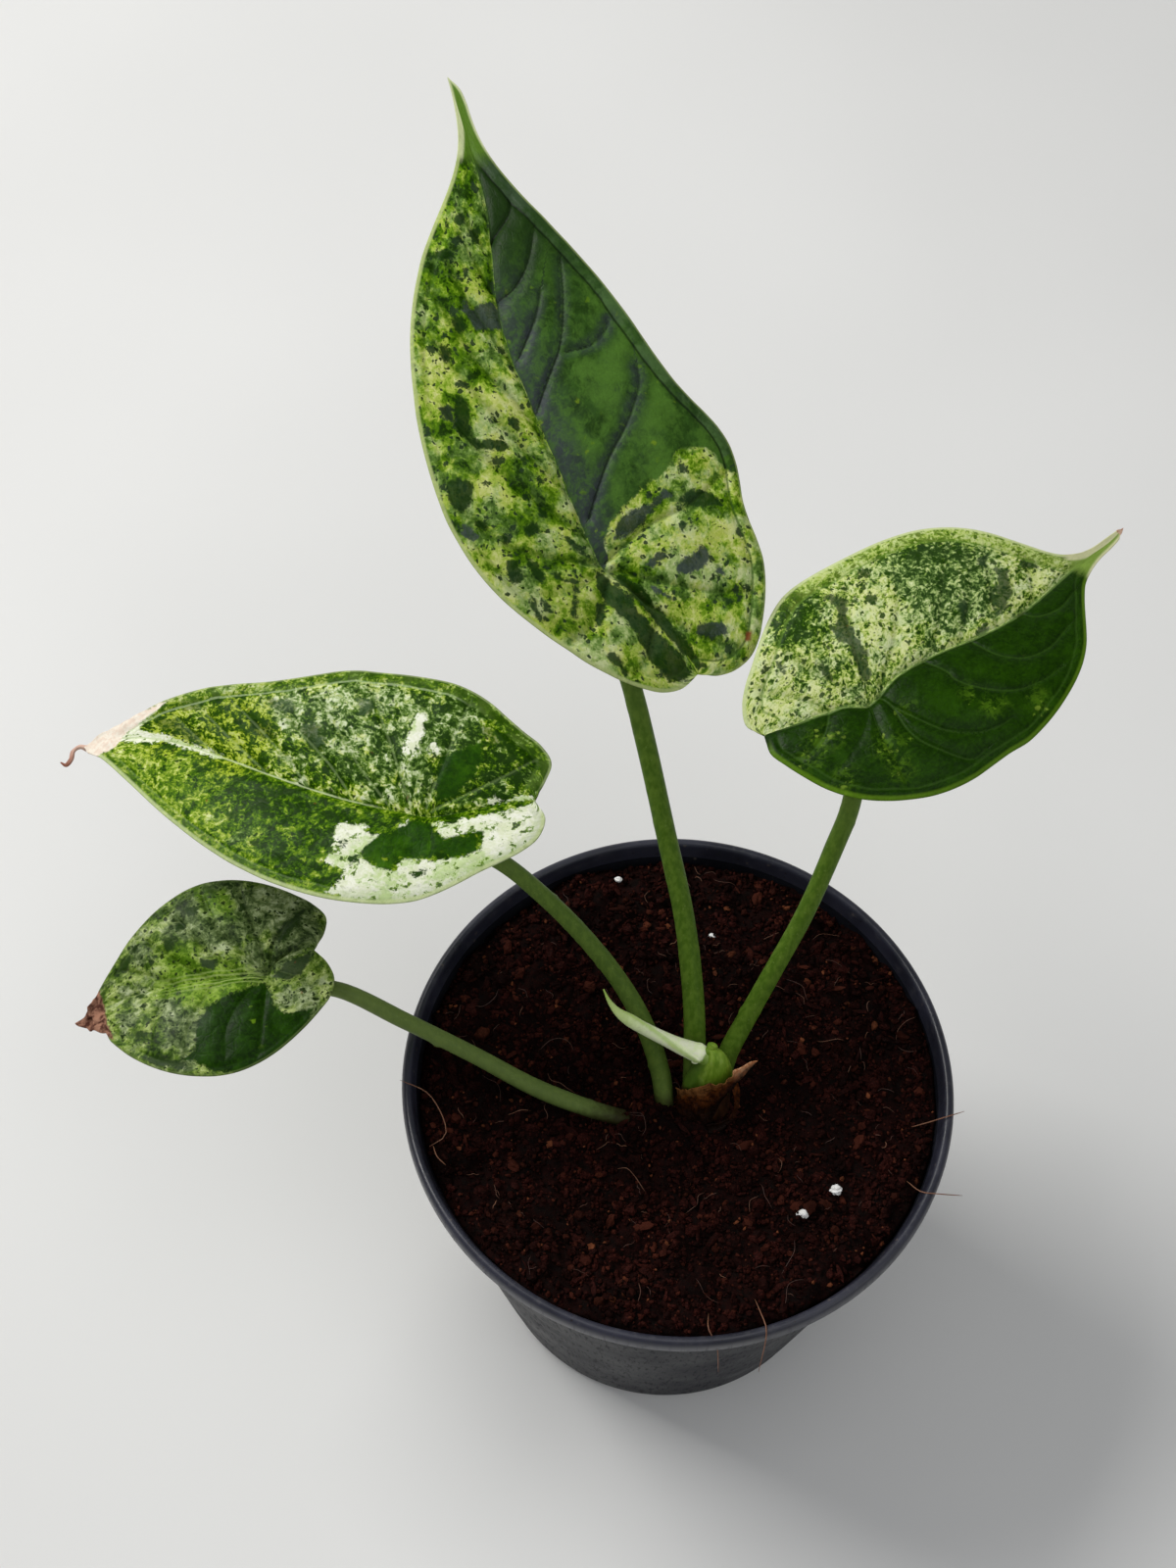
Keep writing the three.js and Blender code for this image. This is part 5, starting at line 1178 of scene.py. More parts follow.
# ------------------------------------------------------------------ materials of the stalks, the pot and the mix
def stalk_material():
    n = Net("stalk")
    p = n.obj()
    a = n.attr("up")
    ang = n.attr("round")
    long_ = n.noise(n.vec("MULTIPLY", p, (1.0, 1.0, 0.25)), 0.9, 3.0, 0.6)
    col = n.mix(n.ramp(long_, 0.35, 0.65), lin(70, 100, 22), lin(90, 118, 36))
    col = n.mix(n.ramp(a, 0.02, 0.2, 0.7, 0.0), col, lin(100, 120, 54))
    # paler towards the top: partly the stalk's own colour, partly painted light against the shadow of the blade above
    col = n.mix(n.ramp(a, 0.62, 1.0, 0.0, 0.6), col, lin(124, 148, 76))
    dots = n.voronoi(p, 0.9)
    d = n.ramp(dots.outputs["Distance"], 0.25, 0.12)
    r, g, b = n.split(dots.outputs["Color"])
    col = n.mix(n.mul(d, n.ramp(r, 0.6, 0.65, 0.0, 0.35)), col, lin(122, 144, 70))
    col = n.mix(n.mul(n.ramp(n.noise(p, 0.35, 2.0, 0.5), 0.5, 0.7), 0.3), col, lin(66, 96, 24))
    col = n.mix(n.mul(n.attr("faded"), 0.55), col, lin(110, 124, 74))
    # the foot in the mix is stained brown and darker just above it
    soil_z = n.node("ShaderNodeSeparateXYZ")
    n.put(soil_z.inputs[0], p)
    stain = n.ramp(n.add(soil_z.outputs[2], n.mul(n.sub(n.noise(p, 0.8, 3.0, 0.6), 0.5), 2.5)), 97.0, 101.5, 0.92, 0.0)
    col = n.mix(stain, col, lin(36, 28, 14))
    h = n.add(n.mul(d, 0.6), n.mul(n.noise(n.vec("MULTIPLY", p, (1.0, 1.0, 0.3)), 1.6, 3.0, 0.6), 0.8))
    return n.shader(col, n.ramp(long_, 0.3, 0.7, 0.42, 0.55), n.bump(h, 0.10, 0.5), Specular_IOR_Level=0.09)


def sheath_material():
    """Green base of the stalks, going brown and papery lower down."""
    n = Net("stem_base")
    p = n.obj()
    z = n.node("ShaderNodeSeparateXYZ")
    n.put(z.inputs[0], p)
    a = n.noise(n.vec("MULTIPLY", p, (1.0, 0.5, 0.22)), 0.9, 3.0, 0.6)
    b = n.noise(p, 0.5, 3.0, 0.6)
    col = n.mix(n.ramp(a, 0.35, 0.65), lin(98, 134, 26), lin(132, 162, 52))
    col = n.mix(n.mul(n.ramp(a, 0.56, 0.70), 0.3), col, lin(150, 176, 92))
    # painted shade on the side of the older stalks, where they crowd the foot: darker and duller green there
    col = n.mix(n.ramp(n.add(z.outputs[0], n.mul(n.sub(b, 0.5), 2.0)), 3.2, 6.0, 0.85, 0.0), col, lin(70, 102, 26))
    low = n.ramp(n.add(z.outputs[2], n.mul(n.sub(b, 0.5), 6.0)), 102.5, 105.5, 1.0, 0.0)
    col = n.mix(low, col, n.mix(n.ramp(a, 0.35, 0.65), lin(34, 20, 10), lin(60, 34, 16)))
    return n.shader(col, n.ramp(a, 0.3, 0.7, 0.42, 0.55), n.bump(a, 0.03, 0.4), Specular_IOR_Level=0.2)


def young_material():
    n = Net("young_leaf")
    p = n.obj()
    up = n.attr("up")
    streak = n.attr("streak")
    ns = n.noise(n.vec("ADD", n.vec("MULTIPLY", p, (1.0, 1.0, 1.0)), (3.0, 8.0, 1.0)), 0.7, 3.0, 0.6)
    white = n.mix(n.ramp(ns, 0.35, 0.65), lin(240, 255, 196), lin(250, 255, 222))
    green = n.mix(n.ramp(ns, 0.3, 0.7), lin(156, 200, 60), lin(190, 222, 104))
    col = n.mix(n.mul(n.ramp(n.add(streak, n.mul(n.sub(ns, 0.5), 1.1)), 0.25, 1.0), 0.75), white, green)
    col = n.mix(n.ramp(n.add(up, n.mul(n.sub(ns, 0.5), 0.3)), 0.66, 0.86, 0.0, 0.7), col, lin(190, 220, 110))
    col = n.mix(n.ramp(up, 0.86, 1.0, 0.0, 0.75), col, lin(158, 194, 70))
    zz = n.node("ShaderNodeSeparateXYZ")
    n.put(zz.inputs[0], p)
    base = n.ramp(n.add(up, n.mul(n.sub(ns, 0.5), 0.02)), 0.428, 0.416)
    col = n.mix(base, col, n.mix(n.ramp(ns, 0.35, 0.65), lin(114, 148, 50), lin(140, 170, 78)))
    col = n.mix(n.ramp(n.add(zz.outputs[2], n.mul(n.sub(ns, 0.5), 4.0)), 102.0, 106.0, 1.0, 0.0), col, lin(40, 24, 14))
    return n.shader(col, n.ramp(ns, 0.3, 0.7, 0.40, 0.5), n.bump(ns, 0.12, 0.45), Specular_IOR_Level=0.25)


def papery_material():
    n = Net("dry_sheath")
    p = n.obj()
    up = n.attr("up")
    tip = n.attr("tip")
    fib = n.noise(n.vec("MULTIPLY", p, (1.0, 1.0, 0.22)), 1.6, 4.0, 0.65)
    blot = n.noise(p, 0.32, 3.0, 0.6)
    spot = n.noise(n.vec("ADD", p, (5.0, 1.0, 9.0)), 0.9, 3.0, 0.6)
    col = n.mix(n.ramp(fib, 0.35, 0.65), lin(62, 28, 8), lin(124, 66, 22))
    col = n.mix(n.ramp(blot, 0.42, 0.62, 0.0, 0.8), col, lin(88, 40, 14))
    col = n.mix(n.ramp(n.add(up, n.mul(n.sub(blot, 0.5), 0.8)), 0.6, 1.0, 0.0, 0.7), col, lin(134, 92, 50))
    col = n.mix(n.ramp(n.add(up, n.mul(n.sub(blot, 0.5), 0.9)), 0.16, 0.98, 0.985, 0.0), col, lin(16, 6, 3))
    col = n.mix(n.ramp(spot, 0.54, 0.62, 0.0, 0.65), col, lin(34, 16, 9))
    col = n.mix(n.ramp(n.add(tip, n.mul(n.sub(spot, 0.5), 0.5)), 0.3, 0.85, 0.0, 0.92), col, n.mix(n.ramp(spot, 0.4, 0.6), lin(244, 186, 140), lin(200, 130, 86)))
    return n.shader(col, n.ramp(blot, 0.3, 0.7, 0.42, 0.65), n.bump(n.add(n.mul(fib, 1.0), n.mul(blot, 0.6), n.mul(spot, 0.8)), 0.5, 1.0), Specular_IOR_Level=0.10)


def curl_material():
    n = Net("dry_curl")
    p = n.obj()
    t = n.attr("up")
    ns = n.noise(p, 1.4, 3.0, 0.6)
    col = n.mix(n.ramp(n.add(t, n.mul(n.sub(ns, 0.5), 0.5)), 0.15, 0.95), lin(214, 178, 158), lin(138, 80, 58))
    return n.shader(col, n.ramp(ns, 0.3, 0.7, 0.55, 0.7), n.bump(ns, 0.15, 0.7), Specular_IOR_Level=0.25)


def soil_material(name, crumb):
    n = Net(name)
    p = n.obj()
    big = n.noise(p, 0.11, 3.0, 0.6)
    mid = n.noise(p, 0.62, 3.0, 0.65)
    fine = n.noise(p, 2.3, 3.0, 0.7)
    dark, body, red = lin(8, 3, 2), lin(29, 10, 8), lin(57, 23, 18)
    col = n.mix(n.ramp(mid, 0.35, 0.65), dark, body)
    if crumb:
        t = n.attr("tint")
        col = n.mix(n.ramp(t, 0.0, 0.7, 0.1, 1.0), col, n.mix(n.ramp(fine, 0.35, 0.65), body, red))
        col = n.mix(n.ramp(t, 0.80, 0.97), col, lin(68, 32, 22))
        col = n.mix(n.ramp(t, 0.975, 0.99), col, lin(116, 66, 42))
    col = n.mix(n.mul(n.ramp(fine, 0.56, 0.75), 0.35), col, lin(64, 34, 26))
    col = n.mix(n.mul(n.ramp(big, 0.42, 0.62), 0.6), col, dark)
    h = n.add(n.mul(mid, 0.8), n.mul(fine, 0.45))
    return n.shader(col, n.ramp(mid, 0.3, 0.7, 0.6, 0.85), n.bump(h, 0.4, 0.9), Specular_IOR_Level=0.04)


def fibre_material():
    n = Net("coir_fibre")
    p = n.obj()
    t = n.attr("tint")
    ns = n.noise(p, 0.8, 2.0, 0.5)
    col = n.mix(n.ramp(t, 0.0, 1.0, smooth=False), lin(54, 28, 20), lin(146, 100, 72))
    col = n.mix(n.mul(n.ramp(ns, 0.4, 0.7), 0.5), col, lin(92, 56, 40))
    return n.shader(col, n.ramp(ns, 0.3, 0.7, 0.5, 0.7), n.bump(ns, 0.05, 0.5))


def perlite_material():
    n = Net("perlite")
    p = n.obj()
    a = n.noise(p, 1.6, 3.0, 0.6)
    col = n.mix(n.ramp(a, 0.35, 0.65), lin(232, 230, 226), lin(250, 250, 250))
    v = n.voronoi(p, 2.4)
    return n.shader(col, n.ramp(a, 0.3, 0.7, 0.8, 0.95), n.bump(n.add(a, n.mul(v.outputs["Distance"], 0.6)), 0.2, 0.8))


def pot_material(wall=False):
    """Satin plastic; the side wall is duller, and its darker colour is painted shade; the rim's lighter, bluer colour
    is a painted sheen.
    """
    n = Net("pot_wall_painted_shade" if wall else "pot_plastic")
    p = n.obj()
    cloud = n.noise(p, 0.06, 4.0, 0.6)
    grain = n.noise(p, 2.2, 3.0, 0.6)
    scratch = n.noise(n.vec("MULTIPLY", p, (1.0, 1.0, 0.08)), 1.1, 3.0, 0.65)
    # painted light: the rim's colour is lighter and bluer as a painted sheen, the wall's darker as painted shade; dust
    # is kept faint on the wall so that it stays dark
    col = n.mix(n.ramp(cloud, 0.35, 0.65), lin(20, 21, 26) if wall else lin(34, 35, 45), lin(27, 28, 34) if wall else lin(44, 45, 58))
    dust = n.mul(n.ramp(n.noise(p, 0.35, 4.0, 0.7), 0.52, 0.75), 0.07 if wall else 0.35)
    col = n.mix(dust, col, lin(78, 76, 80))
    spots = n.voronoi(p, 0.42)
    r, g, b = n.split(spots.outputs["Color"])
    mark = n.mul(n.ramp(n.add(spots.outputs["Distance"], n.mul(n.sub(grain, 0.5), 0.4)), 0.2, 0.1), n.ramp(r, 0.8, 0.83))
    col = n.mix(n.mul(mark, 0.55), col, lin(92, 84, 80))
    dirt = n.voronoi(p, 0.55)
    dr, dg, db = n.split(dirt.outputs["Color"])
    dm = n.mul(n.ramp(n.add(dirt.outputs["Distance"], n.mul(n.sub(grain, 0.5), 0.3)), 0.17, 0.09), n.ramp(dr, 0.55, 0.58))
    col = n.mix(n.mul(dm, 0.8), col, lin(26, 15, 13))
    rough = n.add(n.ramp(cloud, 0.3, 0.7, 0.30, 0.42), n.mul(n.ramp(scratch, 0.5, 0.7), 0.14), n.mul(dust, 0.5))
    return n.shader(col, rough, n.bump(n.add(n.mul(grain, 0.35), n.mul(cloud, 0.8)), 0.10, 0.35), Specular_IOR_Level=0.03 if wall else 0.5)


def root_material():
    n = Net("rootstock")
    p = n.obj()
    a = n.noise(p, 0.5, 4.0, 0.65)
    col = n.mix(n.ramp(a, 0.35, 0.65), lin(150, 120, 84), lin(196, 172, 134))
    return n.shader(col, n.ramp(a, 0.3, 0.7, 0.6, 0.8), n.bump(a, 0.4, 0.7))


stalk_mat, sheath_mat, young_mat, papery_mat, curl_mat = stalk_material(), sheath_material(), young_material(), papery_material(), curl_material()
soil_mat, crumb_mat, fibre_mat = soil_material("potting_mix", False), soil_material("crumbs", True), fibre_material()
perlite_mat, pot_mat, root_mat = perlite_material(), pot_material(), root_material()

# ------------------------------------------------------------------ leaves and their stalks
GREENS = {
    "lime": lin(134, 162, 30), "lime2": lin(96, 134, 20), "yellow": lin(182, 194, 84), "white": lin(236, 238, 214), "white2": lin(214, 222, 184),
    "dark": lin(20, 46, 6), "dark2": lin(40, 60, 36), "speck": lin(20, 44, 8), "isle": lin(24, 52, 6), "isle2": lin(40, 64, 32),
    "slate": lin(44, 60, 40), "slate2": lin(64, 76, 70),
    "solid": lin(22, 50, 10), "solid2": lin(34, 66, 18), "teal": lin(56, 66, 64), "haze": lin(56, 100, 26),
    "vein_light": lin(60, 92, 26), "vein_dark": lin(8, 18, 6), "rib": lin(56, 80, 42), "rim": lin(180, 194, 126), "tip": lin(70, 104, 30), "tip_rim": lin(206, 212, 168),
    "band": lin(70, 94, 62), "band2": lin(90, 110, 86), "collect": lin(150, 172, 110),
}
LOOKS = {
    "leaf_1": dict(seed=11, half=1, vein_w=0.6, collect=(2.6, 2.7), rib_depth=0.75, vein_depth=0.40, quilt=1.0, quilt_w=1.7, relief=(0.75, 0.85), roll=(0.35, 0.7), rim_fold=(0.22, 0.42),
                   rough=(0.32, 0.46), rim_w=(0.7, 0.5), rim_mix=(0.85, 0.45), band_mix=(0.0, 0.45), band_from=0.2, collect_mix=(0.2, 0.7), dry=(-2, -3), stretch=(1.0, 1.0), across=0.86, dark_gain=3.0, slope=(-0.0026, 40.0), sol_dark=(44.0, 72.0, 0.92), spec=0.055,
                   mott_scale=0.23, tone_scale=0.10, lime_scale=0.15, bias=(0.0, 0.0), chill=(-0.02, -0.01), calm=(0.85, 0.95), gain=2.6, gain_small=1.5, gain_tone=1.3, gain_fine=0.7, mott_rough=0.66, yellow=0.5, warp=2.2,
                   warm=[(0.02, lin(26, 52, 0)), (0.14, lin(38, 70, 0)), (0.20, lin(60, 98, 4)), (0.38, lin(80, 118, 10)), (0.43, lin(100, 138, 20)), (0.56, lin(120, 154, 32)), (0.61, lin(150, 178, 62)), (0.78, lin(176, 194, 84)), (0.97, lin(206, 214, 132))],
                   cool=[(0.02, lin(34, 58, 14)), (0.14, lin(44, 70, 22)), (0.20, lin(64, 94, 32)), (0.38, lin(82, 112, 44)), (0.43, lin(98, 130, 56)), (0.56, lin(116, 146, 70)), (0.61, lin(142, 168, 94)), (0.78, lin(166, 188, 114)), (0.97, lin(200, 212, 152))],
                   islands=(0.40, 0.30), specks=(0.6, 0.55), speck_size=0.16, line_w=0.38, sheen_w=10.0, sheen_to=(46.0, 66.0), haze=0.9, vein_shade=(0.45, 0.3), line_mix=(0.5, 0.95), vein_cut=(0.5, 0.75), solid_var=0.5,
                   rib_mix=0.35, vein_mix=(0.35, 0.78), flecks=0.05, fleck_mix=0.55, dry_cols=(lin(150, 108, 84), lin(98, 62, 46)), tip_edge=(1.1, 0.3), tip_mix=0.9,
                   colours=dict(GREENS, sol_dark=lin(26, 48, 12), band=lin(48, 76, 36), band2=lin(74, 94, 70), solid=lin(34, 60, 16), solid2=lin(48, 80, 26), teal=lin(58, 66, 66), haze=lin(76, 114, 40), collect=lin(60, 92, 30), tip=lin(84, 118, 34), tip_rim=lin(200, 208, 158))),
    "leaf_2": dict(seed=23, half=1, vein_w=0.6, collect=(3.6, 2.0), rib_depth=0.6, vein_depth=0.30, quilt=1.0, quilt_w=1.8, relief=(0.45, 0.55), roll=(0.5, 0.5), rim_fold=(0.28, 0.25),
                   rough=(0.28, 0.42), rim_w=(0.75, 0.85), rim_mix=(0.9, 0.6), band_mix=(0.35, 0.0), collect_mix=(0.6, 0.3), isle_mix=0.88, isle_gain=4.4, dry=(4.0, 2.0), spec=0.06, band_from=0.1, stretch=(1.0, 1.0), across=0.9, half_rim=3.2, warp=2.2,
                   dry_cols=(lin(210, 176, 150), lin(168, 118, 92)), vein_shade=(0.3, 0.3),
                   mott_scale=0.42, tone_scale=0.15, lime_scale=0.24, bias=(0.08, 0.09), chill=(-0.02, -0.02), gain=2.2, gain_small=2.6, gain_tone=1.0, gain_fine=1.4, yellow=0.25, grey_push=0.26, lush_push=0.42,
                   warm=[(0.02, lin(30, 58, 2)), (0.20, lin(48, 82, 8)), (0.28, lin(72, 108, 22)), (0.40, lin(102, 134, 42)), (0.48, lin(136, 162, 60)), (0.58, lin(164, 184, 86)), (0.70, lin(190, 204, 118)), (0.97, lin(212, 220, 154))],
                   cool=[(0.02, lin(40, 64, 22)), (0.20, lin(56, 84, 32)), (0.28, lin(78, 106, 46)), (0.40, lin(104, 132, 68)), (0.48, lin(132, 158, 84)), (0.58, lin(156, 178, 106)), (0.70, lin(180, 198, 130)), (0.97, lin(206, 218, 164))],
                   islands=(0.22, 0.2), specks=(1.15, 0.3), speck_size=0.16, speck_scale=0.78, cloud_mix=0.4,
                   sheen_rib=0.12, sheen_vein=0.1, haze=0.35, flecks=0.0, fleck_mix=0.6, rib_mix=0.5, vein_mix=(0.4, 0.4), line_mix=(0.5, 1.0), vein_cut=(0.5, 1.0), solid_var=0.25, tip_mix=0.92, line_w=0.34, tip_edge=(1.3, 0.35),
                   fleck_spots=[(-12.1, 0.3, 2.4), (-9.8, -1.1, 1.8), (-16.0, -1.8, 2.0), (-3.8, -9.0, 2.8), (-4.9, -13.6, 2.0), (3.8, -5.2, 1.0), (16.0, -15.6, 2.0), (14.6, -11.3, 1.4), (23.9, -19.8, 1.6), (-13.9, -8.8, 2.0)],
                   colours=dict(GREENS, solid=lin(16, 40, 0), solid2=lin(24, 52, 0), teal=lin(22, 42, 10), haze=lin(44, 82, 2),
                                lime2=lin(98, 136, 28), lime=lin(142, 166, 60), yellow=lin(206, 216, 132), speck=lin(36, 66, 10), dark2=lin(46, 72, 28), rib=lin(116, 144, 76), rim_right=lin(100, 138, 30),
                                rim=lin(196, 208, 150), tip=lin(120, 148, 62), tip_rim=lin(206, 206, 160), vein_dark=lin(58, 88, 30), vein_light=lin(86, 116, 60),
                                band=lin(104, 140, 30), band2=lin(158, 182, 72), collect=lin(96, 130, 48), isle=lin(34, 58, 20), isle2=lin(46, 68, 38), slate=lin(42, 62, 30), slate2=lin(56, 76, 50))),
    "leaf_3": dict(seed=37, vein_w=0.6, collect=(2.8, 2.0), rib_depth=0.65, vein_depth=0.30, quilt=0.8, relief=(0.6, 0.12), roll=(0.45, 0.25), rim_fold=(0.3, 0.2),
                   rough=(0.32, 0.46), rim_w=(0.45, 0.8), rim_mix=(0.4, 0.8), band_mix=(0.35, 0.3), collect_mix=(0.55, 0.1), dry=(2.0, 0.5), stretch=(1.0, 1.0), across=0.95, warp=2.2, slope=(0.0016, 34.0), dark_gain=4.6, spec=0.05, chill_lift=0.10, grain=0.30, lush_spots=[(-2.0, -22.5, 7.5), (8.0, -24.0, 3.0)], collect_from=(-3.0, 4.0),
                   dry_cols=(lin(236, 228, 212), lin(228, 210, 192)), crinkle=0.4, mott_scale=0.36, tone_scale=0.13, lime_scale=0.18, mott_rough=0.70,
                   bias=(-0.06, -0.06), calm=(1.0, 0.62), chill=(-0.04, -0.19), lime_ramp=(0.26, 0.60), gain=3.1, gain_small=2.5, gain_tone=1.3, gain_fine=1.0, white_gain=5.0, isle_gain=5.0, isle_mix=0.65,
                   warm=[(0.02, lin(26, 54, 0)), (0.18, lin(38, 70, 0)), (0.25, lin(56, 94, 0)), (0.38, lin(78, 114, 4)), (0.45, lin(106, 138, 20)), (0.56, lin(132, 158, 38)), (0.63, lin(164, 182, 78)), (0.80, lin(192, 204, 120)), (0.97, lin(214, 222, 160))],
                   cool=[(0.02, lin(32, 58, 8)), (0.18, lin(42, 70, 14)), (0.25, lin(58, 88, 22)), (0.38, lin(78, 108, 36)), (0.45, lin(100, 130, 58)), (0.56, lin(124, 150, 82)), (0.63, lin(154, 174, 114)), (0.80, lin(186, 200, 150)), (0.97, lin(210, 220, 184))],
                   speck_scale=0.95, island_scale=0.36, islands=(0.14, 0.12), specks=(0.30, 0.28), speck_size=0.15, yellow=0.45,
                   rib_mix=0.8, rib_w=0.34, rib_from=0.25, vein_mix=(0.4, 0.2), line_mix=(0.7, 0.06), vein_cut=(0.5, 0.05), haze=0.9, sheen_rib=0.05, sheen_vein=0.1, tip_mix=0.4, line_w=0.38, vein_shade=(0.25, 0.04),
                   lime_spots=[(44.0, -6.0, 9.0), (60.0, -5.0, 6.0)],
                   colours=dict(GREENS, lime=lin(166, 184, 40), lime0=lin(44, 78, 0), lime2=lin(104, 140, 10), yellow=lin(186, 196, 70), rib=lin(190, 204, 156), teal=lin(30, 58, 6), white=lin(238, 240, 222), white2=lin(222, 228, 196),
                                dark=lin(22, 52, 0), dark2=lin(34, 62, 6), speck=lin(24, 54, 0), isle=lin(28, 58, 0), isle2=lin(40, 68, 16), slate=lin(50, 72, 38), slate2=lin(72, 92, 66),
                                solid=lin(22, 54, 0), solid2=lin(32, 70, 0), haze=lin(56, 98, 4), collect=lin(166, 186, 136), band=lin(66, 100, 18), band2=lin(106, 136, 50), rim=lin(190, 204, 146),
                                vein_light=lin(150, 174, 112))),
    "leaf_4": dict(seed=53, vein_w=0.6, collect=(1.8, 1.6), rib_depth=0.5, vein_depth=0.3, quilt=0.8, relief=(0.9, 0.5), roll=(0.3, 0.2), crush=0.8,
                   rough=(0.32, 0.46), rim_w=(0.35, 0.4), rim_mix=(0.35, 0.35), band_mix=(0.0, 0.0), collect_mix=(0.05, 0.05), dry=(3.0, 1.6), stretch=(1.0, 1.0), across=0.95, warp=2.2,
                   dry_cols=(lin(160, 118, 96), lin(84, 52, 42)), mott_scale=0.36, tone_scale=0.14, lime_scale=0.2, island_scale=0.42, speck_scale=1.05, vein_shade=(0.35, 0.35),
                   bias=(0.01, 0.02), chill=(-0.01, -0.01), gain=2.4, gain_small=1.2, gain_tone=1.0, gain_fine=0.6, mott_rough=0.64, yellow=0.15, spec=0.06, lush_spots=[(24.0, 13.0, 2.6), (18.0, 17.5, 2.6)], pale_spots=[(-4.0, -17.0, 5.0)],
                   warm=[(0.04, lin(26, 46, 4)), (0.24, lin(50, 76, 16)), (0.44, lin(80, 106, 32)), (0.60, lin(110, 134, 54)), (0.78, lin(144, 162, 86)), (0.97, lin(176, 190, 120))],
                   cool=[(0.04, lin(34, 48, 24)), (0.24, lin(54, 70, 34)), (0.44, lin(80, 98, 54)), (0.60, lin(106, 122, 76)), (0.78, lin(138, 152, 106)), (0.97, lin(170, 182, 140))],
                   islands=(0.24, 0.22), specks=(0.6, 0.6), speck_size=0.16,
                   rib_mix=0.5, rib_w=0.22, rib_lines=[(0.75, 0.75), (1.6, 0.5)], vein_mix=(0.3, 0.3), line_mix=(0.3, 0.45), vein_cut=(1.0, 0.35), haze=0.45, sheen_rib=0.05, sheen_vein=0.1, line_w=0.3,
                   lime_spots=[(9.0, 0.5, 5.0), (15.0, -0.5, 4.5), (20.0, -2.0, 3.0)],
                   colours=dict(GREENS, lime=lin(120, 156, 30), lime2=lin(78, 116, 10), yellow=lin(150, 168, 70), rib=lin(146, 166, 92), rim=lin(124, 142, 84), vein_light=lin(116, 138, 74), vein_dark=lin(40, 70, 8), solid=lin(12, 34, 0), solid2=lin(18, 44, 0),
                                dark=lin(26, 46, 6), dark2=lin(38, 56, 26), speck=lin(24, 42, 6), isle=lin(34, 56, 14), isle2=lin(48, 64, 38), haze=lin(44, 84, 4), teal=lin(32, 56, 14), tip=lin(110, 120, 60), tip_rim=lin(150, 140, 100))),
}
DETAIL = {"leaf_1": (246, 66), "leaf_2": (190, 54), "leaf_3": (216, 58), "leaf_4": (150, 44)}

for key, leaf in LEAVES.items():
    look = LOOKS[key]
    rows, cols = DETAIL[key]
    top = leaf_material(key + "_upper", look)
    low = leaf_material(key + "_under", look, under=True)
    ob = blade(key + "_blade_skin", leaf, MARKS[key], look, rows, cols, top, low)
    place(ob, "leaf", key + "_blade")

    o, U, V, N, length = blade_plane(leaf)
    st = STALKS[key]
    last = np.array(st["pts"][-1], float)
    bend = (o - 7.6 * N) * 0.78 + last * 0.22
    pts = [list(p) for p in st["pts"]] + [list(bend), list(o - 3.6 * N), list(o - 2.1 * N)]
    path = spline(pts, 150)
    s = np.linspace(0, 1, len(path))
    radius = st["r0"] + (st["r1"] - st["r0"]) * s
    radius = radius * (1 + 0.05 * lattice(s * 40, s * 0, 6.0, look["seed"] + 60)) * (1 + 0.12 * sstep(0.93, 0.975, s) - 0.35 * sstep(0.985, 1.0, s))
    rng = np.random.default_rng(look["seed"] + 70)
    bumps = rng.uniform([0.02, 0], [0.97, 2 * np.pi], (70, 2))
    amp = rng.uniform(0.02, 0.05, 70) + 0.10 * (rng.uniform(0, 1, 70) > 0.85)

    def shape(ring, ang):
        out = 1 + 0.03 * np.cos(2 * ang + ring * 0.02) + 0.02 * np.cos(3 * ang + 1.0)
        for (bs, ba), am in zip(bumps, amp):
            da = (ang - ba + np.pi) % (2 * np.pi) - np.pi
            out = out + am * np.exp(-((ring / 149 - bs) / 0.006) ** 2 - (da / 0.3) ** 2)
        return out

    verts, faces, ring, ang = tube(path, radius, 28, shape)
    ob = add_mesh(key + "_stalk_skin", verts, faces, [stalk_mat], attrs={"up": ring, "round": ang, "faded": np.full(len(ring), {"leaf_4": 1.0, "leaf_3": 0.4}.get(key, 0.0))})
    place(ob, "leaf_stalk", key + "_petiole")

# dry curl at the end of leaf 3's tip
o, U, V, N, length = blade_plane(LEAVES["leaf_3"])
curl = spline([list(o + a * U + b * V + c * N) for a, b, c in ((80.6, 0.1, -0.2), (82.6, 0.1, 0.1), (83.6, 1.4, 0.3), (83.4, 3.2, 0.2), (84.2, 4.6, 0.0), (85.6, 4.3, 0.2))], 50)
s = np.linspace(0, 1, 50)
verts, faces, ring, ang = tube(curl, 0.52 * (1 - s) ** 0.6 + 0.13, 16, lambda r, a: 1 + 0.35 * np.cos(2 * a + r * 0.12))
ob = add_mesh("leaf_3_tip_curl", verts, faces, [curl_mat], attrs={"up": ring})
place(ob, "leaf")

# ------------------------------------------------------------------ young leaf, still rolled
yl = spline(YOUNG_LEAF, 190)
nring = len(yl)
white_from = 0.425


def rolled(ring, ang):
    """A spiral section: the free margin runs round the roll from base to tip."""
    s = ring / (nring - 1)
    edge = 0.9 + 5.2 * s
    turn = ((ang - edge) / (2 * np.pi)) % 1.0
    amount = 0.26 * sstep(white_from - 0.01, white_from + 0.04, s) * sstep(1.0, 0.85, s)
    out = 1.0 + amount * (turn - 0.5) + 0.05 * sstep(0.4, 0.5, s) * np.cos(2 * (ang - edge))
    # a step where the blade sits on its stalk
    out = out * (1 + 0.10 * np.exp(-((s - white_from - 0.012) / 0.012) ** 2))
    return out


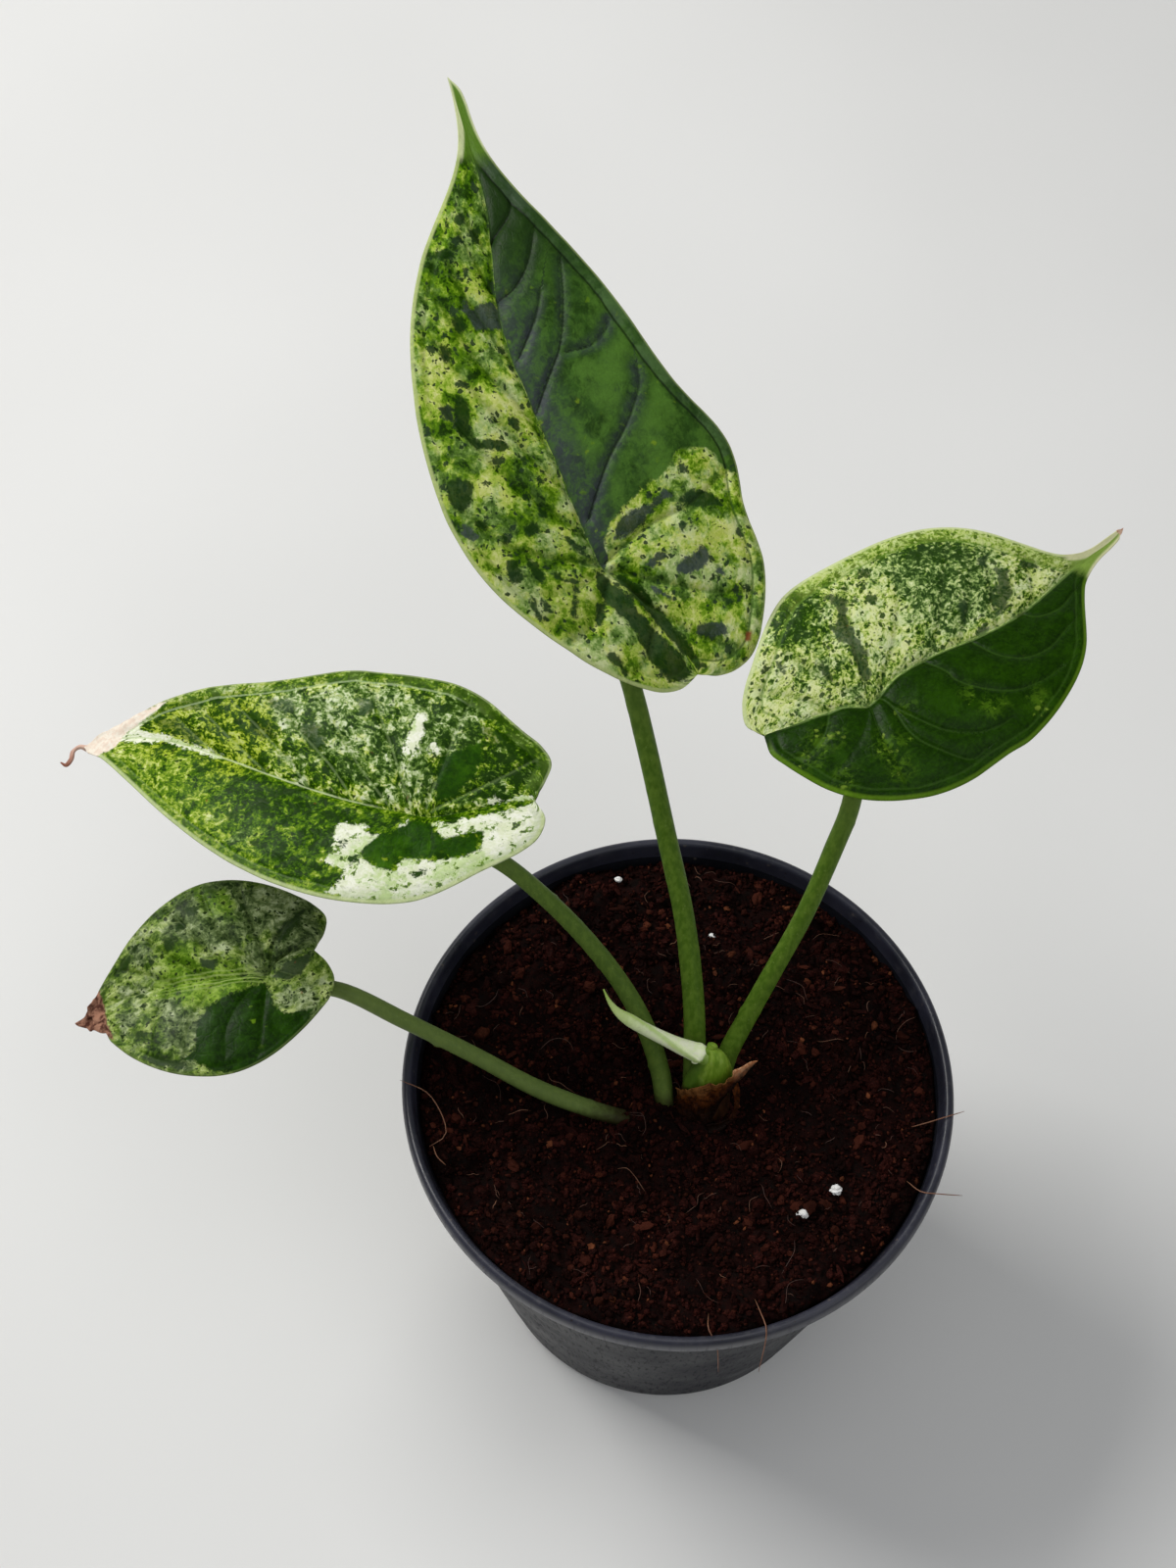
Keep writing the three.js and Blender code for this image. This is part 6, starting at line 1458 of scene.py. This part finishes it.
rad = yl[:, 3] + 0.12 * lattice(np.linspace(0, 60, nring), np.zeros(nring), 7.0, 77) * sstep(0, 0.2, np.linspace(0, 1, nring))
rad = np.maximum(rad * (1 + 0.08 * sstep(0.40, 0.5, np.linspace(0, 1, nring))), 0.14)
verts, faces, ring, ang = tube(yl[:, :3], rad, 80, rolled)
edge = 0.9 + 5.2 * ring
turn = ((ang - edge) / (2 * np.pi)) % 1.0
streak = 0.8 * np.exp(-((turn - 0.95) / 0.07) ** 2) + 0.45 * np.exp(-((turn - 0.74) / 0.12) ** 2) + 0.6 * np.exp(-((turn - 0.40) / 0.09) ** 2) * sstep(0.50, 0.7, ring)
ob = add_mesh("young_leaf_skin", verts, faces, [young_mat], attrs={"up": ring, "streak": np.clip(streak, 0, 1)})
place(ob, "young_leaf", "young_leaf_rolled")


# ------------------------------------------------------------------ sheets built from a grid of points
def sheet_mesh(grid, thick, name, materials, attrs, wrap=False):
    """Closed thin sheet from an m x n grid of points; thick is a number or an m x n array."""
    m, n = grid.shape[:2]
    gu, gv = np.gradient(grid, axis=0), np.gradient(grid, axis=1)
    nrm = np.cross(gu, gv)
    nrm /= np.maximum(np.linalg.norm(nrm, axis=2, keepdims=True), 1e-9)
    t = np.broadcast_to(np.asarray(thick, float), (m, n))[..., None]
    a, b = grid + nrm * t / 2, grid - nrm * t / 2
    verts = np.vstack([a.reshape(-1, 3), b.reshape(-1, 3)])
    A = np.arange(m * n).reshape(m, n)
    B = A + m * n
    quads = [np.stack([A[:-1, :-1], A[1:, :-1], A[1:, 1:], A[:-1, 1:]], -1).reshape(-1, 4),
             np.stack([B[:-1, :-1], B[:-1, 1:], B[1:, 1:], B[1:, :-1]], -1).reshape(-1, 4)]
    for ra, rb in ((A[0], B[0]), (A[-1][::-1], B[-1][::-1]), (A[:, 0][::-1], B[:, 0][::-1]), (A[:, -1], B[:, -1])):
        quads.append(np.stack([ra[:-1], ra[1:], rb[1:], rb[:-1]], -1))
    faces = np.vstack(quads)
    both = {k: np.r_[np.asarray(v, float).ravel(), np.asarray(v, float).ravel()] for k, v in attrs.items()}
    return add_mesh(name, verts, faces.tolist(), materials, attrs=both)


# green foot of the stalks, wrapped round the young leaf's stalk and leaning back with it
FOOT = [[5.8, -5.2, 94.6, 5.5, 3.8], [5.9, -4.4, 100.0, 5.4, 3.5], [6.2, -3.5, 104.6, 5.2, 3.1], [6.8, -2.7, 108.2, 4.5, 2.7], [7.1, -2.1, 110.6, 3.6, 2.35],
        [7.2, -1.6, 112.4, 2.7, 2.0], [7.0, -1.2, 113.9, 1.7, 1.5], [6.8, -1.0, 114.9, 0.5, 0.5]]
fp = spline(FOOT, 90)
sides = 90
ang = np.linspace(0, 2 * np.pi, sides, endpoint=False)[None, :]
sfoot = np.linspace(0, 1, len(fp))[:, None]
lap = math.radians(296) - 1.15 * sfoot               # the free margin of the wrap
turn = ((ang - lap) / (2 * np.pi)) % 1.0
swell = 1 + 0.11 * (turn - 0.5) * sstep(0.0, 0.3, sfoot) * sstep(1.0, 0.8, sfoot)
swell = swell - 0.10 * np.exp(-(((ang - math.radians(238)) / 0.22) ** 2)) * sstep(0.1, 0.4, sfoot) * sstep(0.95, 0.7, sfoot)
swell = swell + 0.012 * lattice(ang * 2 + 0 * sfoot, sfoot * 3 + 0 * ang, 1.6, 91)
gx = fp[:, 0][:, None] + fp[:, 3][:, None] * swell * np.cos(ang)
gy = fp[:, 1][:, None] + fp[:, 4][:, None] * swell * np.sin(ang)
gz = fp[:, 2][:, None] + 0.10 * fp[:, 4][:, None] * np.sin(ang)
verts = np.vstack([np.stack([gx, gy, gz], -1).reshape(-1, 3), fp[:1, :3], fp[-1:, :3]])
ids = np.arange(len(fp) * sides).reshape(len(fp), sides)
nxt = np.roll(ids, -1, axis=1)
faces = np.stack([ids[:-1], nxt[:-1], nxt[1:], ids[1:]], -1).reshape(-1, 4).tolist()
c0, c1 = len(fp) * sides, len(fp) * sides + 1
faces += [[c0, int(nxt[0, k]), int(ids[0, k])] for k in range(sides)] + [[c1, int(ids[-1, k]), int(nxt[-1, k])] for k in range(sides)]
ob = add_mesh("stem_foot", verts, faces, [sheath_mat])
place(ob, "leaf_stalk")
# knob on the joint of the young leaf, and the small pink-brown flap under it
g = np.random.default_rng(93)
v, f = ico(3)
v1 = v * (1 + 0.08 * np.sin(v @ np.array([2.0, 3.1, 1.7]))[:, None]) * np.array([1.15, 0.9, 0.95]) + np.array([6.5, 0.1, 115.0])
v2 = v * np.array([1.5, 1.0, 1.2]) + np.array([5.9, -0.7, 113.9])
ob = tris_mesh("stem_knob", np.vstack([v1, v2]), np.vstack([f, f + len(v)]), [sheath_mat])
place(ob, "leaf_stalk")
v3 = v * np.array([0.85, 0.45, 0.5]) @ np.array([[0.9, 0.1, -0.4], [-0.1, 1.0, 0.0], [0.4, 0.0, 0.9]]) + np.array([3.0, -2.3, 112.3])
ob = tris_mesh("young_leaf_flap", v3, f, [young_mat], {"up": np.full(len(v3), 0.5), "streak": np.zeros(len(v3))})
place(ob, "young_leaf")

# brown papery sheath leaf round the foot, torn open on the right, with its dry tip pointing right
m, n = 56, 150
w = np.linspace(0, 1, m)[:, None]
s = np.linspace(0, 1, n)[None, :]
ang = math.radians(172) + math.radians(186) * s
top_z = np.interp(s, [0, 0.1, 0.2, 0.5, 0.75, 0.9, 1.0], [100.4, 103.6, 105.4, 108.8, 111.0, 112.2, 112.4]) + 0.35 * np.sin(26 * s) * 0.6 + 0.5 * lattice(s * 30, s * 0, 2.6, 83) + 0.35 * lattice(s * 30, s * 0, 0.9, 85)
low_z = np.interp(s, [0, 0.54, 0.62, 0.74, 1.0], [94.6, 94.8, 99.5, 105.6, 108.0])
z0 = low_z + (top_z - low_z) * w
hz = (z0 - 94.6) / 14.0
ex, ey = 6.35 - 0.15 * hz, 4.5 - 0.9 * hz
ccx, ccy = 5.9 + 0.2 * hz, -5.3 + 2.3 * hz
wr = 0.12 * np.sin(62 * s + 3 * w) * (0.3 + w) + 0.42 * lattice(s * 34 + 0 * w, w * 9 + 0 * s, 3.0, 81) + 0.22 * lattice(s * 34 + 0 * w, w * 14 + 0 * s, 1.4, 84)
x0 = ccx + (ex + wr) * np.cos(ang)
y0 = ccy + (ey + wr) * np.sin(ang)
pull = sstep(0.80, 1.0, s) ** 1.5
tx, ty, tz = 16.3, -1.7, 111.9
ridge = (w - 0.5) * 1.0 * (1 - pull)
px = x0 * (1 - pull) + tx * pull
py = y0 * (1 - pull) + ty * pull + 0.5 * (w - 0.5) * pull * sstep(1, 0.9, s)
pz = z0 * (1 - pull) + (tz + 0.7 * (w - 0.5) * (1 - 0.8 * s)) * pull
grid = np.stack([px, py, pz], -1)
ob = sheet_mesh(grid, 0.16, "dry_sheath_skin", [papery_mat], {"up": w + 0 * s, "tip": sstep(0.62, 0.98, s) * (0.35 + 0.65 * w)})
place(ob, "dry_sheath", "dried_sheath_leaf")

# the torn strip that loops down from it
loop = spline([[11.2, -4.6, 108.4], [12.0, -5.4, 105.2], [12.4, -6.9, 101.6], [11.6, -8.6, 98.4], [9.4, -9.9, 96.4], [6.4, -10.6, 95.6]], 70)
tan, a, b = frames(loop)
wv = np.linspace(-1, 1, 11)[None, :, None]
sv = np.linspace(0, 1, 70)
half = (0.62 + 0.18 * np.sin(sv * 9) + 0.5 * sstep(0.7, 1.0, sv))[:, None, None]
side_dir = np.cross(tan, unit([0.35, -0.75, 0.55]))
side_dir /= np.linalg.norm(side_dir, axis=1, keepdims=True)
cup = np.cross(side_dir, tan)
grid = loop[:, None, :] + half * wv * side_dir[:, None, :] + 0.30 * (wv ** 2) * cup[:, None, :] + 0.1 * np.sin(sv * 31)[:, None, None] * cup[:, None, :]
ob = sheet_mesh(grid, 0.2, "dry_sheath_strip", [papery_mat], {"up": 0.75 - 0.6 * sv[:, None] + 0 * grid[..., 0], "tip": 0.35 * (1 - sv)[:, None] + 0 * grid[..., 0]})
place(ob, "dry_sheath")


# ------------------------------------------------------------------ pot
def wall_r(z):
    return 42 + (57.8 - 42) * z / 95.4


def lathe(profile, sides, name, materials, wobble=None):
    """Profile as (r, z), starting and ending on the axis."""
    p = np.asarray(profile, float)
    ang = np.linspace(0, 2 * np.pi, sides, endpoint=False)
    inner = p[1:-1]
    rr = inner[:, 0][:, None] + 0 * ang
    zz = inner[:, 1][:, None] + 0 * ang
    if wobble is not None:
        rr, zz = wobble(rr, zz, ang[None, :])
    verts = np.stack([rr * np.cos(ang), rr * np.sin(ang), zz], -1).reshape(-1, 3)
    verts = np.vstack([verts, [0, 0, p[0, 1]], [0, 0, p[-1, 1]]])
    k = len(inner)
    ids = np.arange(k * sides).reshape(k, sides)
    nxt = np.roll(ids, -1, axis=1)
    faces = np.stack([ids[:-1], nxt[:-1], nxt[1:], ids[1:]], -1).reshape(-1, 4).tolist()
    c0, c1 = k * sides, k * sides + 1
    faces += [[c0, int(nxt[0, j]), int(ids[0, j])] for j in range(sides)]
    faces += [[c1, int(ids[-1, j]), int(nxt[-1, j])] for j in range(sides)]
    return add_mesh(name, verts, faces, materials)


def arc(cr, cz, r, a0, a1, n):
    a = np.radians(np.linspace(a0, a1, n))
    return [[cr + r * math.cos(q), cz + r * math.sin(q)] for q in a]


wall_out = [[wall_r(z), z] for z in np.linspace(3.2, 94.2, 24)]
wall_in = [[wall_r(z) - WALL, z] for z in np.linspace(92.5, 4.2, 22)]
pot_profile = (
    [[0, 0.7], [34.5, 0.7], [35.6, 0.55], [36.2, 0.12], [36.8, 0.0], [39.6, 0.0], [40.5, 0.12], [41.2, 0.5], [41.8, 1.2], [42.2, 2.1]]
    + wall_out
    + [[wall_r(94.9), 94.9], [58.1, 95.25], [58.9, 95.35], [59.5, 95.5], [59.85, 95.85], [60.0, 96.4], [60.0, 97.6], [59.98, 98.4], [59.85, 99.0],
       [59.6, 99.5], [59.2, 99.85], [58.75, 100.0], [58.35, 99.92], [58.0, 99.65], [57.78, 99.25], [57.62, 98.7], [57.4, 97.6], [57.0, 95.8], [56.6, 94.2]]
    + wall_in
    + [[wall_r(3.0) - 1.5, 3.0], [wall_r(2.0) - 2.1, 2.1], [wall_r(1.6) - 3.0, 1.65], [36, 1.6], [20, 1.6], [0, 1.6]]
)


def pot_wobble(rr, zz, ang):
    # a thin moulded pot is never quite round
    k = sstep(20, 96, zz) * (0.22 * np.cos(2 * ang + 0.7) + 0.10 * np.cos(3 * ang + 2.0))
    keep = 1 - sstep(59.4, 60.0, rr) * 0
    return rr + (k - 0.22) * keep * sstep(10, 60, zz), zz


pot = lathe(pot_profile, 208, "pot_skin", [pot_mat], pot_wobble)
cutters = []
for i in range(DRAIN_N):
    a = (i + 0.5) * 2 * math.pi / DRAIN_N
    bpy.ops.mesh.primitive_cylinder_add(vertices=40, radius=DRAIN_D / 2 * MM, depth=6 * MM, location=(DRAIN_R * math.cos(a) * MM, DRAIN_R * math.sin(a) * MM, 1 * MM))
    cutters.append(bpy.context.object)
for c in cutters:
    mod = pot.modifiers.new("drain", "BOOLEAN")
    mod.operation, mod.solver, mod.object = "DIFFERENCE", "EXACT", c
dg = bpy.context.evaluated_depsgraph_get()
cut = bpy.data.meshes.new_from_object(pot.evaluated_get(dg))
pot.modifiers.clear()
pot.data = cut
cut.materials.clear()
cut.materials.append(pot_mat)
cut.materials.append(pot_material(wall=True))
mid_z = np.zeros(3 * len(cut.polygons))
cut.polygons.foreach_get("center", mid_z)
cut.polygons.foreach_set("material_index", (mid_z[2::3] < 95.3 * MM).astype(np.int32))
for c in cutters:
    bpy.data.objects.remove(c, do_unlink=True)
cut.polygons.foreach_set("use_smooth", np.ones(len(cut.polygons), bool))
cut.set_sharp_from_angle(angle=math.radians(38))
place(pot, "pot_plastic", "pot")


# ------------------------------------------------------------------ potting mix
def soil_height(x, y):
    r = np.hypot(x, y)
    a = np.degrees(np.arctan2(y, x)) % 360
    h = SOIL_TOP - 0.4 + 0.8 * lattice(x, y, 13.0, 201) + 1.0 * lattice(x, y, 5.5, 202) + 0.7 * lattice(x, y, 2.6, 203) + 0.3 * lattice(x, y, 1.1, 204)
    # deeper cracks between the clods
    h -= 1.3 * np.exp(-(lattice(x, y, 7.5, 206) / 0.13) ** 2) * sstep(-0.2, 0.5, lattice(x, y, 16.0, 207))
    # the mix has shrunk from the wall at the back and on the left, and is nearly level with the rim in front
    shrink = np.clip(np.cos(np.radians(a - 145)), 0, 1) ** 0.7
    h -= (0.5 + 1.5 * shrink) * sstep(53.5, 56.4, r + 0.9 * lattice(x, y, 6.0, 205))
    front = np.clip(np.cos(np.radians(a - 285)), 0, 1)
    h += 0.9 * front * sstep(30, 52, r)
    h += 0.6 * np.exp(-(((x - 4) ** 2 + (y + 5) ** 2) / 14.0 ** 2)) + 1.6 * np.exp(-(((x + 7.6) ** 2 + (y + 9.6) ** 2) / 3.2 ** 2))
    h += 1.2 * np.exp(-(((x + 2.6) ** 2 + (y + 7.2) ** 2) / 2.6 ** 2)) + 0.8 * np.exp(-(((x + 5.6) ** 2 + (y + 3.6) ** 2) / 2.4 ** 2))
    h -= 1.3 * np.exp(-(((x - 5) ** 2 + (y + 20) ** 2) / 4.0 ** 2)) + 1.0 * np.exp(-(((x - 20) ** 2 + (y + 12) ** 2) / 4.5 ** 2))
    return h


nr_s, na_s = ((92, 260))
rr = np.linspace(0, 1, nr_s + 1)[1:] ** 0.92 * 56.35
aa = np.linspace(0, 2 * np.pi, na_s, endpoint=False)
RR, AA = np.meshgrid(rr, aa, indexing="ij")
sx, sy = RR * np.cos(AA), RR * np.sin(AA)
sz = soil_height(sx, sy)
side_z = np.r_[88.0, 70.0, 45.0, 20.0, 3.2, 2.0]
rings = [np.stack([(wall_r(z) - WALL - 0.35) * np.cos(aa) * (1 if z > 2.5 else 0.95), (wall_r(z) - WALL - 0.35) * np.sin(aa) * (1 if z > 2.5 else 0.95), 0 * aa + z], -1) for z in side_z]
verts = np.vstack([[[0, 0, float(soil_height(np.zeros(1), np.zeros(1))[0])]], np.stack([sx, sy, sz], -1).reshape(-1, 3)] + rings + [[[0, 0, 2.0]]])
ids = 1 + np.arange((nr_s + len(side_z)) * na_s).reshape(-1, na_s)
nxt = np.roll(ids, -1, axis=1)
quads = np.stack([ids[:-1], ids[1:], nxt[1:], nxt[:-1]], -1).reshape(-1, 4)
tri = np.vstack([quads[:, [0, 1, 2]], quads[:, [0, 2, 3]], np.stack([0 * ids[0], ids[0], nxt[0]], -1), np.stack([0 * ids[-1] + len(verts) - 1, nxt[-1], ids[-1]], -1)])
ob = tris_mesh("potting_mix_skin", verts, tri, [soil_mat])
place(ob, "potting_mix", "potting_mix")

rng = np.random.default_rng(5)


def spots(n, rmax=55.6, power=0.5):
    r = rmax * rng.uniform(0, 1, n) ** power
    a = rng.uniform(0, 2 * np.pi, n)
    return r * np.cos(a), r * np.sin(a)


# crumbs of coir and peat, large to small, that cover the whole surface
def crumbs(name, count, level, middle, spread, low, high, flat, lift, rough, rmax, cluster=False, tint=1.0):
    cx, cy = spots(count, rmax)
    keep = rng.uniform(-1, 1, count) < 0.55 + 1.6 * lattice(cx, cy, 3.4, 208) if cluster else np.ones(count, bool)
    cx, cy = cx[keep], cy[keep]
    count = len(cx)
    size = np.exp(rng.normal(math.log(middle), spread, count)).clip(low, high)
    sizes = size[:, None] * rng.uniform([0.8, 0.6, flat], [1.35, 1.05, flat + 0.35], (count, 3))
    cz = soil_height(cx, cy) + lift * size + rng.uniform(-0.25, 0.25, count)
    v, f, per = scatter(rng, level, np.stack([cx, cy, cz], -1), sizes, rough)
    ob = tris_mesh(name, v, f, [crumb_mat], {"tint": np.repeat(rng.uniform(0, tint, count), per)}, smooth=False)
    place(ob, "potting_mix")


crumbs("mix_clods", 90, 2, 1.5, 0.25, 1.0, 2.3, 0.45, -0.15, 0.22, 54.0, False, 0.62)
crumbs("mix_lumps", 1400, 1, 0.85, 0.30, 0.45, 1.7, 0.5, 0.25, 0.30, 55.2, True)
crumbs("mix_crumbs", 9000, 0, 0.50, 0.30, 0.25, 1.0, 0.6, 0.5, 0.32, 55.8, True)
crumbs("mix_grains", 5000, 0, 0.27, 0.30, 0.14, 0.55, 0.6, 2.0, 0.36, 56.0)
# flat bits of husk and bark
count = 170
cx, cy = spots(count, 54.0)
ln_ = np.exp(rng.normal(math.log(1.2), 0.35, count)).clip(0.5, 2.8)
sizes = np.stack([ln_, ln_ * rng.uniform(0.16, 0.4, count), rng.uniform(0.12, 0.3, count)], -1)
yaw = rng.uniform(0, 2 * np.pi, count)
tilt = rng.normal(0, 0.28, (count, 2))
turns = []
for yw, (ta, tb) in zip(yaw, tilt):
    cyw, syw = math.cos(yw), math.sin(yw)
    turns.append(np.array([[cyw, -syw, 0], [syw, cyw, 0], [0, 0, 1]]) @ np.array([[1, 0, 0], [0, math.cos(ta), -math.sin(ta)], [0, math.sin(ta), math.cos(ta)]]) @ np.array([[math.cos(tb), 0, math.sin(tb)], [0, 1, 0], [-math.sin(tb), 0, math.cos(tb)]]))
v, f, per = scatter(rng, 1, np.stack([cx, cy, soil_height(cx, cy) + 0.9], -1), sizes, 0.22, np.array(turns))
ob = tris_mesh("mix_chips", v, f, [crumb_mat], {"tint": np.repeat(rng.uniform(0.45, 0.985, count), per)}, smooth=False)
place(ob, "potting_mix")


def strand(points, radius, sides=6, n=14):
    path = spline(points, n)
    taper = radius * (1 - 0.65 * np.abs(np.linspace(-1, 1, n)) ** 4)
    v, f, ring, ang = tube(path, taper, sides)
    tri = []
    for q in f:
        tri.append(q[:3])
        if len(q) == 4:
            tri.append([q[0], q[2], q[3]])
    return v, np.array(tri)


def strands(items, name):
    allv, allf, allt, base = [], [], [], 0
    for pts, radius, t in items:
        v, f = strand(pts, radius)
        allv.append(v)
        allf.append(f + base)
        allt.append(np.full(len(v), t))
        base += len(v)
    ob = tris_mesh(name, np.vstack(allv), np.vstack(allf), [fibre_mat], {"tint": np.concatenate(allt)})
    return place(ob, "potting_mix")


items = []
for k in range(150):
    x, y = (float(q[0]) for q in spots(1, 53.0))
    ln_ = rng.uniform(1.2, 4.0) if k > 22 else rng.uniform(4.5, 9.0)
    a = rng.uniform(0, 2 * np.pi)
    bend = rng.normal(0, 0.45 if k > 22 else 0.7)
    pts = []
    for j in range(5):
        px, py = x + math.cos(a) * ln_ * j / 4, y + math.sin(a) * ln_ * j / 4
        a += bend * 0.25 + rng.normal(0, 0.12)
        if math.hypot(px, py) > 55.4:
            break
        hz = float(soil_height(np.array([px]), np.array([py]))[0])
        pts.append([px, py, hz + 1.0 + 0.7 * math.sin(math.pi * j / 4) * rng.uniform(0, 1)])
    if len(pts) >= 3:
        items.append((pts, rng.uniform(0.045, 0.085), rng.uniform(0.0, 1.0) ** 3.2))
strands(items, "mix_fibres")

# long strands that hang over the rim
RIM_STRANDS = [
    [[5.95, -51.81, 97.5], [5.72, -55.98, 100.4], [7.45, -58.31, 97.5], [8.23, -61.76, 90.0]],
    [[15.55, -48.4, 97.0], [16.52, -51.91, 99.0], [17.51, -55.76, 100.3], [16.53, -61.63, 90.0]],
    [[50.4, -9.98, 97.0], [53.98, -9.54, 98.8], [56.51, -9.25, 100.4], [61.74, -7.0, 99.0]],
    [[48.58, -22.26, 97.0], [51.16, -25.53, 99.4], [54.08, -26.25, 100.3], [60.24, -25.35, 97.0]],
    [[-53.35, -16.21, 97.0], [-49.89, -13.44, 97.5], [-53.77, -5.3, 99.5], [-60.22, -2.46, 100.6]],
    [[-52.48, -16.21, 97.6], [-51.49, -18.8, 98.0], [-49.58, -20.36, 97.0]],
]
strands([(p, 0.13, 0.75) for p in RIM_STRANDS], "rim_fibres")

# ------------------------------------------------------------------ white grains
for i, (x, y, size) in enumerate(PERLITE):
    g = np.random.default_rng(300 + i)
    v, f = ico(3)
    bump = 1 + 0.16 * np.sin(v @ g.normal(0, 3.0, 3) + 1.3 * i) + 0.10 * np.sin(v @ g.normal(0, 6.0, 3)) + 0.05 * np.sin(v @ g.normal(0, 11.0, 3))
    v = v * bump[:, None] * (np.array([1.0, 0.82, 0.72]) * size * 1.02)
    v = v + np.array([x, y, 95.9 + 0.92 * size])
    ob = tris_mesh("white_grain_%d" % (i + 1), v, f, [perlite_mat])
    place(ob, "perlite", "perlite_grain_%d" % (i + 1))

# ------------------------------------------------------------------ what stays hidden in the mix
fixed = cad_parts["rootstock_with_roots"]
fixed.data.materials.clear()
fixed.data.materials.append(root_mat)

# ------------------------------------------------------------------ floor and light
fn = Net("floor")
fp = fn.obj()
fcol = fn.mix(fn.ramp(fn.noise(fp, 0.004, 2.0, 0.5), 0.3, 0.7), lin(226, 226, 224), lin(232, 232, 230))
floor_mat = fn.shader(fcol, 0.75, None)
me = bpy.data.meshes.new("floor")
prof = [(-1.6, 0.0)] + [(y, 0.0) for y in np.linspace(-1.2, 1.1, 8)] + [(1.1 + 0.5 * math.sin(a), 0.5 - 0.5 * math.cos(a)) for a in np.linspace(0.12, math.pi / 2, 14)] + [(1.6, 1.8)]
fv, ff = [], []
for k, (y, z) in enumerate(prof):
    fv += [(-2.2, y, z), (2.2, y, z)]
    if k:
        ff.append((2 * k - 2, 2 * k - 1, 2 * k + 1, 2 * k))
me.from_pydata(fv, [], ff)
me.materials.append(floor_mat)
me.polygons.foreach_set("use_smooth", np.ones(len(me.polygons), bool))
floor = bpy.data.objects.new("floor", me)
bpy.context.scene.collection.objects.link(floor)


def area_light(name, at, aim, size, power, colour=(1, 1, 1)):
    d = bpy.data.lights.new(name, "AREA")
    d.shape = "RECTANGLE"
    d.size, d.size_y = size
    d.energy = power
    d.color = colour
    ob = bpy.data.objects.new(name, d)
    ob.location = at
    ob.rotation_euler = (Vector(aim) - Vector(at)).to_track_quat("-Z", "Y").to_euler()
    bpy.context.scene.collection.objects.link(ob)


area_light("key", (-0.85, 0.50, 1.20), (0, 0.05, 0.14), (0.65, 0.65), 17.0, (1.0, 0.99, 0.97))
area_light("fill", (0.9, -0.75, 0.75), (0, 0, 0.1), (0.9, 0.9), 2.2, (0.96, 0.98, 1.0))
area_light("overhead", (0.15, -0.32, 1.45), (0, 0.03, 0.1), (0.9, 0.9), 3.2)
world = bpy.data.worlds.new("world")
world.use_nodes = True
world.node_tree.nodes["Background"].inputs[0].default_value = (0.93, 0.95, 1.0, 1)
world.node_tree.nodes["Background"].inputs[1].default_value = 0.22
bpy.context.scene.world = world
bpy.context.scene.view_settings.view_transform = "Standard"
bpy.context.scene.view_settings.look = "None"
